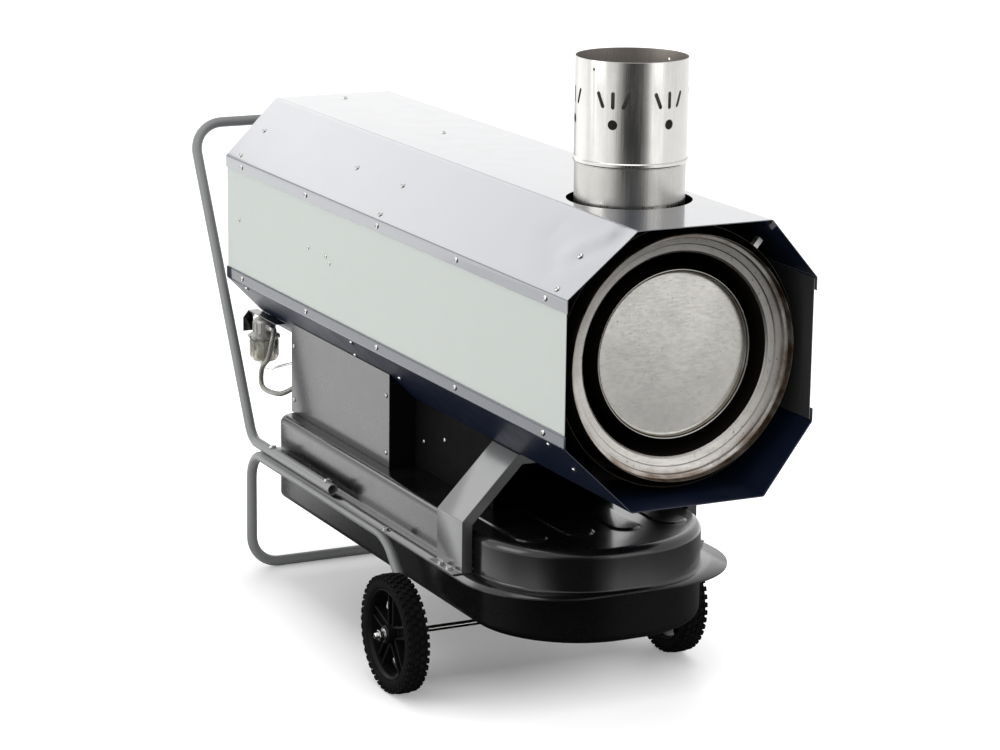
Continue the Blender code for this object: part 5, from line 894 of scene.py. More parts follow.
def bar(radius: float, start: float, end: float) -> Line:
    """Section of a solid round bar, as (radius, height) points."""
    return [(0.0, end), (radius, end), (radius, start), (0.0, start)]


def polygon(radius: float, sides: int) -> Line:
    """Corners of a regular polygon."""
    turns = [math.tau * k / sides for k in range(sides)]
    return [(radius * math.cos(t), radius * math.sin(t)) for t in turns]


def skin(shape: Shape, rings: Sequence[list]) -> None:
    """Join closed rings of equally many points, each to the next.

    Args:
        shape: the shape that takes the faces.
        rings: the rings' vertices.
    """
    for low, high in zip(rings, rings[1:]):
        for index, corner in enumerate(low):
            after = (index + 1) % len(low)
            shape.faces.new((corner, low[after], high[after], high[index]))


def prism(outline: Line, start: float, end: float) -> Shape:
    """Extrude a closed outline along Z.

    Args:
        outline: the corners.
        start: height of one end.
        end: height of the other end.

    Returns:
        The solid.
    """
    shape = bmesh.new()
    low, high = ([shape.verts.new((x, y, height)) for x, y in outline] for height in (start, end))
    skin(shape, (low, high))
    shape.faces.new(high)
    shape.faces.new(list(reversed(low)))
    bmesh.ops.recalc_face_normals(shape, faces=shape.faces)
    return shape


def append_shape(target: Shape, part: Shape, matrix: Matrix) -> None:
    """Move a small shape and add it to a larger one.

    Args:
        target: the larger shape.
        part: the small shape, which is freed.
        matrix: the move.
    """
    bmesh.ops.transform(part, matrix=matrix, verts=part.verts)
    carrier = bpy.data.meshes.new("carrier")
    part.to_mesh(carrier)
    part.free()
    target.from_mesh(carrier)
    bpy.data.meshes.remove(carrier)


def block(low: Triple, high: Triple) -> Shape:
    """Box between two corners.

    Args:
        low: the lowest corner.
        high: the highest corner.

    Returns:
        The box.
    """
    shape = bmesh.new()
    middle = (Vector(low) + Vector(high)) / 2
    size = Vector(high) - Vector(low)
    bmesh.ops.create_cube(shape, size=1.0, matrix=Matrix.Translation(middle) @ Matrix.Diagonal((*size, 1.0)))
    return shape


def rounded_block(name: str, low: Triple, high: Triple, edge: float,
                  segments: int = 2) -> Piece:
    """Box between two corners with rounded edges."""
    return bevelled(new_object(name, block(low, high)), edge, segments)


def bend_path(corners: Route, radii: Triple, steps: int = 12) -> list[Vector]:
    """Path through corners whose inner ones are bent to a radius.

    Args:
        corners: the path's corners.
        radii: one radius for each inner corner.
        steps: straight steps in each bend.

    Returns:
        The path's points.
    """
    path = [Vector(corners[0])]
    for index in range(1, len(corners) - 1):
        corner = Vector(corners[index])
        arrive = (Vector(corners[index - 1]) - corner).normalized()
        leave = (Vector(corners[index + 1]) - corner).normalized()
        half = arrive.angle(leave) / 2
        radius = radii[index - 1]
        centre = corner + (arrive + leave).normalized() * radius / math.sin(half)
        first = corner + arrive * radius / math.tan(half) - centre
        last = corner + leave * radius / math.tan(half) - centre
        sweep = first.angle(last)
        for step in range(steps + 1):
            part = step / steps
            weight = math.sin((1 - part) * sweep) / math.sin(sweep)
            other = math.sin(part * sweep) / math.sin(sweep)
            path.append(centre + first * weight + last * other)
    path.append(Vector(corners[-1]))
    return path


def smooth_path(points: Route, steps: int) -> list[Vector]:
    """Catmull-Rom curve through a hose's points, with a straight run at each end.

    Args:
        points: the points.
        steps: straight steps between two of them.

    Returns:
        The curve's points.
    """
    places = [Vector(point) for point in points]
    path = [places[0]]
    for index in range(1, len(places) - 2):
        before, start, end, after = places[index - 1: index + 3]
        for step in range(steps):
            t = step / steps
            path.append(
                (start * 2 + (end - before) * t + (before * 2 - start * 5 + end * 4 - after) * t * t
                 + (start * 3 - before - end * 3 + after) * t * t * t) / 2
            )
    path.extend(places[-2:])
    return path


def sweep(path: Sequence[Vector], radius: float, sides: int = 24, bore: float = 0.0,
          depth: float = 0.0) -> Shape:
    """Round tube along a path with a UV map in metres along its length.

    Args:
        path: the centre line.
        radius: outer radius.
        sides: sides of its section.
        bore: radius of the open bore at both ends, or zero for closed ends.
        depth: how far the bore is modelled in.

    Returns:
        The tube.
    """
    shape = bmesh.new()
    uv = shape.loops.layers.uv.new("UVMap")
    tangent = (path[1] - path[0]).normalized()
    side = tangent.orthogonal().normalized()
    rings, marks, run = [], [], 0.0
    for index, spot in enumerate(path):
        ahead = path[min(index + 1, len(path) - 1)] - path[max(index - 1, 0)]
        turn = tangent.rotation_difference(ahead.normalized())
        side = turn @ side
        tangent = ahead.normalized()
        across = tangent.cross(side)
        if index:
            run += (spot - path[index - 1]).length
        turns = [math.tau * step / sides for step in range(sides)]
        spokes = [side * math.cos(t) + across * math.sin(t) for t in turns]
        rings.append([shape.verts.new(spot + spoke * radius) for spoke in spokes])
        marks.append(run)
    for low, high, start, end in zip(rings, rings[1:], marks, marks[1:]):
        for step in range(sides):
            after = (step + 1) % sides
            face = shape.faces.new((low[step], low[after], high[after], high[step]))
            spots = ((step, start), (step + 1, start), (step + 1, end), (step, end))
            for loop, (around, along) in zip(face.loops, spots):
                loop[uv].uv = (around / sides, along)
    for ring, spot, inward in ((rings[0], path[0], path[1]), (rings[-1], path[-1], path[-2])):
        if not bore:
            shape.faces.new(ring)
            continue
        step_in = (inward - spot).normalized() * depth
        lip = [shape.verts.new(spot + (vert.co - spot) * bore / radius) for vert in ring]
        well = [shape.verts.new(vert.co + step_in) for vert in lip]
        for step in range(sides):
            after = (step + 1) % sides
            shape.faces.new((ring[step], ring[after], lip[after], lip[step]))
            shape.faces.new((lip[step], lip[after], well[after], well[step]))
        shape.faces.new(well)
    return shape


def geometry_tree(name: str, inputs: dict) -> tuple[Graph, dict, Socket]:
    """Empty geometry tree with named inputs.

    Args:
        name: the tree's name.
        inputs: socket name to a number, which is its default, or to the kind of a socket without one.

    Returns:
        The graph, the group's outputs by name, and the socket that takes the result.
    """
    tree = bpy.data.node_groups.new(name, "GeometryNodeTree")
    tree.interface.new_socket("Geometry", in_out="INPUT", socket_type="NodeSocketGeometry")
    tree.interface.new_socket("Geometry", in_out="OUTPUT", socket_type="NodeSocketGeometry")
    for label, default in inputs.items():
        kind = {float: "Float", int: "Int"}.get(type(default), default)
        socket = tree.interface.new_socket(label, in_out="INPUT", socket_type=f"NodeSocket{kind}")
        if kind != default:
            socket.default_value = default
    graph = Graph(tree)
    entry = graph.add("NodeGroupInput")
    leave = graph.add("NodeGroupOutput")
    return graph, entry.outputs, leave.inputs["Geometry"]


def run_tree(name: str, tree: Tree, base: bpy.types.Mesh, values: dict) -> Piece:
    """Evaluate a geometry tree on a base mesh and keep the result as a plain mesh.

    Args:
        name: name of the resulting object.
        tree: the geometry tree.
        base: the mesh that the tree starts from.
        values: input name to value.

    Returns:
        The resulting object.
    """
    item = linked(name, base)
    step = item.modifiers.new("pattern", "NODES")
    step.node_group = tree
    sockets = {row.name: row.identifier for row in tree.interface.items_tree if row.in_out == "INPUT"}
    for label, value in values.items():
        step[sockets[label]] = value
    return settle(item)


def finish_tree(graph: Graph, copies: Socket, finish: Socket, out: Socket) -> None:
    """Make copies real, give them their material and send them out of the tree.

    Args:
        graph: the tree's graph.
        copies: the instances.
        finish: the material input.
        out: the socket that takes the result.
    """
    real = graph.add("GeometryNodeRealizeInstances", {"Geometry": copies})
    done = graph.add("GeometryNodeSetMaterial", {"Geometry": real.outputs[0], "Material": finish})
    graph.feed(out, done.outputs[0])


def facing_tree() -> Tree:
    """Tree that puts an item on every point, turned to face along the point's own vector."""
    known = bpy.data.node_groups.get("facing pattern")
    if known:
        return known
    inputs = {"Item": "Object", "Finish": "Material", "Seed": 7}
    graph, given, out = geometry_tree("facing pattern", inputs)
    item = graph.add("GeometryNodeObjectInfo", {"Object": given["Item"]})
    facing = graph.add("GeometryNodeInputNamedAttribute", {"Name": "facing"}, data_type="FLOAT_VECTOR")
    aligned = graph.add("FunctionNodeAlignRotationToVector", {"Vector": facing.outputs[0]}, axis="Z")
    limits = {2: 0.0, 3: math.tau, "Seed": given["Seed"]}
    chance = graph.add("FunctionNodeRandomValue", limits, data_type="FLOAT")
    spin = graph.add("FunctionNodeAxisAngleToRotation", {"Axis": (0.0, 0.0, 1.0), "Angle": chance.outputs[1]})
    both = {"Rotation": aligned.outputs[0], "Rotate By": spin.outputs[0]}
    turned_by = graph.add("FunctionNodeRotateRotation", both, rotation_space="LOCAL")
    copies = graph.add("GeometryNodeInstanceOnPoints", {
        "Points": given["Geometry"], "Instance": item.outputs["Geometry"], "Rotation": turned_by.outputs[0],
    })
    finish_tree(graph, copies.outputs[0], given["Finish"], out)
    return graph.tree


def ring_tree() -> Tree:
    """Tree that puts an item at equal steps round a circle; the item's X points outwards."""
    known = bpy.data.node_groups.get("ring pattern")
    if known:
        return known
    inputs = {
        "Item": "Object", "Finish": "Material", "Count": 12, "Radius": 0.1,
        "Offset": 0.0, "Phase": 0.0,
    }
    graph, given, out = geometry_tree("ring pattern", inputs)
    item = graph.add("GeometryNodeObjectInfo", {"Object": given["Item"]})
    spots = graph.add("GeometryNodePoints", {"Count": given["Count"]})
    index = graph.add("GeometryNodeInputIndex").outputs[0]
    step = graph.math("DIVIDE", math.tau, given["Count"])
    turn = graph.product(graph.math("ADD", index, given["Phase"]), step)
    across, up = (graph.product(graph.math(part, turn), given["Radius"]) for part in ("COSINE", "SINE"))
    place = graph.combined(across, up, given["Offset"])
    laid = graph.add("GeometryNodeSetPosition", {"Geometry": spots.outputs[0], "Position": place})
    spin = graph.add("FunctionNodeAxisAngleToRotation", {"Axis": (0.0, 0.0, 1.0), "Angle": turn})
    copies = graph.add("GeometryNodeInstanceOnPoints", {
        "Points": laid.outputs[0], "Instance": item.outputs["Geometry"], "Rotation": spin.outputs[0],
    })
    finish_tree(graph, copies.outputs[0], given["Finish"], out)
    return graph.tree


def ring_of(name: str, item: Piece, finish: object, axis: Axis, centre: Triple, count: int,
            radius: float, offset: float = 0.0, phase: float = 0.0) -> Piece:
    """Copies of an item round a world axis; the item itself is removed.

    Args:
        name: name of the resulting object.
        item: the item, built about its own origin with X outwards.
        finish: the finish of the copies.
        axis: the world axis.
        centre: the circle's centre.
        count: number of copies.
        radius: the circle's radius.
        offset: shift along the axis.
        phase: shift round the circle, in steps.

    Returns:
        The copies as one plain mesh.
    """
    values = {"Item": item, "Finish": material_of(finish), "Count": count, "Radius": radius, "Offset": offset,
              "Phase": phase}
    made = run_tree(name, ring_tree(), bpy.data.meshes.new(name), values)
    made.data.transform(Matrix.Translation(Vector(centre)) @ axis.value)
    bpy.data.objects.remove(item)
    return made


def joined(target: Piece, *others: Piece) -> Piece:
    """Add other objects' meshes to a target's mesh; the others are removed.

    Args:
        target: the object that stays.
        others: the objects that are added.

    Returns:
        The target.
    """
    shape = bmesh.new()
    shape.from_mesh(target.data)
    for other in others:
        shape.from_mesh(other.data)
        bpy.data.objects.remove(other)
    shape.to_mesh(target.data)
    shape.free()
    return target


@dataclass
class ScrewSet:
    """Screws and bolts: one head, placed on points that each carry a direction."""

    name: str
    finish: object
    radius: float = 0.0050
    height: float = 0.0026
    hexagon: bool = False
    washer: float = 0.0

    def head(self) -> Piece:
        """Build one head that stands on the plane z = 0 and looks along Z."""
        if self.hexagon:
            flats = prism(polygon(self.radius, 6), 0.0, self.height)
            item = bevelled(new_object("bolt_head", flats), self.radius * 0.10, 1)
            disc = bar(self.washer, 0.0, self.height * 0.25)
            return joined(item, turned("bolt_washer", disc, Axis.Z, (0.0, 0.0, 0.0), 20))
        shares = ((0.0, 1.0), (0.55, 0.93), (0.88, 0.62), (1.0, 0.18), (1.0, 0.0), (0.0, 0.0))
        dome = [(self.radius * across, self.height * up) for across, up in shares]
        item = turned("screw_head", dome, Axis.Z, (0.0, 0.0, 0.0), 18)
        wide, long = self.radius * 0.16, self.radius * 0.62
        for x, y in ((long, wide), (wide, long)):
            slot = block((-x, -y, self.height * 0.45), (x, y, self.height * 2))
            item = carved(item, new_object("slot_tool", slot))
        return item

    def build(self, spots: Sequence[tuple[Triple, Triple]], body: str = HEATER) -> None:
        """Place the heads.

        Args:
            spots: (place, direction) pairs in the row's frame.
            body: the body that they ride on.
        """
        base = bpy.data.meshes.new(self.name)
        base.from_pydata([tuple(place) for place, facing in spots], [], [])
        store = base.attributes.new("facing", "FLOAT_VECTOR", "POINT")
        for index, (place, facing) in enumerate(spots):
            store.data[index].vector = Vector(facing).normalized()
        head = self.head()
        made = run_tree(self.name, facing_tree(), base, {"Item": head, "Finish": material_of(self.finish)})
        bpy.data.objects.remove(head)
        dress(made, self.finish, body=body)


@dataclass
class Casing:
    """Octagonal casing: two folded covers, two pale panels, the rear panel and their screws."""

    half_width: float = 0.250
    half_height: float = 0.250
    length: float = 1.609
    top_half: float = 0.1335
    side_half: float = 0.132
    set_back: float = 0.033
    trim: float = 0.024
    sheet: float = 0.0015
    fold_radius: float = 0.006
    flue_place: float = 0.2763
    flue_opening: float = 0.114
    fine_run: float = 0.240
    fine_rows: int = 44
    rows: int = 44
    trim_places: tuple[float, ...] = (0.114, 0.470, 0.822, 1.173, 1.520)
    upper_edge: tuple[float, ...] = (0.087, 0.826, 1.546)
    upper_middle: tuple[float, ...] = (0.100, 0.833, 1.050, 1.537)
    lower_edge: tuple[float, ...] = (0.107, 0.960, 1.514)
    lower_middle: tuple[float, ...] = (0.106, 0.840, 1.055)
    edge_share: float = 0.075
    middle_share: float = 0.508
    top_places: tuple[float, ...] = (1.054, 1.547)
    pins: tuple[Point, ...] = ((1.538, 0.004), (1.164, 0.014), (1.074, 0.013), (1.056, 0.002))
    creases: tuple[tuple[float, float, float, float, float, float], ...] = (
        (0.098, 0.46, 0.030, 0.16, 0.034, 0.0008), (0.140, 0.52, 0.075, 0.20, 0.038, -0.0007),
        (0.150, 0.62, 0.230, 0.40, 0.052, 0.0010),
    )

    def corner_line(self) -> Line:
        """Outer corners of half the octagon, from one trim's edge over to the other."""
        right = [(self.top_half, self.half_height), (self.half_width, self.side_half),
                 (self.half_width, self.side_half - self.trim)]
        return [(-x, z) for x, z in reversed(right)] + right

    def lean(self, side: float) -> float:
        """How far the front edge lies back at a distance from the middle plane."""
        share = (abs(side) - self.top_half) / (self.half_width - self.top_half)
        return self.set_back * min(max(share, 0.0), 1.0)

    def cover(self, name: str, sign: int) -> Piece:
        """Folded cover with rounded folds; the upper cover also gets small dents.

        Args:
            name: the object's name.
            sign: 1 for the upper cover, -1 for the lower one.

        Returns:
            The sheet.
        """
        line = self.dense(fillet(self.corner_line(), self.fold_radius, 4))
        knee, rear = behind(self.fine_run), behind(self.length)
        shape = bmesh.new()
        grid = []
        for x, z in line:
            front = behind(self.lean(x))
            places = [front + (knee - front) * step / self.fine_rows for step in range(self.fine_rows)]
            places += [knee + (rear - knee) * step / self.rows for step in range(self.rows + 1)]
            grid.append([shape.verts.new((x, y, AXIS_HEIGHT + sign * z)) for y in places])
        for low, high in zip(grid, grid[1:]):
            for step in range(len(low) - 1):
                shape.faces.new((low[step], low[step + 1], high[step + 1], high[step]))
        if sign > 0:
            self.press_creases(shape)
        item = new_object(name, shape, FOLD_ANGLE)
        if sum(face.normal.z for face in item.data.polygons) * sign < 0:
            item.data.flip_normals()
        return sheeted(item, self.sheet)

    def dense(self, line: Line, step: float = 0.006) -> Line:
        """Line with extra points on its long runs.

        Args:
            line: the line.
            step: the longest run wanted.

        Returns:
            The line's points.
        """
        dense = [line[0]]
        for start, end in zip(line, line[1:]):
            count = max(1, round((Vector(end) - Vector(start)).length / step))
            for index in range(1, count + 1):
                share = index / count
                dense.append((start[0] + (end[0] - start[0]) * share, start[1] + (end[1] - start[1]) * share))
        return dense

    def press_creases(self, shape: Shape) -> None:
        """Push the sheet along short lines where the left chamfer was knocked.

        Args:
            shape: the cover's surface.
        """
        top = Vector((-self.top_half, 0.0, AXIS_HEIGHT + self.half_height))
        low = Vector((-self.half_width, 0.0, AXIS_HEIGHT + self.side_half))
        inward = Vector((1.0, 0.0, -1.0)).normalized()
        for first_place, first_share, last_place, last_share, width, depth in self.creases:
            first, last = (top + (low - top) * share for share in (first_share, last_share))
            first.y, last.y = behind(first_place), behind(last_place)
            run = last - first
            for vert in shape.verts:
                share = min(max((vert.co - first).dot(run) / run.length_squared, 0.0), 1.0)
                gap = (vert.co - first - run * share).length / width
                vert.co += inward * depth * math.exp(-gap * gap * 2)

    def on_chamfer(self, side: int, sign: int, place: float, share: float) -> tuple[Vector, Vector]:
        """Place and direction of a screw on a chamfer, by its share of the way up from the side.

        Args:
            side: 1 on the right, -1 on the left.
            sign: 1 above the axis, -1 below it.
            place: distance behind the front edge.
            share: share of the way up.

        Returns:
            Place and direction.
        """
        run, rise = self.top_half - self.half_width, self.half_height - self.side_half
        out = Vector((side * rise, 0.0, -sign * run))
        x, z = self.half_width + run * share, self.side_half + rise * share
        return Vector((side * x, behind(place), AXIS_HEIGHT + sign * z)), out.normalized()

    def screws(self) -> Spots:
        """Places and directions of the casing's screws."""
        spots = [screw_at(0.0, behind(place), CASING_TOP, 0, 0, 1) for place in self.top_places]
        rows = {1: (self.upper_edge, self.upper_middle), -1: (self.lower_edge, self.lower_middle)}
        for side in (-1, 1):
            for sign, (edge, middle) in rows.items():
                height = AXIS_HEIGHT + sign * (self.side_half - self.trim / 2)
                across = side * self.half_width
                spots += [screw_at(across, behind(place), height, side, 0, 0) for place in self.trim_places]
                spots += [self.on_chamfer(side, sign, place, self.edge_share) for place in edge]
                spots += [self.on_chamfer(side, sign, place, self.middle_share) for place in middle]
        return spots

    def panel_pins(self) -> Spots:
        """Small rivets in the middle of the side panels."""
        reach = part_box("right_side_panel")[1].x
        return [screw_at(side * reach, behind(place), AXIS_HEIGHT + rise, side, 0, 0)
                for side in (-1, 1) for place, rise in self.pins]

    def looks_in(self, middle: Vector, normal: Vector) -> bool:
        """Whether a face looks towards the middle plane."""
        return middle.x * normal.x < 0

    def slopes(self, middle: Vector, normal: Vector) -> bool:
        """Whether a face belongs to the underside or a chamfer."""
        return abs(normal.z) > 0.3

    def build(self) -> None:
        """Make and dress every piece of the casing."""
        upper = self.cover("upper_cover_skin", 1)
        tool = turned("flue_hole", bar(self.flue_opening, -0.02, 0.02), Axis.Z,
                      (0.0, behind(self.flue_place), CASING_TOP), 128)
        dress(carved(upper, tool), NAVY, "upper_cover")
        # The lower cover takes a darker, duller copy of the navy, and its underside and chamfers a darker one
        # still: painted shade.
        lower = dress(self.cover("lower_cover_skin", -1), NAVY_SHADED_LOW, "lower_cover")
        line_faces(lower, NAVY_SHADED_UNDER, self.slopes)
        for side in ("left", "right"):
            # The panels' inner faces take a dark grey: painted shade of the casing's inside.
            line_faces(dress_node(side + "_side_panel", 0.0004, PANEL), PANEL_INSIDE_SHADE, self.looks_in)
        dress_node("rear_panel", 0.0005, NAVY)
        ScrewSet("casing_screws", ZINC, 0.0058, 0.0030).build(self.screws())
        ScrewSet("panel_rivets", ZINC, 0.0046, 0.0030).build(self.panel_pins())


@dataclass
class HotEnd:
    """What shows in the outlet: ring passage, chamber, disc and duct, with the flue on top."""

    duct_radius: float = 0.238
    duct_sheet: float = 0.001
    duct_front: float = 0.085
    duct_rear: float = 1.050
    duct_opening: float = 0.114
    ring_radius: float = 0.223
    ring_front: float = 0.0625
    ring_rear: float = 1.000
    rim_depth: float = 0.013
    step: float = 0.005
    dish: float = 0.012
    passage: float = 0.184
    roll: float = 0.004
    shelf: float = 0.0165
    ring_fillet: float = 0.0018
    chamber: float = 0.153
    chamber_front: float = 0.100
    disc_depth: float = 0.011
    crown: float = 0.003
    wall: float = 0.0015
    gap: float = CLEARANCE
    flue_place: float = 0.2763
    flue_radius: float = 0.1015
    flue_wall: float = 0.0012
    flue_top: float = 1.256
    sleeve_dip: float = 0.012
    stub_bottom: float = 1.066
    bead: float = 0.002
    bead_height: float = 0.009
    patterns: int = 6
    pattern_start: float = math.radians(-77.5)
    hole_radius: float = 0.009
    hole_drop: float = 0.111
    slot_width: float = 0.007
    slot_length: float = 0.031
    slot_drop: float = 0.068
    slot_spread: float = 0.024
    slot_tilt: float = math.radians(22)
    pin_radius: float = 0.0025
    pin_drop: float = 0.016
    pin_angle: float = math.radians(20)
    clip_turn: float = -0.139
    clip_size: Triple = (0.020, 0.012, 0.012)
    steps: int = 160

    def ring(self) -> Piece:
        """Exchanger shell with its stepped and dished front."""
        back = self.ring_front + self.rim_depth
        face = back + self.step
        dished = face + self.dish
        outer, inner = self.ring_radius - 2 * self.step, self.passage + self.shelf
        line = [
            (self.ring_radius, self.ring_rear), (self.ring_radius, self.ring_front),
            (self.ring_radius - 0.0012, self.ring_front), (self.ring_radius - 0.0016, back),
            (outer, back + 0.0015), (outer, face + 0.004), (inner, face + 0.007), (inner, dished - 0.0025),
            (self.passage + self.roll, dished), (self.passage, dished + self.roll),
            (self.passage, self.ring_rear),
        ]
        rounded = fillet(line, self.ring_fillet, 4, closed=True)
        item = turned("exchanger_skin", rounded, Axis.Y, on_axis(0.0), self.steps, closed=True)
        bore = self.flue_radius - 2 * self.flue_wall - self.gap
        tool = bar(bore, self.passage + 0.02, 0.30)
        tool = turned("flue_bore_tool", tool, Axis.Z, on_axis(self.flue_place), 64)
        return carved(sheeted(item, self.wall), tool)

    def disc(self) -> Piece:
        """Chamber's front disc: a shallow cup with a slightly crowned face."""
        cup = self.chamber - 2 * self.wall - self.gap
        face = self.chamber_front + self.disc_depth
        line = [
            (cup, self.chamber_front + self.wall), (cup, face - self.wall), (cup - self.step, face),
            (cup * 0.8, face - self.crown * 0.25), (cup / 2, face - self.crown * 0.75),
            (0.0, face - self.crown),
        ]
        return turned("chamber_disc_skin", line, Axis.Y, on_axis(0.0), self.steps, sheet=self.wall,
                      edge=0.0035)

    def chamber_wall(self) -> Piece:
        """Chamber's wall with a rolled front edge."""
        inner = self.chamber - self.wall
        line = pipe(self.chamber, inner, self.ring_rear, self.chamber_front)
        wall = turned("chamber_skin", line, Axis.Y, on_axis(0.0), self.steps, closed=True)
        lip = [(self.chamber - self.wall / 2 + x, self.chamber_front + y)
               for x, y in arc((0.0, 0.0), self.wall * 0.85, 0.0, math.tau, 8)[:-1]]
        return joined(wall, turned("chamber_lip", lip, Axis.Y, on_axis(0.0), self.steps, closed=True))

    def stub(self) -> Piece:
        """Perforated flue stub with its bead."""
        inner = self.flue_radius - self.flue_wall
        low = self.stub_bottom + self.bead
        line = [
            (self.flue_radius, self.flue_top), (self.flue_radius, low + self.bead_height),
            (self.flue_radius + self.bead, low + self.bead_height - self.bead),
            (self.flue_radius + self.bead, low + self.bead), (self.flue_radius, low),
            (self.flue_radius, self.stub_bottom), (inner, self.stub_bottom), (inner, self.flue_top),
        ]
        centre = (0.0, behind(self.flue_place), 0.0)
        item = turned("flue_stub_skin", line, Axis.Z, centre, self.steps, closed=True, edge=0.0005)
        punches = bmesh.new()
        flat = (self.slot_length - self.slot_width) / 2
        for index in range(self.patterns):
            turn = self.pattern_start + math.tau * index / self.patterns
            self.punch(punches, turn, self.flue_top - self.hole_drop, 0.0, 0.0, self.hole_radius)
            for side in (-1, 0, 1):
                bend = turn + side * self.slot_spread / self.flue_radius
                self.punch(punches, bend, self.flue_top - self.slot_drop, side * self.slot_tilt, flat,
                           self.slot_width / 2)
        for turn in (self.pin_angle, self.pin_angle + math.pi):
            self.punch(punches, turn, self.flue_top - self.pin_drop, 0.0, 0.0, self.pin_radius)
        return carved(item, new_object("punches", punches))

    def punch(self, shape: Shape, turn: float, height: float, lean: float, flat: float,
              radius: float) -> None:
        """Add a radial cutter with round ends, which is a plain hole when its flat is zero.

        Args:
            shape: the shape that gathers the cutters.
            turn: angle round the flue.
            height: its height.
            lean: angle off the upright.
            flat: half the length between its round ends.
            radius: radius of the ends.
        """
        top = arc((0.0, flat), radius, 0.0, math.pi, 10)
        low = arc((0.0, -flat), radius, math.pi, math.tau, 10)
        outline = top + low if flat else top[:-1] + low[:-1]
        one = prism(outline, self.flue_radius - 0.02, self.flue_radius + 0.02)
        stand = Matrix(((0, 0, 1, 0), (1, 0, 0, 0), (0, 1, 0, 0), (0, 0, 0, 1)))
        place = Matrix.Translation((0.0, behind(self.flue_place), height)) @ Matrix.Rotation(turn, 4, "Z")
        append_shape(shape, one, place @ stand @ Matrix.Rotation(-lean, 4, "Z"))

    def duct(self) -> Piece:
        """Duct's sheet, with the flue's opening cut out of it."""
        inner = self.duct_radius - self.duct_sheet
        line = pipe(self.duct_radius, inner, self.duct_rear, self.duct_front)
        item = turned("duct_skin", line, Axis.Y, on_axis(0.0), self.steps, closed=True)
        tool = bar(self.duct_opening, 0.10, 0.30)
        return carved(item, turned("duct_hole", tool, Axis.Z, on_axis(self.flue_place), 64))

    def in_passage(self, middle: Vector, normal: Vector) -> bool:
        """Whether a face of the exchanger lies in its passage or on its outer wall."""
        reach = math.hypot(middle.x, middle.z - AXIS_HEIGHT)
        front = behind(self.ring_front + self.rim_depth + 2 * self.step + self.dish)
        return reach < self.passage + self.wall and middle.y > front - self.wall or (
            reach > self.ring_radius - self.wall / 2 and middle.y > behind(self.duct_front))

    def inside_chamber(self, middle: Vector, normal: Vector) -> bool:
        """Whether a face of the chamber looks at its axis."""
        return (middle - Vector((0.0, middle.y, AXIS_HEIGHT))).dot(normal) < 0

    def on_lip(self, middle: Vector, normal: Vector) -> bool:
        """Whether a face belongs to the chamber's rolled edge."""
        return middle.y < behind(self.chamber_front) + self.wall

    def in_flue(self, middle: Vector, normal: Vector) -> bool:
        """Whether a face looks at the flue's axis."""
        return (middle - Vector((0.0, behind(self.flue_place), middle.z))).dot(normal) < 0

    def below_bead(self, middle: Vector, normal: Vector) -> bool:
        """Whether an outer face of the stub lies below its bead."""
        return middle.z < self.stub_bottom + self.bead and not self.in_flue(middle, normal)

    def build(self) -> None:
        """Make and dress the hot pieces."""
        ring = dress(self.ring(), RING_STEEL, "heat_exchanger")
        # The passage and the chamber's outer wall take the near-black lining: soot, and painted shade in the
        # deep gap.
        line_faces(ring, SOOT_AND_SHADE, self.in_passage)
        wall = dress(self.chamber_wall(), SOOT_AND_SHADE, "combustion_chamber")
        line_faces(wall, CHAMBER_STEEL, self.inside_chamber)
        line_faces(wall, STAINLESS, self.on_lip)
        dress(self.disc(), DISC_STEEL, "chamber_front_disc")
        dress(self.duct(), DARK_STEEL, "inner_duct")
        long, wide, high = self.clip_size
        clip = rounded_block("clip", (0.0, -wide / 2, 0.0), (long, wide / 2, high), 0.0012)
        clip = ring_of("duct_clip", clip, FLUE_LOW, Axis.Y, on_axis(self.duct_front + 0.004), 1,
                       self.duct_radius, 0.0, self.clip_turn)
        dress(clip, FLUE_LOW, slot="stainless")
        stub = dress(self.stub(), FLUE_STEEL, "flue_stub")
        line_faces(stub, FLUE_INSIDE, self.in_flue)
        line_faces(stub, FLUE_LOW, self.below_bead)
        sleeve = self.flue_radius - self.flue_wall - self.gap
        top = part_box("flue_sleeve")[1].z
        low = AXIS_HEIGHT + self.ring_radius - self.sleeve_dip
        line = pipe(sleeve, sleeve - self.flue_wall, low, top)
        centre = (0.0, behind(self.flue_place), 0.0)
        sleeve = turned("flue_sleeve_skin", line, Axis.Z, centre, self.steps, closed=True)
        line_faces(dress(sleeve, FLUE_LOW, "flue_sleeve"), FLUE_INSIDE, self.in_flue)


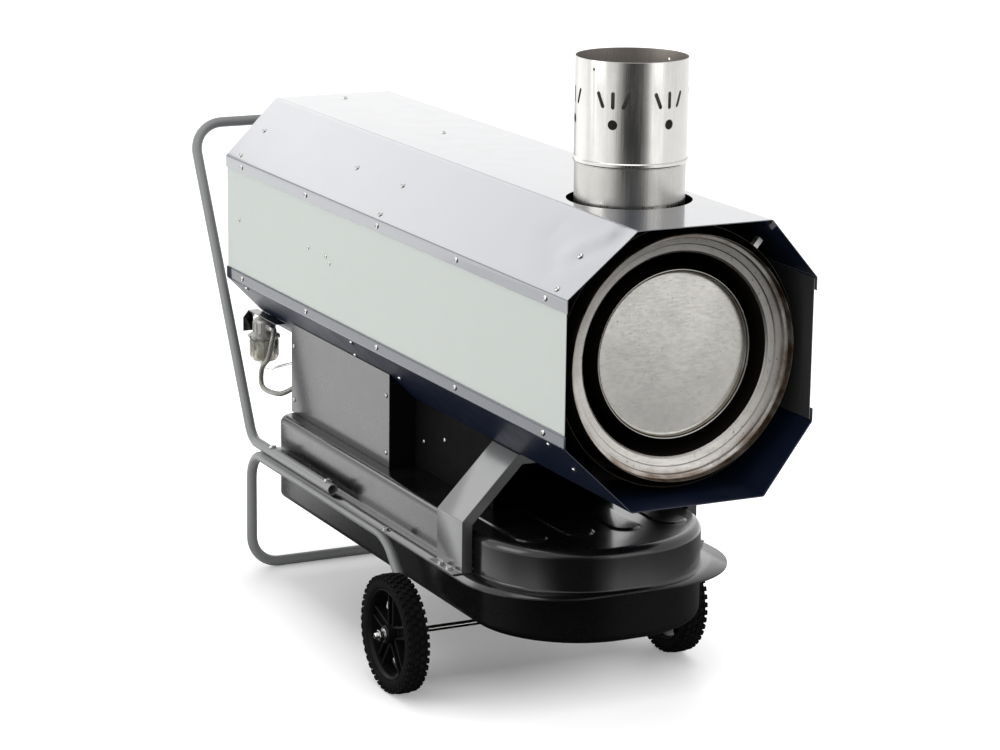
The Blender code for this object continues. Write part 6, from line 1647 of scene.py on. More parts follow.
@dataclass
class Tank:
    """Pressed fuel tank: two shells with a flange, four ribs, the filler and the drain."""

    half_width: float = 0.225
    front: float = 0.222
    rear: float = 1.404
    front_radius: float = 0.205
    rear_radius: float = 0.040
    seam: float = 0.2775
    upper_depth: float = 0.081
    lower_depth: float = 0.0975
    sheet: float = 0.0015
    shoulder: float = 0.016
    flange_side: float = 0.043
    flange_front: float = 0.012
    flange_rear: float = 0.010
    flange_front_radius: float = 0.185
    root_radius: float = 0.005
    rib_height: float = 0.004
    rib_width: float = 0.068
    rib_front: float = 0.324
    rib_rear: float = 0.540
    rib_pitch: float = 0.098
    rib_count: int = 4
    corner_steps: int = 28
    filler: Point = (0.172, 0.720)
    neck_radius: float = 0.022
    neck_height: float = 0.016
    cap_radius: float = 0.0275
    cap_bore: float = 0.023
    cap_depth: float = 0.0165
    grips: int = 24

    def outline(self, side: float, front: float, rear: float, front_radius: float,
                rear_radius: float) -> Line:
        """Plan of the tank, grown by a distance at its sides, front and rear.

        Args:
            side: growth at the sides.
            front: growth at the front.
            rear: growth at the rear.
            front_radius: radius of the front corners.
            rear_radius: radius of the rear corners.

        Returns:
            The outline's points.
        """
        half = self.half_width + side
        near = behind(self.front - front) + front_radius
        far = behind(self.rear + rear) - rear_radius
        steps = self.corner_steps
        corners = (
            (half - rear_radius, far, rear_radius, steps // 3),
            (-half + rear_radius, far, rear_radius, steps // 3),
            (-half + front_radius, near, front_radius, steps),
            (half - front_radius, near, front_radius, steps),
        )
        points = []
        for index, (x, y, radius, count) in enumerate(corners):
            points += arc((x, y), radius, index * QUARTER, (index + 1) * QUARTER, count)
        return points

    def grown(self, more: float) -> Line:
        """Plan of the wall, grown evenly all round."""
        return self.outline(more, more, more, self.front_radius + more, self.rear_radius + more)

    def shell(self, name: str, sign: int, depth: float, seam: float) -> Piece:
        """One pressed shell with a soft root, wall and shoulder.

        Args:
            name: the object's name.
            sign: 1 for the upper shell, -1 for the lower one.
            depth: depth of the pressing.
            seam: height of the flange.

        Returns:
            The sheet.
        """
        flange = self.outline(self.flange_side, self.flange_front, self.flange_rear, self.flange_front_radius,
                              self.rear_radius)
        levels = [(flange, 0.0)]
        for step in range(4):
            turn = QUARTER * step / 3
            grow = self.root_radius * (1 - math.sin(turn))
            rise = self.root_radius * (1 - math.cos(turn))
            levels.append((self.grown(grow), rise))
        for step in range(9):
            turn = QUARTER * step / 8
            shrink = self.shoulder * (1 - math.cos(turn))
            rise = depth - self.shoulder * (1 - math.sin(turn))
            levels.append((self.grown(-shrink), rise))
        levels.append((self.grown(-self.shoulder - 0.004), depth))
        shape = bmesh.new()
        loops = [[shape.verts.new((x, y, seam + sign * rise)) for x, y in plan] for plan, rise in levels]
        skin(shape, loops)
        shape.faces.new(loops[-1])
        item = new_object(name, shape, SOFT_ANGLE)
        lid = max(item.data.polygons, key=lambda face: len(face.vertices))
        if lid.normal.z * sign < 0:
            item.data.flip_normals()
        return sheeted(item, self.sheet)

    def rib(self, middle: float) -> Piece:
        """One pressed rib: a long round-ended swelling that fades into the lid.

        Args:
            middle: its place across the tank.

        Returns:
            The rib.
        """
        top = self.seam + self.upper_depth
        half = self.rib_width / 2
        shape = bmesh.new()
        rings = []
        for step in range(10):
            share = step / 9
            shrink = self.rib_height * 1.7 * share
            rise = self.rib_height * (0.5 - 0.5 * math.cos(math.pi * share)) - 0.0004
            radius = half - shrink
            line = arc((middle, behind(self.rib_front) + half), radius, 2 * QUARTER, 4 * QUARTER, 20)
            rear = behind(self.rib_rear) - shrink
            tight = radius * 0.4
            line += arc((middle + radius - tight, rear - tight), tight, 0.0, QUARTER, 6)
            line += arc((middle - radius + tight, rear - tight), tight, QUARTER, 2 * QUARTER, 6)
            rings.append([shape.verts.new((x, y, top + rise)) for x, y in line])
        skin(shape, rings)
        shape.faces.new(rings[-1])
        shape.faces.new(list(reversed(rings[0])))
        return new_object("rib", shape, SOFT_ANGLE)

    def build(self) -> None:
        """Make and dress the tank."""
        upper = self.shell("tank_upper_skin", 1, self.upper_depth - self.sheet, self.seam + self.sheet)
        middle = (self.rib_count - 1) / 2
        ribs = [self.rib(self.rib_pitch * (index - middle)) for index in range(self.rib_count)]
        top = self.seam + self.upper_depth
        neck_at = (self.filler[0], behind(self.filler[1]), top)
        inner = self.neck_radius - 0.003
        neck = turned("neck", pipe(self.neck_radius, inner, -0.001, self.neck_height), Axis.Z, neck_at, 48,
                      closed=True, edge=0.0006)
        dress(joined(upper, *ribs, neck), BLACK, "tank_upper_shell")
        under = self.seam - self.sheet - CLEARANCE
        lower = self.shell("tank_lower_skin", -1, self.lower_depth - self.sheet, under)
        dress(lower, BLACK, "tank_lower_shell")
        self.cap(neck_at)
        dress_node("drain_plug", 0.0008, BRASS)

    def cap(self, centre: Triple) -> None:
        """Screw cap with a ring of grips.

        Args:
            centre: foot of its axis.
        """
        reach, bore, deep = self.cap_radius, self.cap_bore, self.cap_depth
        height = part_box("filler_cap")[1].z - centre[2]
        line = [(0.0, height), (reach, height), (reach, 0.001), (bore, 0.001), (bore, deep), (0.0, deep)]
        cap = turned("filler_cap_skin", line, Axis.Z, centre, 72, edge=0.0012)
        grip = rounded_block("grip", (-0.002, -0.0015, 0.003), (0.0022, 0.0015, height - 0.003), 0.0007)
        grips = ring_of("cap_grips", grip, BLACK_PLASTIC, Axis.Z, centre, self.grips, reach)
        dress(joined(cap, grips), BLACK_PLASTIC, "filler_cap", body="fuel_cap")


@dataclass
class Trolley:
    """Bent stand, push handle, axle and the fasteners of both."""

    radius: float = 0.011
    bore: float = 0.0095
    track: float = 0.2545
    stand_rear: float = 1.462
    stand_corner: float = 0.762
    stand_bend: float = 0.062
    front_bend: float = 0.100
    handle_end: float = 1.024
    handle_corner: float = 1.455
    handle_top: float = 1.800
    handle_height: float = 0.920
    handle_bend: float = 0.050
    top_bend: float = 0.070
    axle_place: float = 0.617
    axle_height: float = 0.116
    axle_lug: float = 0.014
    rod_radius: float = 0.006
    washer_bore: float = 0.0064
    collar_radius: float = 0.0095
    chamfer: float = 0.0012
    thread_depth: float = 0.0006
    thread_pitch: float = 0.0008
    thread_steps: int = 22
    bracket_plate: float = 0.003
    bracket_side: float = 0.2595
    bracket_bolts: Point = (0.467, 0.503)
    flange_side: float = 0.2585
    flange_bolt: float = 0.756
    handle_bolts: Point = (1.052, 1.341)
    seam: float = 0.2775
    sheet: float = 0.0015
    gap: float = CLEARANCE

    def mirrored(self, left: list[Triple]) -> list[Triple]:
        """Path down the left side and back up the right one."""
        return left + [(-x, y, z) for x, y, z in reversed(left)]

    def stand(self) -> Piece:
        """Stand with its floor bar; its front ends run a little past the axle."""
        high = self.seam - self.sheet - 2 * self.gap - self.radius
        axle = Vector((0.0, behind(self.axle_place), self.axle_height))
        corner = Vector((0.0, behind(self.stand_corner), high))
        slope = (axle - corner).normalized() * self.axle_lug
        left = [
            (-self.track, axle.y + slope.y, axle.z + slope.z), (-self.track, corner.y, high),
            (-self.track, behind(self.stand_rear), high), (-self.track, behind(self.stand_rear), self.radius),
        ]
        radii = [self.front_bend] + [self.stand_bend] * 4 + [self.front_bend]
        path = bend_path(self.mirrored(left), radii)
        return new_object("stand_frame_skin", sweep(path, self.radius, 28, self.bore, 0.02))

    def handle(self) -> Piece:
        """Push handle with open front ends."""
        low = self.seam + self.sheet + self.gap + self.radius
        left = [
            (-self.track, behind(self.handle_end), low), (-self.track, behind(self.handle_corner), low),
            (-self.track, behind(self.handle_top), self.handle_height),
        ]
        radii = [self.handle_bend, self.top_bend, self.top_bend, self.handle_bend]
        path = bend_path(self.mirrored(left), radii)
        return new_object("push_handle_skin", sweep(path, self.radius, 28, self.bore, 0.03))

    def axle(self) -> Piece:
        """Axle with chamfered, threaded ends and the collars inside the wheels."""
        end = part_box("axle")[1].x
        rod, collar = self.rod_radius, self.collar_radius
        inner = self.track + self.radius + self.gap
        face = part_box("right_rim")[0].x - self.gap
        start = -end + self.chamfer
        line = [(0.0, -end), (rod - self.chamfer, -end), (rod, start)]
        turns = range(1, self.thread_steps)
        thread = [(rod - self.thread_depth * (k % 2), start + self.thread_pitch * k) for k in turns]
        line += thread + [(rod, -face), (collar, -face), (collar, -inner), (rod, -inner)]
        line += [(r, -x) for r, x in reversed(line)]
        return turned("axle_skin", line, Axis.X, (0.0, behind(self.axle_place), self.axle_height), 32)

    def bolts(self) -> Spots:
        """Places of the bolts on the flange, the bracket's feet and the handle."""
        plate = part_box("saddle_bracket")[0].z + self.bracket_plate
        flange = self.seam + self.sheet
        top = flange + self.gap + 2 * self.radius - 0.0003
        rows = [(self.bracket_side, place, plate) for place in self.bracket_bolts]
        rows.append((self.flange_side, self.flange_bolt, flange))
        rows += [(self.track, place, top) for place in self.handle_bolts]
        return [screw_at(side * across, behind(place), height, 0, 0, 1)
                for side in (-1, 1) for across, place, height in rows]

    def build(self) -> None:
        """Make and dress the trolley."""
        dress(self.stand(), TUBE, "stand_frame")
        dress(self.handle(), TUBE, "push_handle")
        dress(self.axle(), ZINC, "axle")
        for side in ("left", "right"):
            dress_node(side + "_axle_nut", 0.0010, ZINC)
            self.washer(side)
        ScrewSet("frame_bolts", ZINC, 0.0065, 0.0046, hexagon=True, washer=0.0085).build(self.bolts())

    def washer(self, side: str) -> None:
        """Flat washer under one axle nut.

        Args:
            side: left or right.
        """
        low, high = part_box(side + "_washer")
        half = (high.z - low.z) / 2
        middle = Vector((low.x, (low.y + high.y) / 2, (low.z + high.z) / 2))
        line = pipe(half, self.washer_bore, 0.0, high.x - low.x)
        dress(turned(side + "_washer_skin", line, Axis.X, middle, 48, closed=True, edge=0.0004), ZINC,
              side + "_washer")


@dataclass
class Wheel:
    """One wheel: tyre with two staggered rows of blocks, and a rim with double spokes."""

    side: str
    radius: float = 0.116
    width: float = 0.045
    seat: float = 0.088
    tread: float = 0.004
    shoulder: float = 0.010
    blocks: int = 44
    rim_wall: float = 0.006
    rim_width: float = 0.038
    hub: float = 0.018
    bore: float = 0.0064
    spokes: int = 5
    spoke: float = 0.0050
    spread: float = 0.0105
    depth: float = 0.020
    edge_drop: float = 0.0016
    block_share: float = 0.30
    side_share: float = 0.22
    block_half: float = 0.0047
    rows: tuple[Point, ...] = ((0, -0.0165), (1, -0.0055), (0, 0.0055), (1, 0.0165))

    def centre(self) -> Vector:
        """Middle of the wheel."""
        low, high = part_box(self.side + "_tyre")
        return (low + high) / 2

    def round_axle(self, name: str, item: Piece, finish: object, *ring: float) -> Piece:
        """Copies of an item round the axle; ring holds the count, radius, offset and phase."""
        return ring_of(name, item, finish, Axis.X, self.centre(), *ring)

    def tyre(self) -> Piece:
        """Carcass and its tread blocks."""
        half = self.width / 2
        base = self.radius - self.tread
        line = [
            (self.seat, half - 0.004), (self.seat + 0.003, half - 0.001), (self.seat + 0.010, half),
            (base - self.shoulder, half - 0.0005), (base - 0.003, half - 0.004), (base, half - 0.010),
            (base, 0.0),
        ]
        profile = line + [(r, -x) for r, x in reversed(line[:-1])]
        item = turned(self.side + "_tyre_skin", profile, Axis.X, self.centre(), 160, closed=True, edge=0.003)
        rows = [item]
        step = math.tau * self.radius / self.blocks
        long, short = step * self.block_share, step * self.side_share
        for row, offset in self.rows:
            drop = self.edge_drop if abs(offset) > 0.01 else 0.0
            lug = rounded_block("lug", (-0.003, -long, -self.block_half),
                                (self.tread - drop, long, self.block_half), 0.0011)
            rows.append(self.round_axle("lugs", lug, RUBBER, self.blocks, base, offset, row / 2))
        for sign in (-1, 1):
            rib = rounded_block("side_lug", (-0.0095, -short, -0.0016), (-0.001, short, 0.0005), 0.0006, 1)
            place = sign * (half - 0.0022)
            rows.append(self.round_axle("side_lugs", rib, RUBBER, self.blocks, base - 0.002, place, 0.5))
        return joined(*rows)

    def rim(self) -> Piece:
        """Rim band, hub and five pairs of spokes."""
        outer = self.seat - CLEARANCE
        half = self.rim_width / 2
        band = [
            (outer, half), (outer, -half), (outer - 0.002, -half), (outer - self.rim_wall, -half + 0.006),
            (outer - self.rim_wall, half - 0.006), (outer - 0.002, half),
        ]
        item = turned(self.side + "_rim_skin", band, Axis.X, self.centre(), 128, closed=True, edge=0.0012)
        reach = self.width / 2
        hub = [(self.hub, reach - 0.002), (self.hub - 0.002, reach), (self.bore, reach), (self.bore, -reach),
               (self.hub - 0.002, -reach), (self.hub, -reach + 0.002)]
        pieces = [item, turned("hub", hub, Axis.X, self.centre(), 64, closed=True, edge=0.0010)]
        boss = pipe(self.hub + 0.008, self.hub - 0.004, -0.004, 0.004)
        pieces.append(turned("boss", boss, Axis.X, self.centre(), 64, closed=True, edge=0.0015))
        for side in (-1, 1):
            middle = side * self.spread
            arm = rounded_block("arm", (self.hub * 0.85, middle - self.spoke / 2, -self.depth / 2),
                                (outer - self.rim_wall / 2, middle + self.spoke / 2, self.depth / 2), 0.0013)
            pieces.append(self.round_axle("arms", arm, BLACK_PLASTIC, self.spokes, 0.0, 0.0, 0.5))
        web = rounded_block("web", (self.hub, -self.spread, -0.0012),
                            (outer - self.rim_wall / 2, self.spread, 0.0012), 0.0005)
        pieces.append(self.round_axle("webs", web, BLACK_PLASTIC, self.spokes, 0.0, 0.0, 0.5))
        return joined(*pieces)

    def build(self) -> None:
        """Make and dress the wheel on its own body."""
        body = self.side + "_wheel"
        dress(self.tyre(), RUBBER, self.side + "_tyre", body=body)
        dress(self.rim(), BLACK_PLASTIC, self.side + "_rim", body=body)


@dataclass
class Underside:
    """Saddle bracket, channel, equipment box and what is screwed to them."""

    margin: float = 0.014
    rise: float = 0.029
    drop: float = 0.046
    channel_places: tuple[Point, ...] = ((0.762, 0.086), (0.858, 0.060))

    def cover_screws(self) -> Spots:
        """Screws near the corners of both box covers."""
        spots = []
        for side in ("left", "right"):
            low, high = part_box(side + "_box_cover")
            face = low.x if side == "left" else high.x
            for place in (low.y + self.margin, high.y - self.margin):
                for height in (low.z + self.rise, high.z - self.drop):
                    spots.append(screw_at(face, place, height, math.copysign(1.0, face), 0, 0))
        return spots

    def channel_screws(self) -> Spots:
        """Screws on both sides of the dark channel."""
        low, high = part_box("support_channel")
        return [screw_at(side * high.x, behind(place), low.z + rise, side, 0, 0)
                for side in (-1, 1) for place, rise in self.channel_places]

    def build(self) -> None:
        """Make and dress the pieces between tank and casing."""
        dress_node("saddle_bracket", 0.0016, BRACKET, 3)
        # The channel and the box take a near-black, barely reflecting finish: painted shade of the recess.
        dress_node("support_channel", 0.0008, RECESS_SHADE_BLACK)
        dress_node("equipment_box", 0.0006, RECESS_SHADE_BLACK)
        for side in ("left", "right"):
            dress_node(side + "_box_cover", 0.0005, BLACK)
        ScrewSet("box_screws", ZINC, 0.0050, 0.0026).build(self.cover_screws() + self.channel_screws())


@dataclass
class FuelFilter:
    """Fuel filter under the casing with its clear bowl, strap, hose and pipe."""

    side: float = 0.180
    place: float = 1.570
    bowl_radius: float = 0.031
    bowl_bottom: float = 0.432
    bowl_top: float = 0.484
    head_radius: float = 0.024
    collar: float = 0.006
    port: float = 0.008
    union: float = 0.016
    union_side: float = 0.168
    hose_radius: float = 0.0055
    pipe_radius: float = 0.003
    box_rear: float = 1.400
    union_steps: tuple[tuple[float, float, int], ...] = ((0.0085, 0.008, 6), (0.0068, 0.016, 24))
    folds: int = 36
    fold_share: float = 0.82
    head_ribs: int = 14
    bowl_ribs: int = 16
    tabs: int = 12
    hose_steps: int = 14
    gap: float = CLEARANCE

    def centre(self) -> Triple:
        """Foot of the filter's axis."""
        return (-self.side, behind(self.place), 0.0)

    def head(self) -> Piece:
        """Cast head with a domed top, ribs and collar tabs."""
        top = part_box("filter_head")[1].z
        low = self.bowl_top + self.gap
        wide = self.bowl_radius + 0.002
        line = [
            (0.0, top), (self.head_radius * 0.45, top), (self.head_radius * 0.9, top - 0.006),
            (self.head_radius, top - 2 * self.collar), (self.head_radius, low + 2 * self.collar),
            (wide, low + self.collar), (wide, low), (0.0, low),
        ]
        head = turned("filter_head_skin", line, Axis.Z, self.centre(), 72, edge=0.0015)
        rib = rounded_block("rib", (-0.004, -0.001, low + 2 * self.collar), (0.0012, 0.001, top - 0.012),
                            0.0005)
        ribs = ring_of("head_ribs", rib, CAST, Axis.Z, self.centre(), self.head_ribs, self.head_radius)
        tabs = rounded_block("tab", (-0.003, -0.004, low), (0.0016, 0.004, low + self.collar), 0.0006)
        collar = ring_of("collar_tabs", tabs, CAST, Axis.Z, self.centre(), self.tabs, wide)
        return joined(head, ribs, collar)

    def unions(self) -> Piece:
        """Hexagon unions on both sides of the head."""
        height = self.port_height()
        pieces = []
        for sign in (-1, 1):
            start = self.head_radius * 0.9
            for reach, length, sides in self.union_steps:
                shape = prism(polygon(reach, sides), start, self.head_radius + length)
                turn = Axis.Y.value if sign > 0 else Matrix.Rotation(math.pi, 4, "Z") @ Axis.Y.value
                place = Matrix.Translation((-self.side, behind(self.place), height))
                bmesh.ops.transform(shape, matrix=place @ turn, verts=shape.verts)
                pieces.append(bevelled(new_object("union", shape), 0.0006, 1))
        return joined(*pieces)

    def port_height(self) -> float:
        """Height of the head's ports."""
        return self.bowl_top + self.gap + 3 * self.collar + self.port

    def bowl(self) -> Piece:
        """Clear bowl with vertical ribs and a round foot."""
        radius, foot = self.bowl_radius, self.bowl_bottom
        line = [(radius, self.bowl_top), (radius, foot + 0.012), (radius - 0.004, foot + 0.004),
                (radius - 0.012, foot), (0.0, foot)]
        bowl = turned("filter_bowl_skin", line, Axis.Z, self.centre(), 72, sheet=0.002, edge=0.004)
        rib = rounded_block("rib", (-0.001, -0.0010, self.bowl_bottom + 0.012),
                            (0.0014, 0.0010, self.bowl_top - 0.006), 0.0006)
        ribs = ring_of("bowl_ribs", rib, BOWL, Axis.Z, self.centre(), self.bowl_ribs, self.bowl_radius)
        return joined(bowl, ribs)

    def element(self) -> Piece:
        """Pleated filter element in the bowl."""
        low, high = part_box("filter_element")
        radius = (high.x - low.x) / 2 * 0.97
        outline = []
        for index in range(2 * self.folds):
            reach = radius if index % 2 else radius * self.fold_share
            turn = math.pi * index / self.folds
            outline.append((reach * math.cos(turn), reach * math.sin(turn)))
        shape = prism(outline, low.z, high.z)
        bmesh.ops.transform(shape, matrix=Matrix.Translation(self.centre()), verts=shape.verts)
        return new_object("filter_element_skin", shape)

    def routes(self) -> tuple[list, list]:
        """Centre lines of the hose and of the supply pipe."""
        port = self.port_height()
        back = behind(self.place)
        reach = self.head_radius + self.union
        wall = behind(self.box_rear) + self.union
        low = self.bowl_bottom - 4 * self.collar - self.port
        high = self.bowl_bottom + 4 * self.collar
        r = self.hose_radius
        aside = self.side + 2 * r
        start = back - reach - self.gap
        end = wall + self.gap
        hose = [
            (-self.side, start, port), (-self.side, start - 3 * r, port),
            (-aside, start - 6 * r, port - 3 * r), (-aside, start - 2 * r, port - 11 * r),
            (-aside, start + 5 * r, port - 17 * r),
            (-aside, start + 4 * r, low - 4 * r), (-aside, end + 8 * r, low - 3 * r),
            (-self.union_side, end + 3 * r, low), (-self.union_side, end, low),
        ]
        p = self.pipe_radius
        near = self.side - 2 * r
        first = back + reach + self.gap
        supply = [
            (-self.side, first, port), (-self.side, first + 4 * p, port),
            (-near, first + 9 * p, port - 13 * p),
            (-near, first + 2 * p, self.bowl_bottom - 6 * p), (-near, back, self.bowl_bottom - 7 * p),
            (-near, back - 15 * p, self.bowl_bottom - 2 * p), (-self.union_side, wall + 5 * p, high),
            (-self.union_side, wall + self.gap, high),
        ]
        return hose, supply

    def ferrules(self, route: Route, radius: float, length: float) -> list[Piece]:
        """Pressed sleeves on the ends of a hose.

        Args:
            route: the hose's points.
            radius: radius of a sleeve.
            length: length of a sleeve.

        Returns:
            Both sleeves.
        """
        made = []
        for end, inward in ((route[0], route[1]), (route[-1], route[-2])):
            along = (Vector(inward) - Vector(end)).normalized()
            path = [Vector(end) + along * length * share for share in (0.0, 0.15, 0.5, 0.85, 1.0)]
            made.append(new_object("ferrule", sweep(path, radius, 24)))
        return made

    def build(self) -> None:
        """Make and dress the filter and its lines."""
        dress(joined(self.head(), self.unions()), CAST, "filter_head")
        dress(self.bowl(), BOWL, "filter_bowl")
        dress(self.element(), PAPER, "filter_element")
        dress_node("filter_strap", 0.0006, BLACK)
        hose, supply = self.routes()
        tube = sweep(smooth_path(hose, self.hose_steps), self.hose_radius, 24)
        dress(new_object("fuel_hose_skin", tube), HOSE, "fuel_hose")
        sleeves = self.ferrules(hose, self.hose_radius + 0.0010, 0.014)
        dress(joined(*sleeves), ZINC, slot="zinc").name = "hose_ferrules"
        tube = sweep(smooth_path(supply, self.hose_steps), self.pipe_radius, 20)
        dress(new_object("supply_pipe_skin", tube), ZINC, "supply_pipe")


@dataclass
class AirEnd:
    """Rear end: wire guard, shroud, fan, motor and its spider."""

    inner: float = 0.184
    wire: float = 0.002
    rings: int = 5
    spokes: int = 6
    bulge: float = 0.005
    fins: int = 32
    well_depth: float = 0.0135
    well_radius: float = 0.0075
    shroud_sheet: float = 0.002
    shroud_lip: float = 0.014
    screws: int = 8
    screw_inset: float = 0.010

    def guard_tree(self) -> Tree:
        """Tree that bends wire rings and spokes over a shallow dome."""
        inputs = {
            "Finish": "Material", "Reach": 0.19, "Wire": 0.002, "Rings": 5,
            "Spokes": 6, "Bulge": 0.005,
        }
        graph, given, out = geometry_tree("wire guard", inputs)
        index = graph.add("GeometryNodeInputIndex").outputs[0]
        spots = graph.add("GeometryNodePoints", {"Count": given["Rings"]})
        circle = graph.add("GeometryNodeCurvePrimitiveCircle", {"Resolution": 96, "Radius": 1.0})
        pitch = graph.math("DIVIDE", given["Reach"], given["Rings"])
        size = graph.product(graph.math("ADD", index, 1.0), pitch)
        rings = graph.add("GeometryNodeInstanceOnPoints", {
            "Points": spots.outputs[0], "Instance": circle.outputs["Curve"],
            "Scale": graph.combined(size, size, 1.0),
        })
        ends = {"Start": graph.combined(pitch), "End": graph.combined(given["Reach"])}
        line = graph.add("GeometryNodeCurvePrimitiveLine", ends)
        fine = graph.add("GeometryNodeResampleCurve", {"Curve": line.outputs[0], "Count": 12})
        hubs = graph.add("GeometryNodePoints", {"Count": given["Spokes"]})
        step = graph.math("DIVIDE", math.tau, given["Spokes"])
        turn = graph.product(graph.math("ADD", index, 0.25), step)
        spin = graph.add("FunctionNodeAxisAngleToRotation", {"Axis": (0.0, 0.0, 1.0), "Angle": turn})
        arms = graph.add("GeometryNodeInstanceOnPoints", {
            "Points": hubs.outputs[0], "Instance": fine.outputs[0], "Rotation": spin.outputs[0],
        })
        lift = graph.combined(0.0, 0.0, given["Wire"])
        lifted = graph.add("GeometryNodeTransform", {"Geometry": arms.outputs[0], "Translation": lift})
        both = graph.add("GeometryNodeJoinGeometry")
        graph.feed(both.inputs[0], lifted.outputs[0])
        graph.feed(both.inputs[0], rings.outputs[0])
        real = graph.add("GeometryNodeRealizeInstances", {"Geometry": both.outputs[0]})
        place = graph.add("GeometryNodeInputPosition").outputs[0]
        reach = graph.measure("LENGTH", graph.vector("MULTIPLY", place, (1.0, 1.0, 0.0)))
        share = graph.math("DIVIDE", reach, given["Reach"])
        rise = graph.product(graph.math("SUBTRACT", 1.0, graph.product(share, share)), given["Bulge"])
        lift = graph.combined(0.0, 0.0, rise)
        bent = graph.add("GeometryNodeSetPosition", {"Geometry": real.outputs[0], "Offset": lift})
        section = graph.add("GeometryNodeCurvePrimitiveCircle", {"Resolution": 12, "Radius": given["Wire"]})
        mesh = graph.add("GeometryNodeCurveToMesh", {
            "Curve": bent.outputs[0], "Profile Curve": section.outputs["Curve"], "Fill Caps": True,
        })
        painted = {"Geometry": mesh.outputs[0], "Material": given["Finish"]}
        graph.feed(out, graph.add("GeometryNodeSetMaterial", painted).outputs[0])
        return graph.tree

    def guard(self) -> Piece:
        """Wire guard over the air inlet."""
        low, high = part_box("inlet_grille")
        reach = (high.x - low.x) / 2 - self.wire
        values = {
            "Finish": material_of(ZINC), "Reach": reach, "Wire": self.wire, "Rings": self.rings,
            "Spokes": self.spokes, "Bulge": self.bulge,
        }
        made = run_tree("inlet_grille_skin", self.guard_tree(), bpy.data.meshes.new("guard"), values)
        made.data.transform(Matrix.Translation((0.0, low.y + self.wire, AXIS_HEIGHT)) @ Axis.Y.value)
        made.data.shade_smooth()
        return made

    def motor(self) -> Piece:
        """Fan motor with cooling fins."""
        low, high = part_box("fan_motor")
        radius = (high.x - low.x) / 2
        centre = (0.0, low.y, AXIS_HEIGHT)
        length = high.y - low.y
        well = length - self.well_depth
        line = [(0.0, well), (self.well_radius, well), (self.well_radius, length), (radius / 2, length),
                (radius * 0.96, length - 0.012), (radius * 0.96, 0.006), (radius * 0.88, 0.0), (0.0, 0.0)]
        body = turned("fan_motor_skin", line, Axis.Y, centre, 72, edge=0.002)
        fin = rounded_block("fin", (-0.004, -0.0010, 0.010), (0.0, 0.0010, length - 0.020), 0.0004, 1)
        fins = ring_of("fins", fin, CAST, Axis.Y, centre, self.fins, radius)
        return joined(body, fins)

    def build(self) -> None:
        """Make and dress the rear end."""
        dress(self.guard(), ZINC, "inlet_grille")
        dress(self.motor(), CAST, "fan_motor")
        low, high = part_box("fan_shroud")
        flange = (high.x - low.x) / 2
        depth = high.y - low.y
        sheet, lip = self.shroud_sheet, self.inner + self.shroud_lip
        outer = self.inner + sheet
        line = [(flange, depth), (flange, depth - sheet), (self.inner + 0.006, depth - sheet),
                (outer, depth - 0.006), (outer, 0.004), (lip, sheet), (lip, 0.0), (self.inner, 0.0),
                (self.inner, depth)]
        shroud = turned("fan_shroud_skin", line, Axis.Y, (0.0, low.y, AXIS_HEIGHT), 128, closed=True)
        dress(shroud, DARK_STEEL, "fan_shroud")
        dress_node("main_fan", 0.0008, BLACK_PLASTIC, body="main_fan_wheel")
        dress_node("motor_spider", 0.0006, DARK_STEEL)
        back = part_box("rear_panel")[1].y
        reach = flange - self.screw_inset
        turns = [math.tau * (index + 0.5) / self.screws for index in range(self.screws)]
        spots = [screw_at(reach * math.cos(t), back, AXIS_HEIGHT + reach * math.sin(t), 0, 1, 0)
                 for t in turns]
        ScrewSet("rear_screws", ZINC, 0.0045, 0.0024).build(spots)


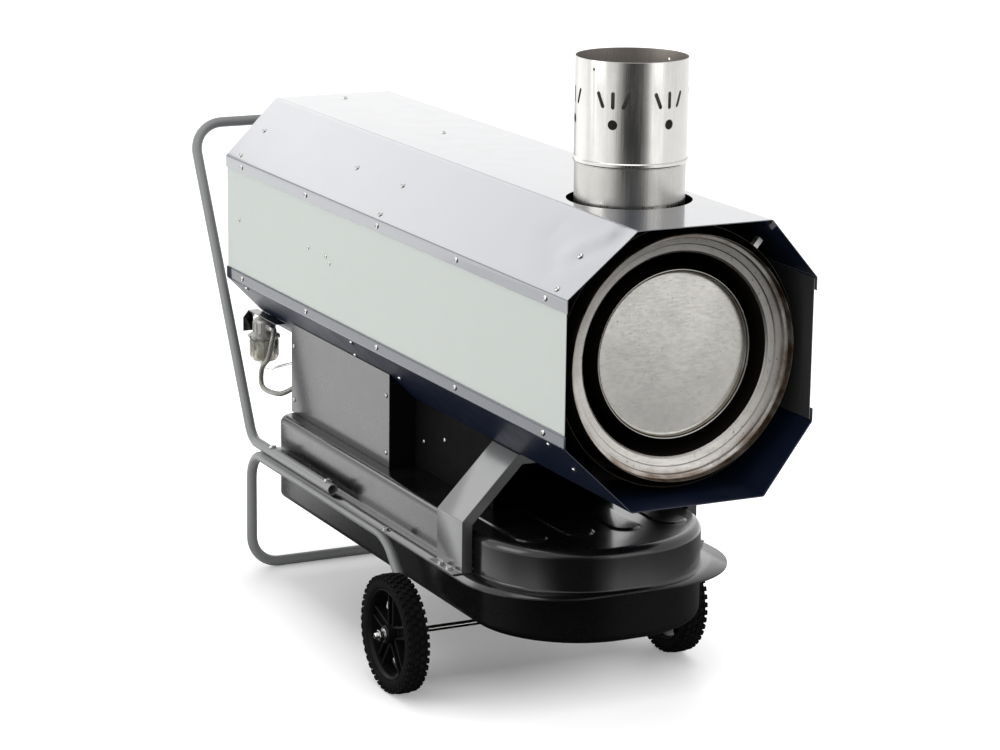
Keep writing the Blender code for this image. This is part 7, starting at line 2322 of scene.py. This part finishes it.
@dataclass
class Controls:
    """Controls on the box's rear wall."""

    skirt_drop: float = 0.016
    pointer_half: float = 0.0026
    stem: float = 0.004
    tick_angles: tuple[int, ...] = (-60, -20, 20, 60)
    panel_step: float = 0.003

    def build(self) -> None:
        """Make and dress the controls."""
        dress_node("control_panel", 0.0008, BLACK_PLASTIC)
        self.knob()
        dress(self.round_piece("pilot_lamp", 0.0014), GREEN, "pilot_lamp")
        dress(self.round_piece("thermostat_socket", 0.0008), BLACK_PLASTIC, "thermostat_socket")
        dress(self.round_piece("reset_button", 0.0010), RED, "reset_button", body="reset")
        dress_node("cable_gland", 0.0010, BLACK_PLASTIC)

    def round_piece(self, node: str, edge: float) -> Piece:
        """Finely turned version of a small round control.

        Args:
            node: the CAD node.
            edge: radius on its corners.

        Returns:
            The turned piece.
        """
        low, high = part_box(node)
        radius = (high.z - low.z) / 2
        depth = high.y - low.y
        middle = (low + high) / 2
        centre = (middle.x, low.y, middle.z)
        profiles = {
            "pilot_lamp": [(0.0, depth), (radius * 0.6, depth * 0.92), (radius, depth * 0.45), (radius, 0.0),
                           (0.0, 0.0)],
            "thermostat_socket": [(radius, depth), (radius, 0.0), (0.0, 0.0), (0.0, 0.003),
                                  (radius - 0.003, 0.003), (radius - 0.003, depth)],
            "reset_button": [(0.0, depth), (radius, depth), (radius, depth - 0.008),
                             (self.stem, depth - 0.008), (self.stem, 0.0), (0.0, 0.0)],
        }
        return turned(node + "_skin", profiles[node], Axis.Y, centre, 48, edge=edge,
                      closed=node == "thermostat_socket")

    def knob(self) -> None:
        """Selector knob with a plain skirt and a pointer, and its plain scale of ticks."""
        low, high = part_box("selector_knob")
        middle = (low + high) / 2
        radius = (high.z - low.z) / 2
        face = high.y - self.skirt_drop
        centre = (middle.x, face, middle.z)
        line = [(0.0, 0.008), (radius * 0.92, 0.008), (radius * 0.98, 0.0), (self.stem, 0.0),
                (self.stem, low.y - face), (0.0, low.y - face)]
        skirt = turned("selector_knob_skin", line, Axis.Y, centre, 64, edge=0.0010)
        reach = Vector((self.pointer_half, 0.0, radius * 0.86))
        low_end, high_end = Vector((middle.x, face + 0.006, middle.z)), Vector((middle.x, high.y, middle.z))
        grip = rounded_block("grip", low_end - reach, high_end + reach, 0.0012)
        dress(joined(skirt, grip), BLACK_PLASTIC, "selector_knob", body="selector")
        ticks = bmesh.new()
        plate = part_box("control_panel")[0].y + self.panel_step
        for angle in self.tick_angles:
            turn = Matrix.Rotation(math.radians(angle), 4, "Y")
            tick = block((-0.0007, 0.0, radius + 0.003), (0.0007, 0.0003, radius + 0.008))
            append_shape(ticks, tick, Matrix.Translation((middle.x, plate, middle.z)) @ turn)
        dress(new_object("scale_ticks", ticks), PANEL, slot="panel_grey")

def dress_hidden_nodes() -> None:
    """Give every CAD node that still shows the material of its slot."""
    for name, node in frame["nodes"].items():
        if node.hide_render:
            continue
        node.data.materials.clear()
        node.data.materials.append(material_of(BY_SLOT[SLOTS[name]]))
        LOG.info("%s: kept from the frame", name)


LAMPS = (
    ("back_softbox", (-1.3, 4.4, 3.2), (4.2, 1.6), 1.62),
    ("rear_right_softbox", (2.4, 4.4, 1.85), (3.4, 1.7), 0.35),
    ("low_softbox", (-2.2, 3.0, 0.60), (3.2, 1.1), 0.45),
    ("top_softbox", (-0.4, -0.4, 4.2), (3.0, 3.0), 1.4),
    ("left_softbox", (-4.2, 0.2, 2.2), (2.6, 2.6), 2.6),
    ("front_fill", (2.0, -5.2, 1.4), (2.5, 1.6), 0.9),
)


@dataclass
class Studio:
    """Floor, lamps, world and the camera at the photograph's angle."""

    camera_place: Triple = (-2.6872, -5.4999, 2.0230)
    yaw: float = math.radians(26.541)
    pitch: float = math.radians(-13.695)
    roll: float = math.radians(0.743)
    lens: float = 113.25
    sensor: float = 36.0
    floor_size: float = 60.0
    dark_side: Triple = (-0.38, -0.925, 0.0)
    # Box where the floor's glow fades: painted shadow under the heater.
    footprint: Triple = (0.20, 0.35, 1.0)
    footprint_middle: Triple = (0.0, -0.10, 0.0)
    dark_span: tuple[float, ...] = (0.80, 0.97, 1.0, 0.07)
    shadow_span: tuple[float, ...] = (0.0, 0.30, 0.06, 0.62)
    mirror_run: tuple[float, ...] = (-0.5, 0.8, 3.4, 0.8)
    mirror_levels: Point = (0.82, 0.05)
    daylight: float = 0.62
    aim: Triple = (0.0, 0.0, 0.7)

    def camera(self) -> None:
        """Aim the camera as the photograph was taken."""
        data = bpy.data.cameras.new("camera")
        data.lens = self.lens
        data.sensor_width = self.sensor
        data.clip_end = 200.0
        item = linked("camera", data)
        ahead = Vector((math.sin(self.yaw) * math.cos(self.pitch), math.cos(self.yaw) * math.cos(self.pitch),
                        math.sin(self.pitch)))
        turn = ahead.to_track_quat("-Z", "Y").to_matrix().to_4x4()
        item.matrix_world = Matrix.Translation(self.camera_place) @ turn @ Matrix.Rotation(self.roll, 4, "Z")
        bpy.context.scene.camera = item

    def lamp(self, name: str, place: Triple, size: Point, radiance: float) -> None:
        """Rectangular soft lamp that looks at the heater.

        Args:
            name: the lamp's name.
            place: where it hangs.
            size: width and height.
            radiance: brightness of its face, where 1 is white.
        """
        data = bpy.data.lights.new(name, "AREA")
        data.shape = "RECTANGLE"
        data.size, data.size_y = size
        data.energy = radiance * math.pi * size[0] * size[1]
        item = linked(name, data)
        item.location = place
        item.rotation_mode = "QUATERNION"
        item.rotation_quaternion = (Vector(self.aim) - Vector(place)).to_track_quat("-Z", "Y")
        item.visible_camera = False

    def mirrored(self, rays: bpy.types.NodeOutputs, graph: Graph) -> Socket:
        """Mask of the rays that show the surroundings in metal, gloss and glass."""
        return graph.math("MAXIMUM", rays["Is Glossy Ray"], rays["Is Transmission Ray"])

    def open_side(self, graph: Graph, aim: Socket) -> Socket:
        """Brightness of the surroundings in a direction: dark only on the camera's side."""
        return graph.span(graph.measure("DOT_PRODUCT", aim, self.dark_side), *self.dark_span)

    def floor(self) -> None:
        """Pale floor that keeps the object's shadow and glows white further off; the glow fades within the
        heater's footprint, a painted shadow, and in reflections the floor glows behind the heater and shows
        black on the camera's side, a painted reflection.
        """
        shape = bmesh.new()
        bmesh.ops.create_grid(shape, x_segments=1, y_segments=1, size=self.floor_size / 2)
        item = new_object("floor", shape)
        paint = bpy.data.materials.new("floor")
        paint.use_nodes = True
        graph = Graph(paint.node_tree)
        place = graph.place()
        stain = graph.span(graph.noise(1.3, 3.0), 0.3, 0.7, 0.86, 0.90)
        tone = graph.add("ShaderNodeCombineColor", {0: stain, 1: stain, 2: stain}).outputs[0]
        base = graph.add("ShaderNodeBsdfPrincipled", {"Base Color": tone, "Roughness": 0.5})
        away = graph.vector("ABSOLUTE", graph.vector("ADD", place, self.footprint_middle))
        beyond = graph.vector("MAXIMUM", graph.vector("SUBTRACT", away, self.footprint), (0.0, 0.0, 0.0))
        reach = graph.measure("LENGTH", beyond)
        rays = graph.add("ShaderNodeLightPath").outputs
        mirror = self.mirrored(rays, graph)
        along = graph.add("ShaderNodeSeparateXYZ", {0: place}).outputs["Y"]
        share = graph.span(graph.math("DIVIDE", reach, graph.span(along, *self.mirror_run)), 0.0, 1.0)
        level = graph.math("MULTIPLY_ADD", graph.product(share, share), *self.mirror_levels)
        # Reflection rays see the floor glow behind the heater: a painted reflection of a bright studio.
        rear = graph.product(self.open_side(graph, graph.vector("NORMALIZE", place)), level)
        # Camera rays see a glow that fades within the heater's footprint: a painted shadow added to the real
        # one.
        plain = graph.product(rays["Is Camera Ray"], graph.span(reach, *self.shadow_span))
        shown = graph.math("ADD", plain, graph.product(mirror, rear))
        glow = graph.add("ShaderNodeEmission", {"Color": (1.0, 1.0, 1.0, 1.0), "Strength": shown})
        both = graph.add("ShaderNodeAddShader", {0: base.outputs[0], 1: glow.outputs[0]})
        dark = graph.add("ShaderNodeEmission", {"Color": (0.0, 0.0, 0.0, 1.0)})
        # Elsewhere reflection rays see black: a painted dark reflection on the camera's side.
        hidden = graph.product(mirror, graph.math("SUBTRACT", 1.0, rear))
        mixed = graph.add("ShaderNodeMixShader", {0: hidden, 1: both.outputs[0], 2: dark.outputs[0]})
        out = graph.add("ShaderNodeOutputMaterial")
        graph.feed(out.inputs["Surface"], mixed.outputs[0])
        item.data.materials.append(paint)

    def world(self) -> None:
        """White world, plain for diffuse light and dark behind the camera for reflections."""
        world = bpy.data.worlds.new("studio")
        world.use_nodes = True
        graph = Graph(world.node_tree)
        rays = graph.add("ShaderNodeLightPath").outputs
        mirror = self.mirrored(rays, graph)
        shown = graph.product(self.open_side(graph, graph.place("Generated")), mirror)
        diffuse = graph.product(graph.math("SUBTRACT", 1.0, mirror), self.daylight)
        strength = graph.math("MAXIMUM", graph.math("ADD", shown, diffuse), rays["Is Camera Ray"])
        back = graph.add("ShaderNodeBackground", {"Color": (1.0, 1.0, 1.0, 1.0), "Strength": strength})
        out = graph.add("ShaderNodeOutputWorld")
        graph.feed(out.inputs["Surface"], back.outputs[0])
        bpy.context.scene.world = world

    def build(self) -> None:
        """Set up the studio."""
        self.camera()
        self.floor()
        self.world()
        for name, place, size, radiance in LAMPS:
            self.lamp(name, place, size, radiance)
        bpy.context.scene.view_settings.view_transform = "Standard"


def main() -> None:
    """Build the studio and every sub-assembly."""
    logging.basicConfig(level=logging.INFO, format="%(name)s %(message)s")
    Studio().build()
    Casing().build()
    HotEnd().build()
    Tank().build()
    Underside().build()
    Trolley().build()
    for side in ("left", "right"):
        Wheel(side).build()
    FuelFilter().build()
    AirEnd().build()
    Controls().build()
    dress_hidden_nodes()


if __name__ == "__main__":
    main()
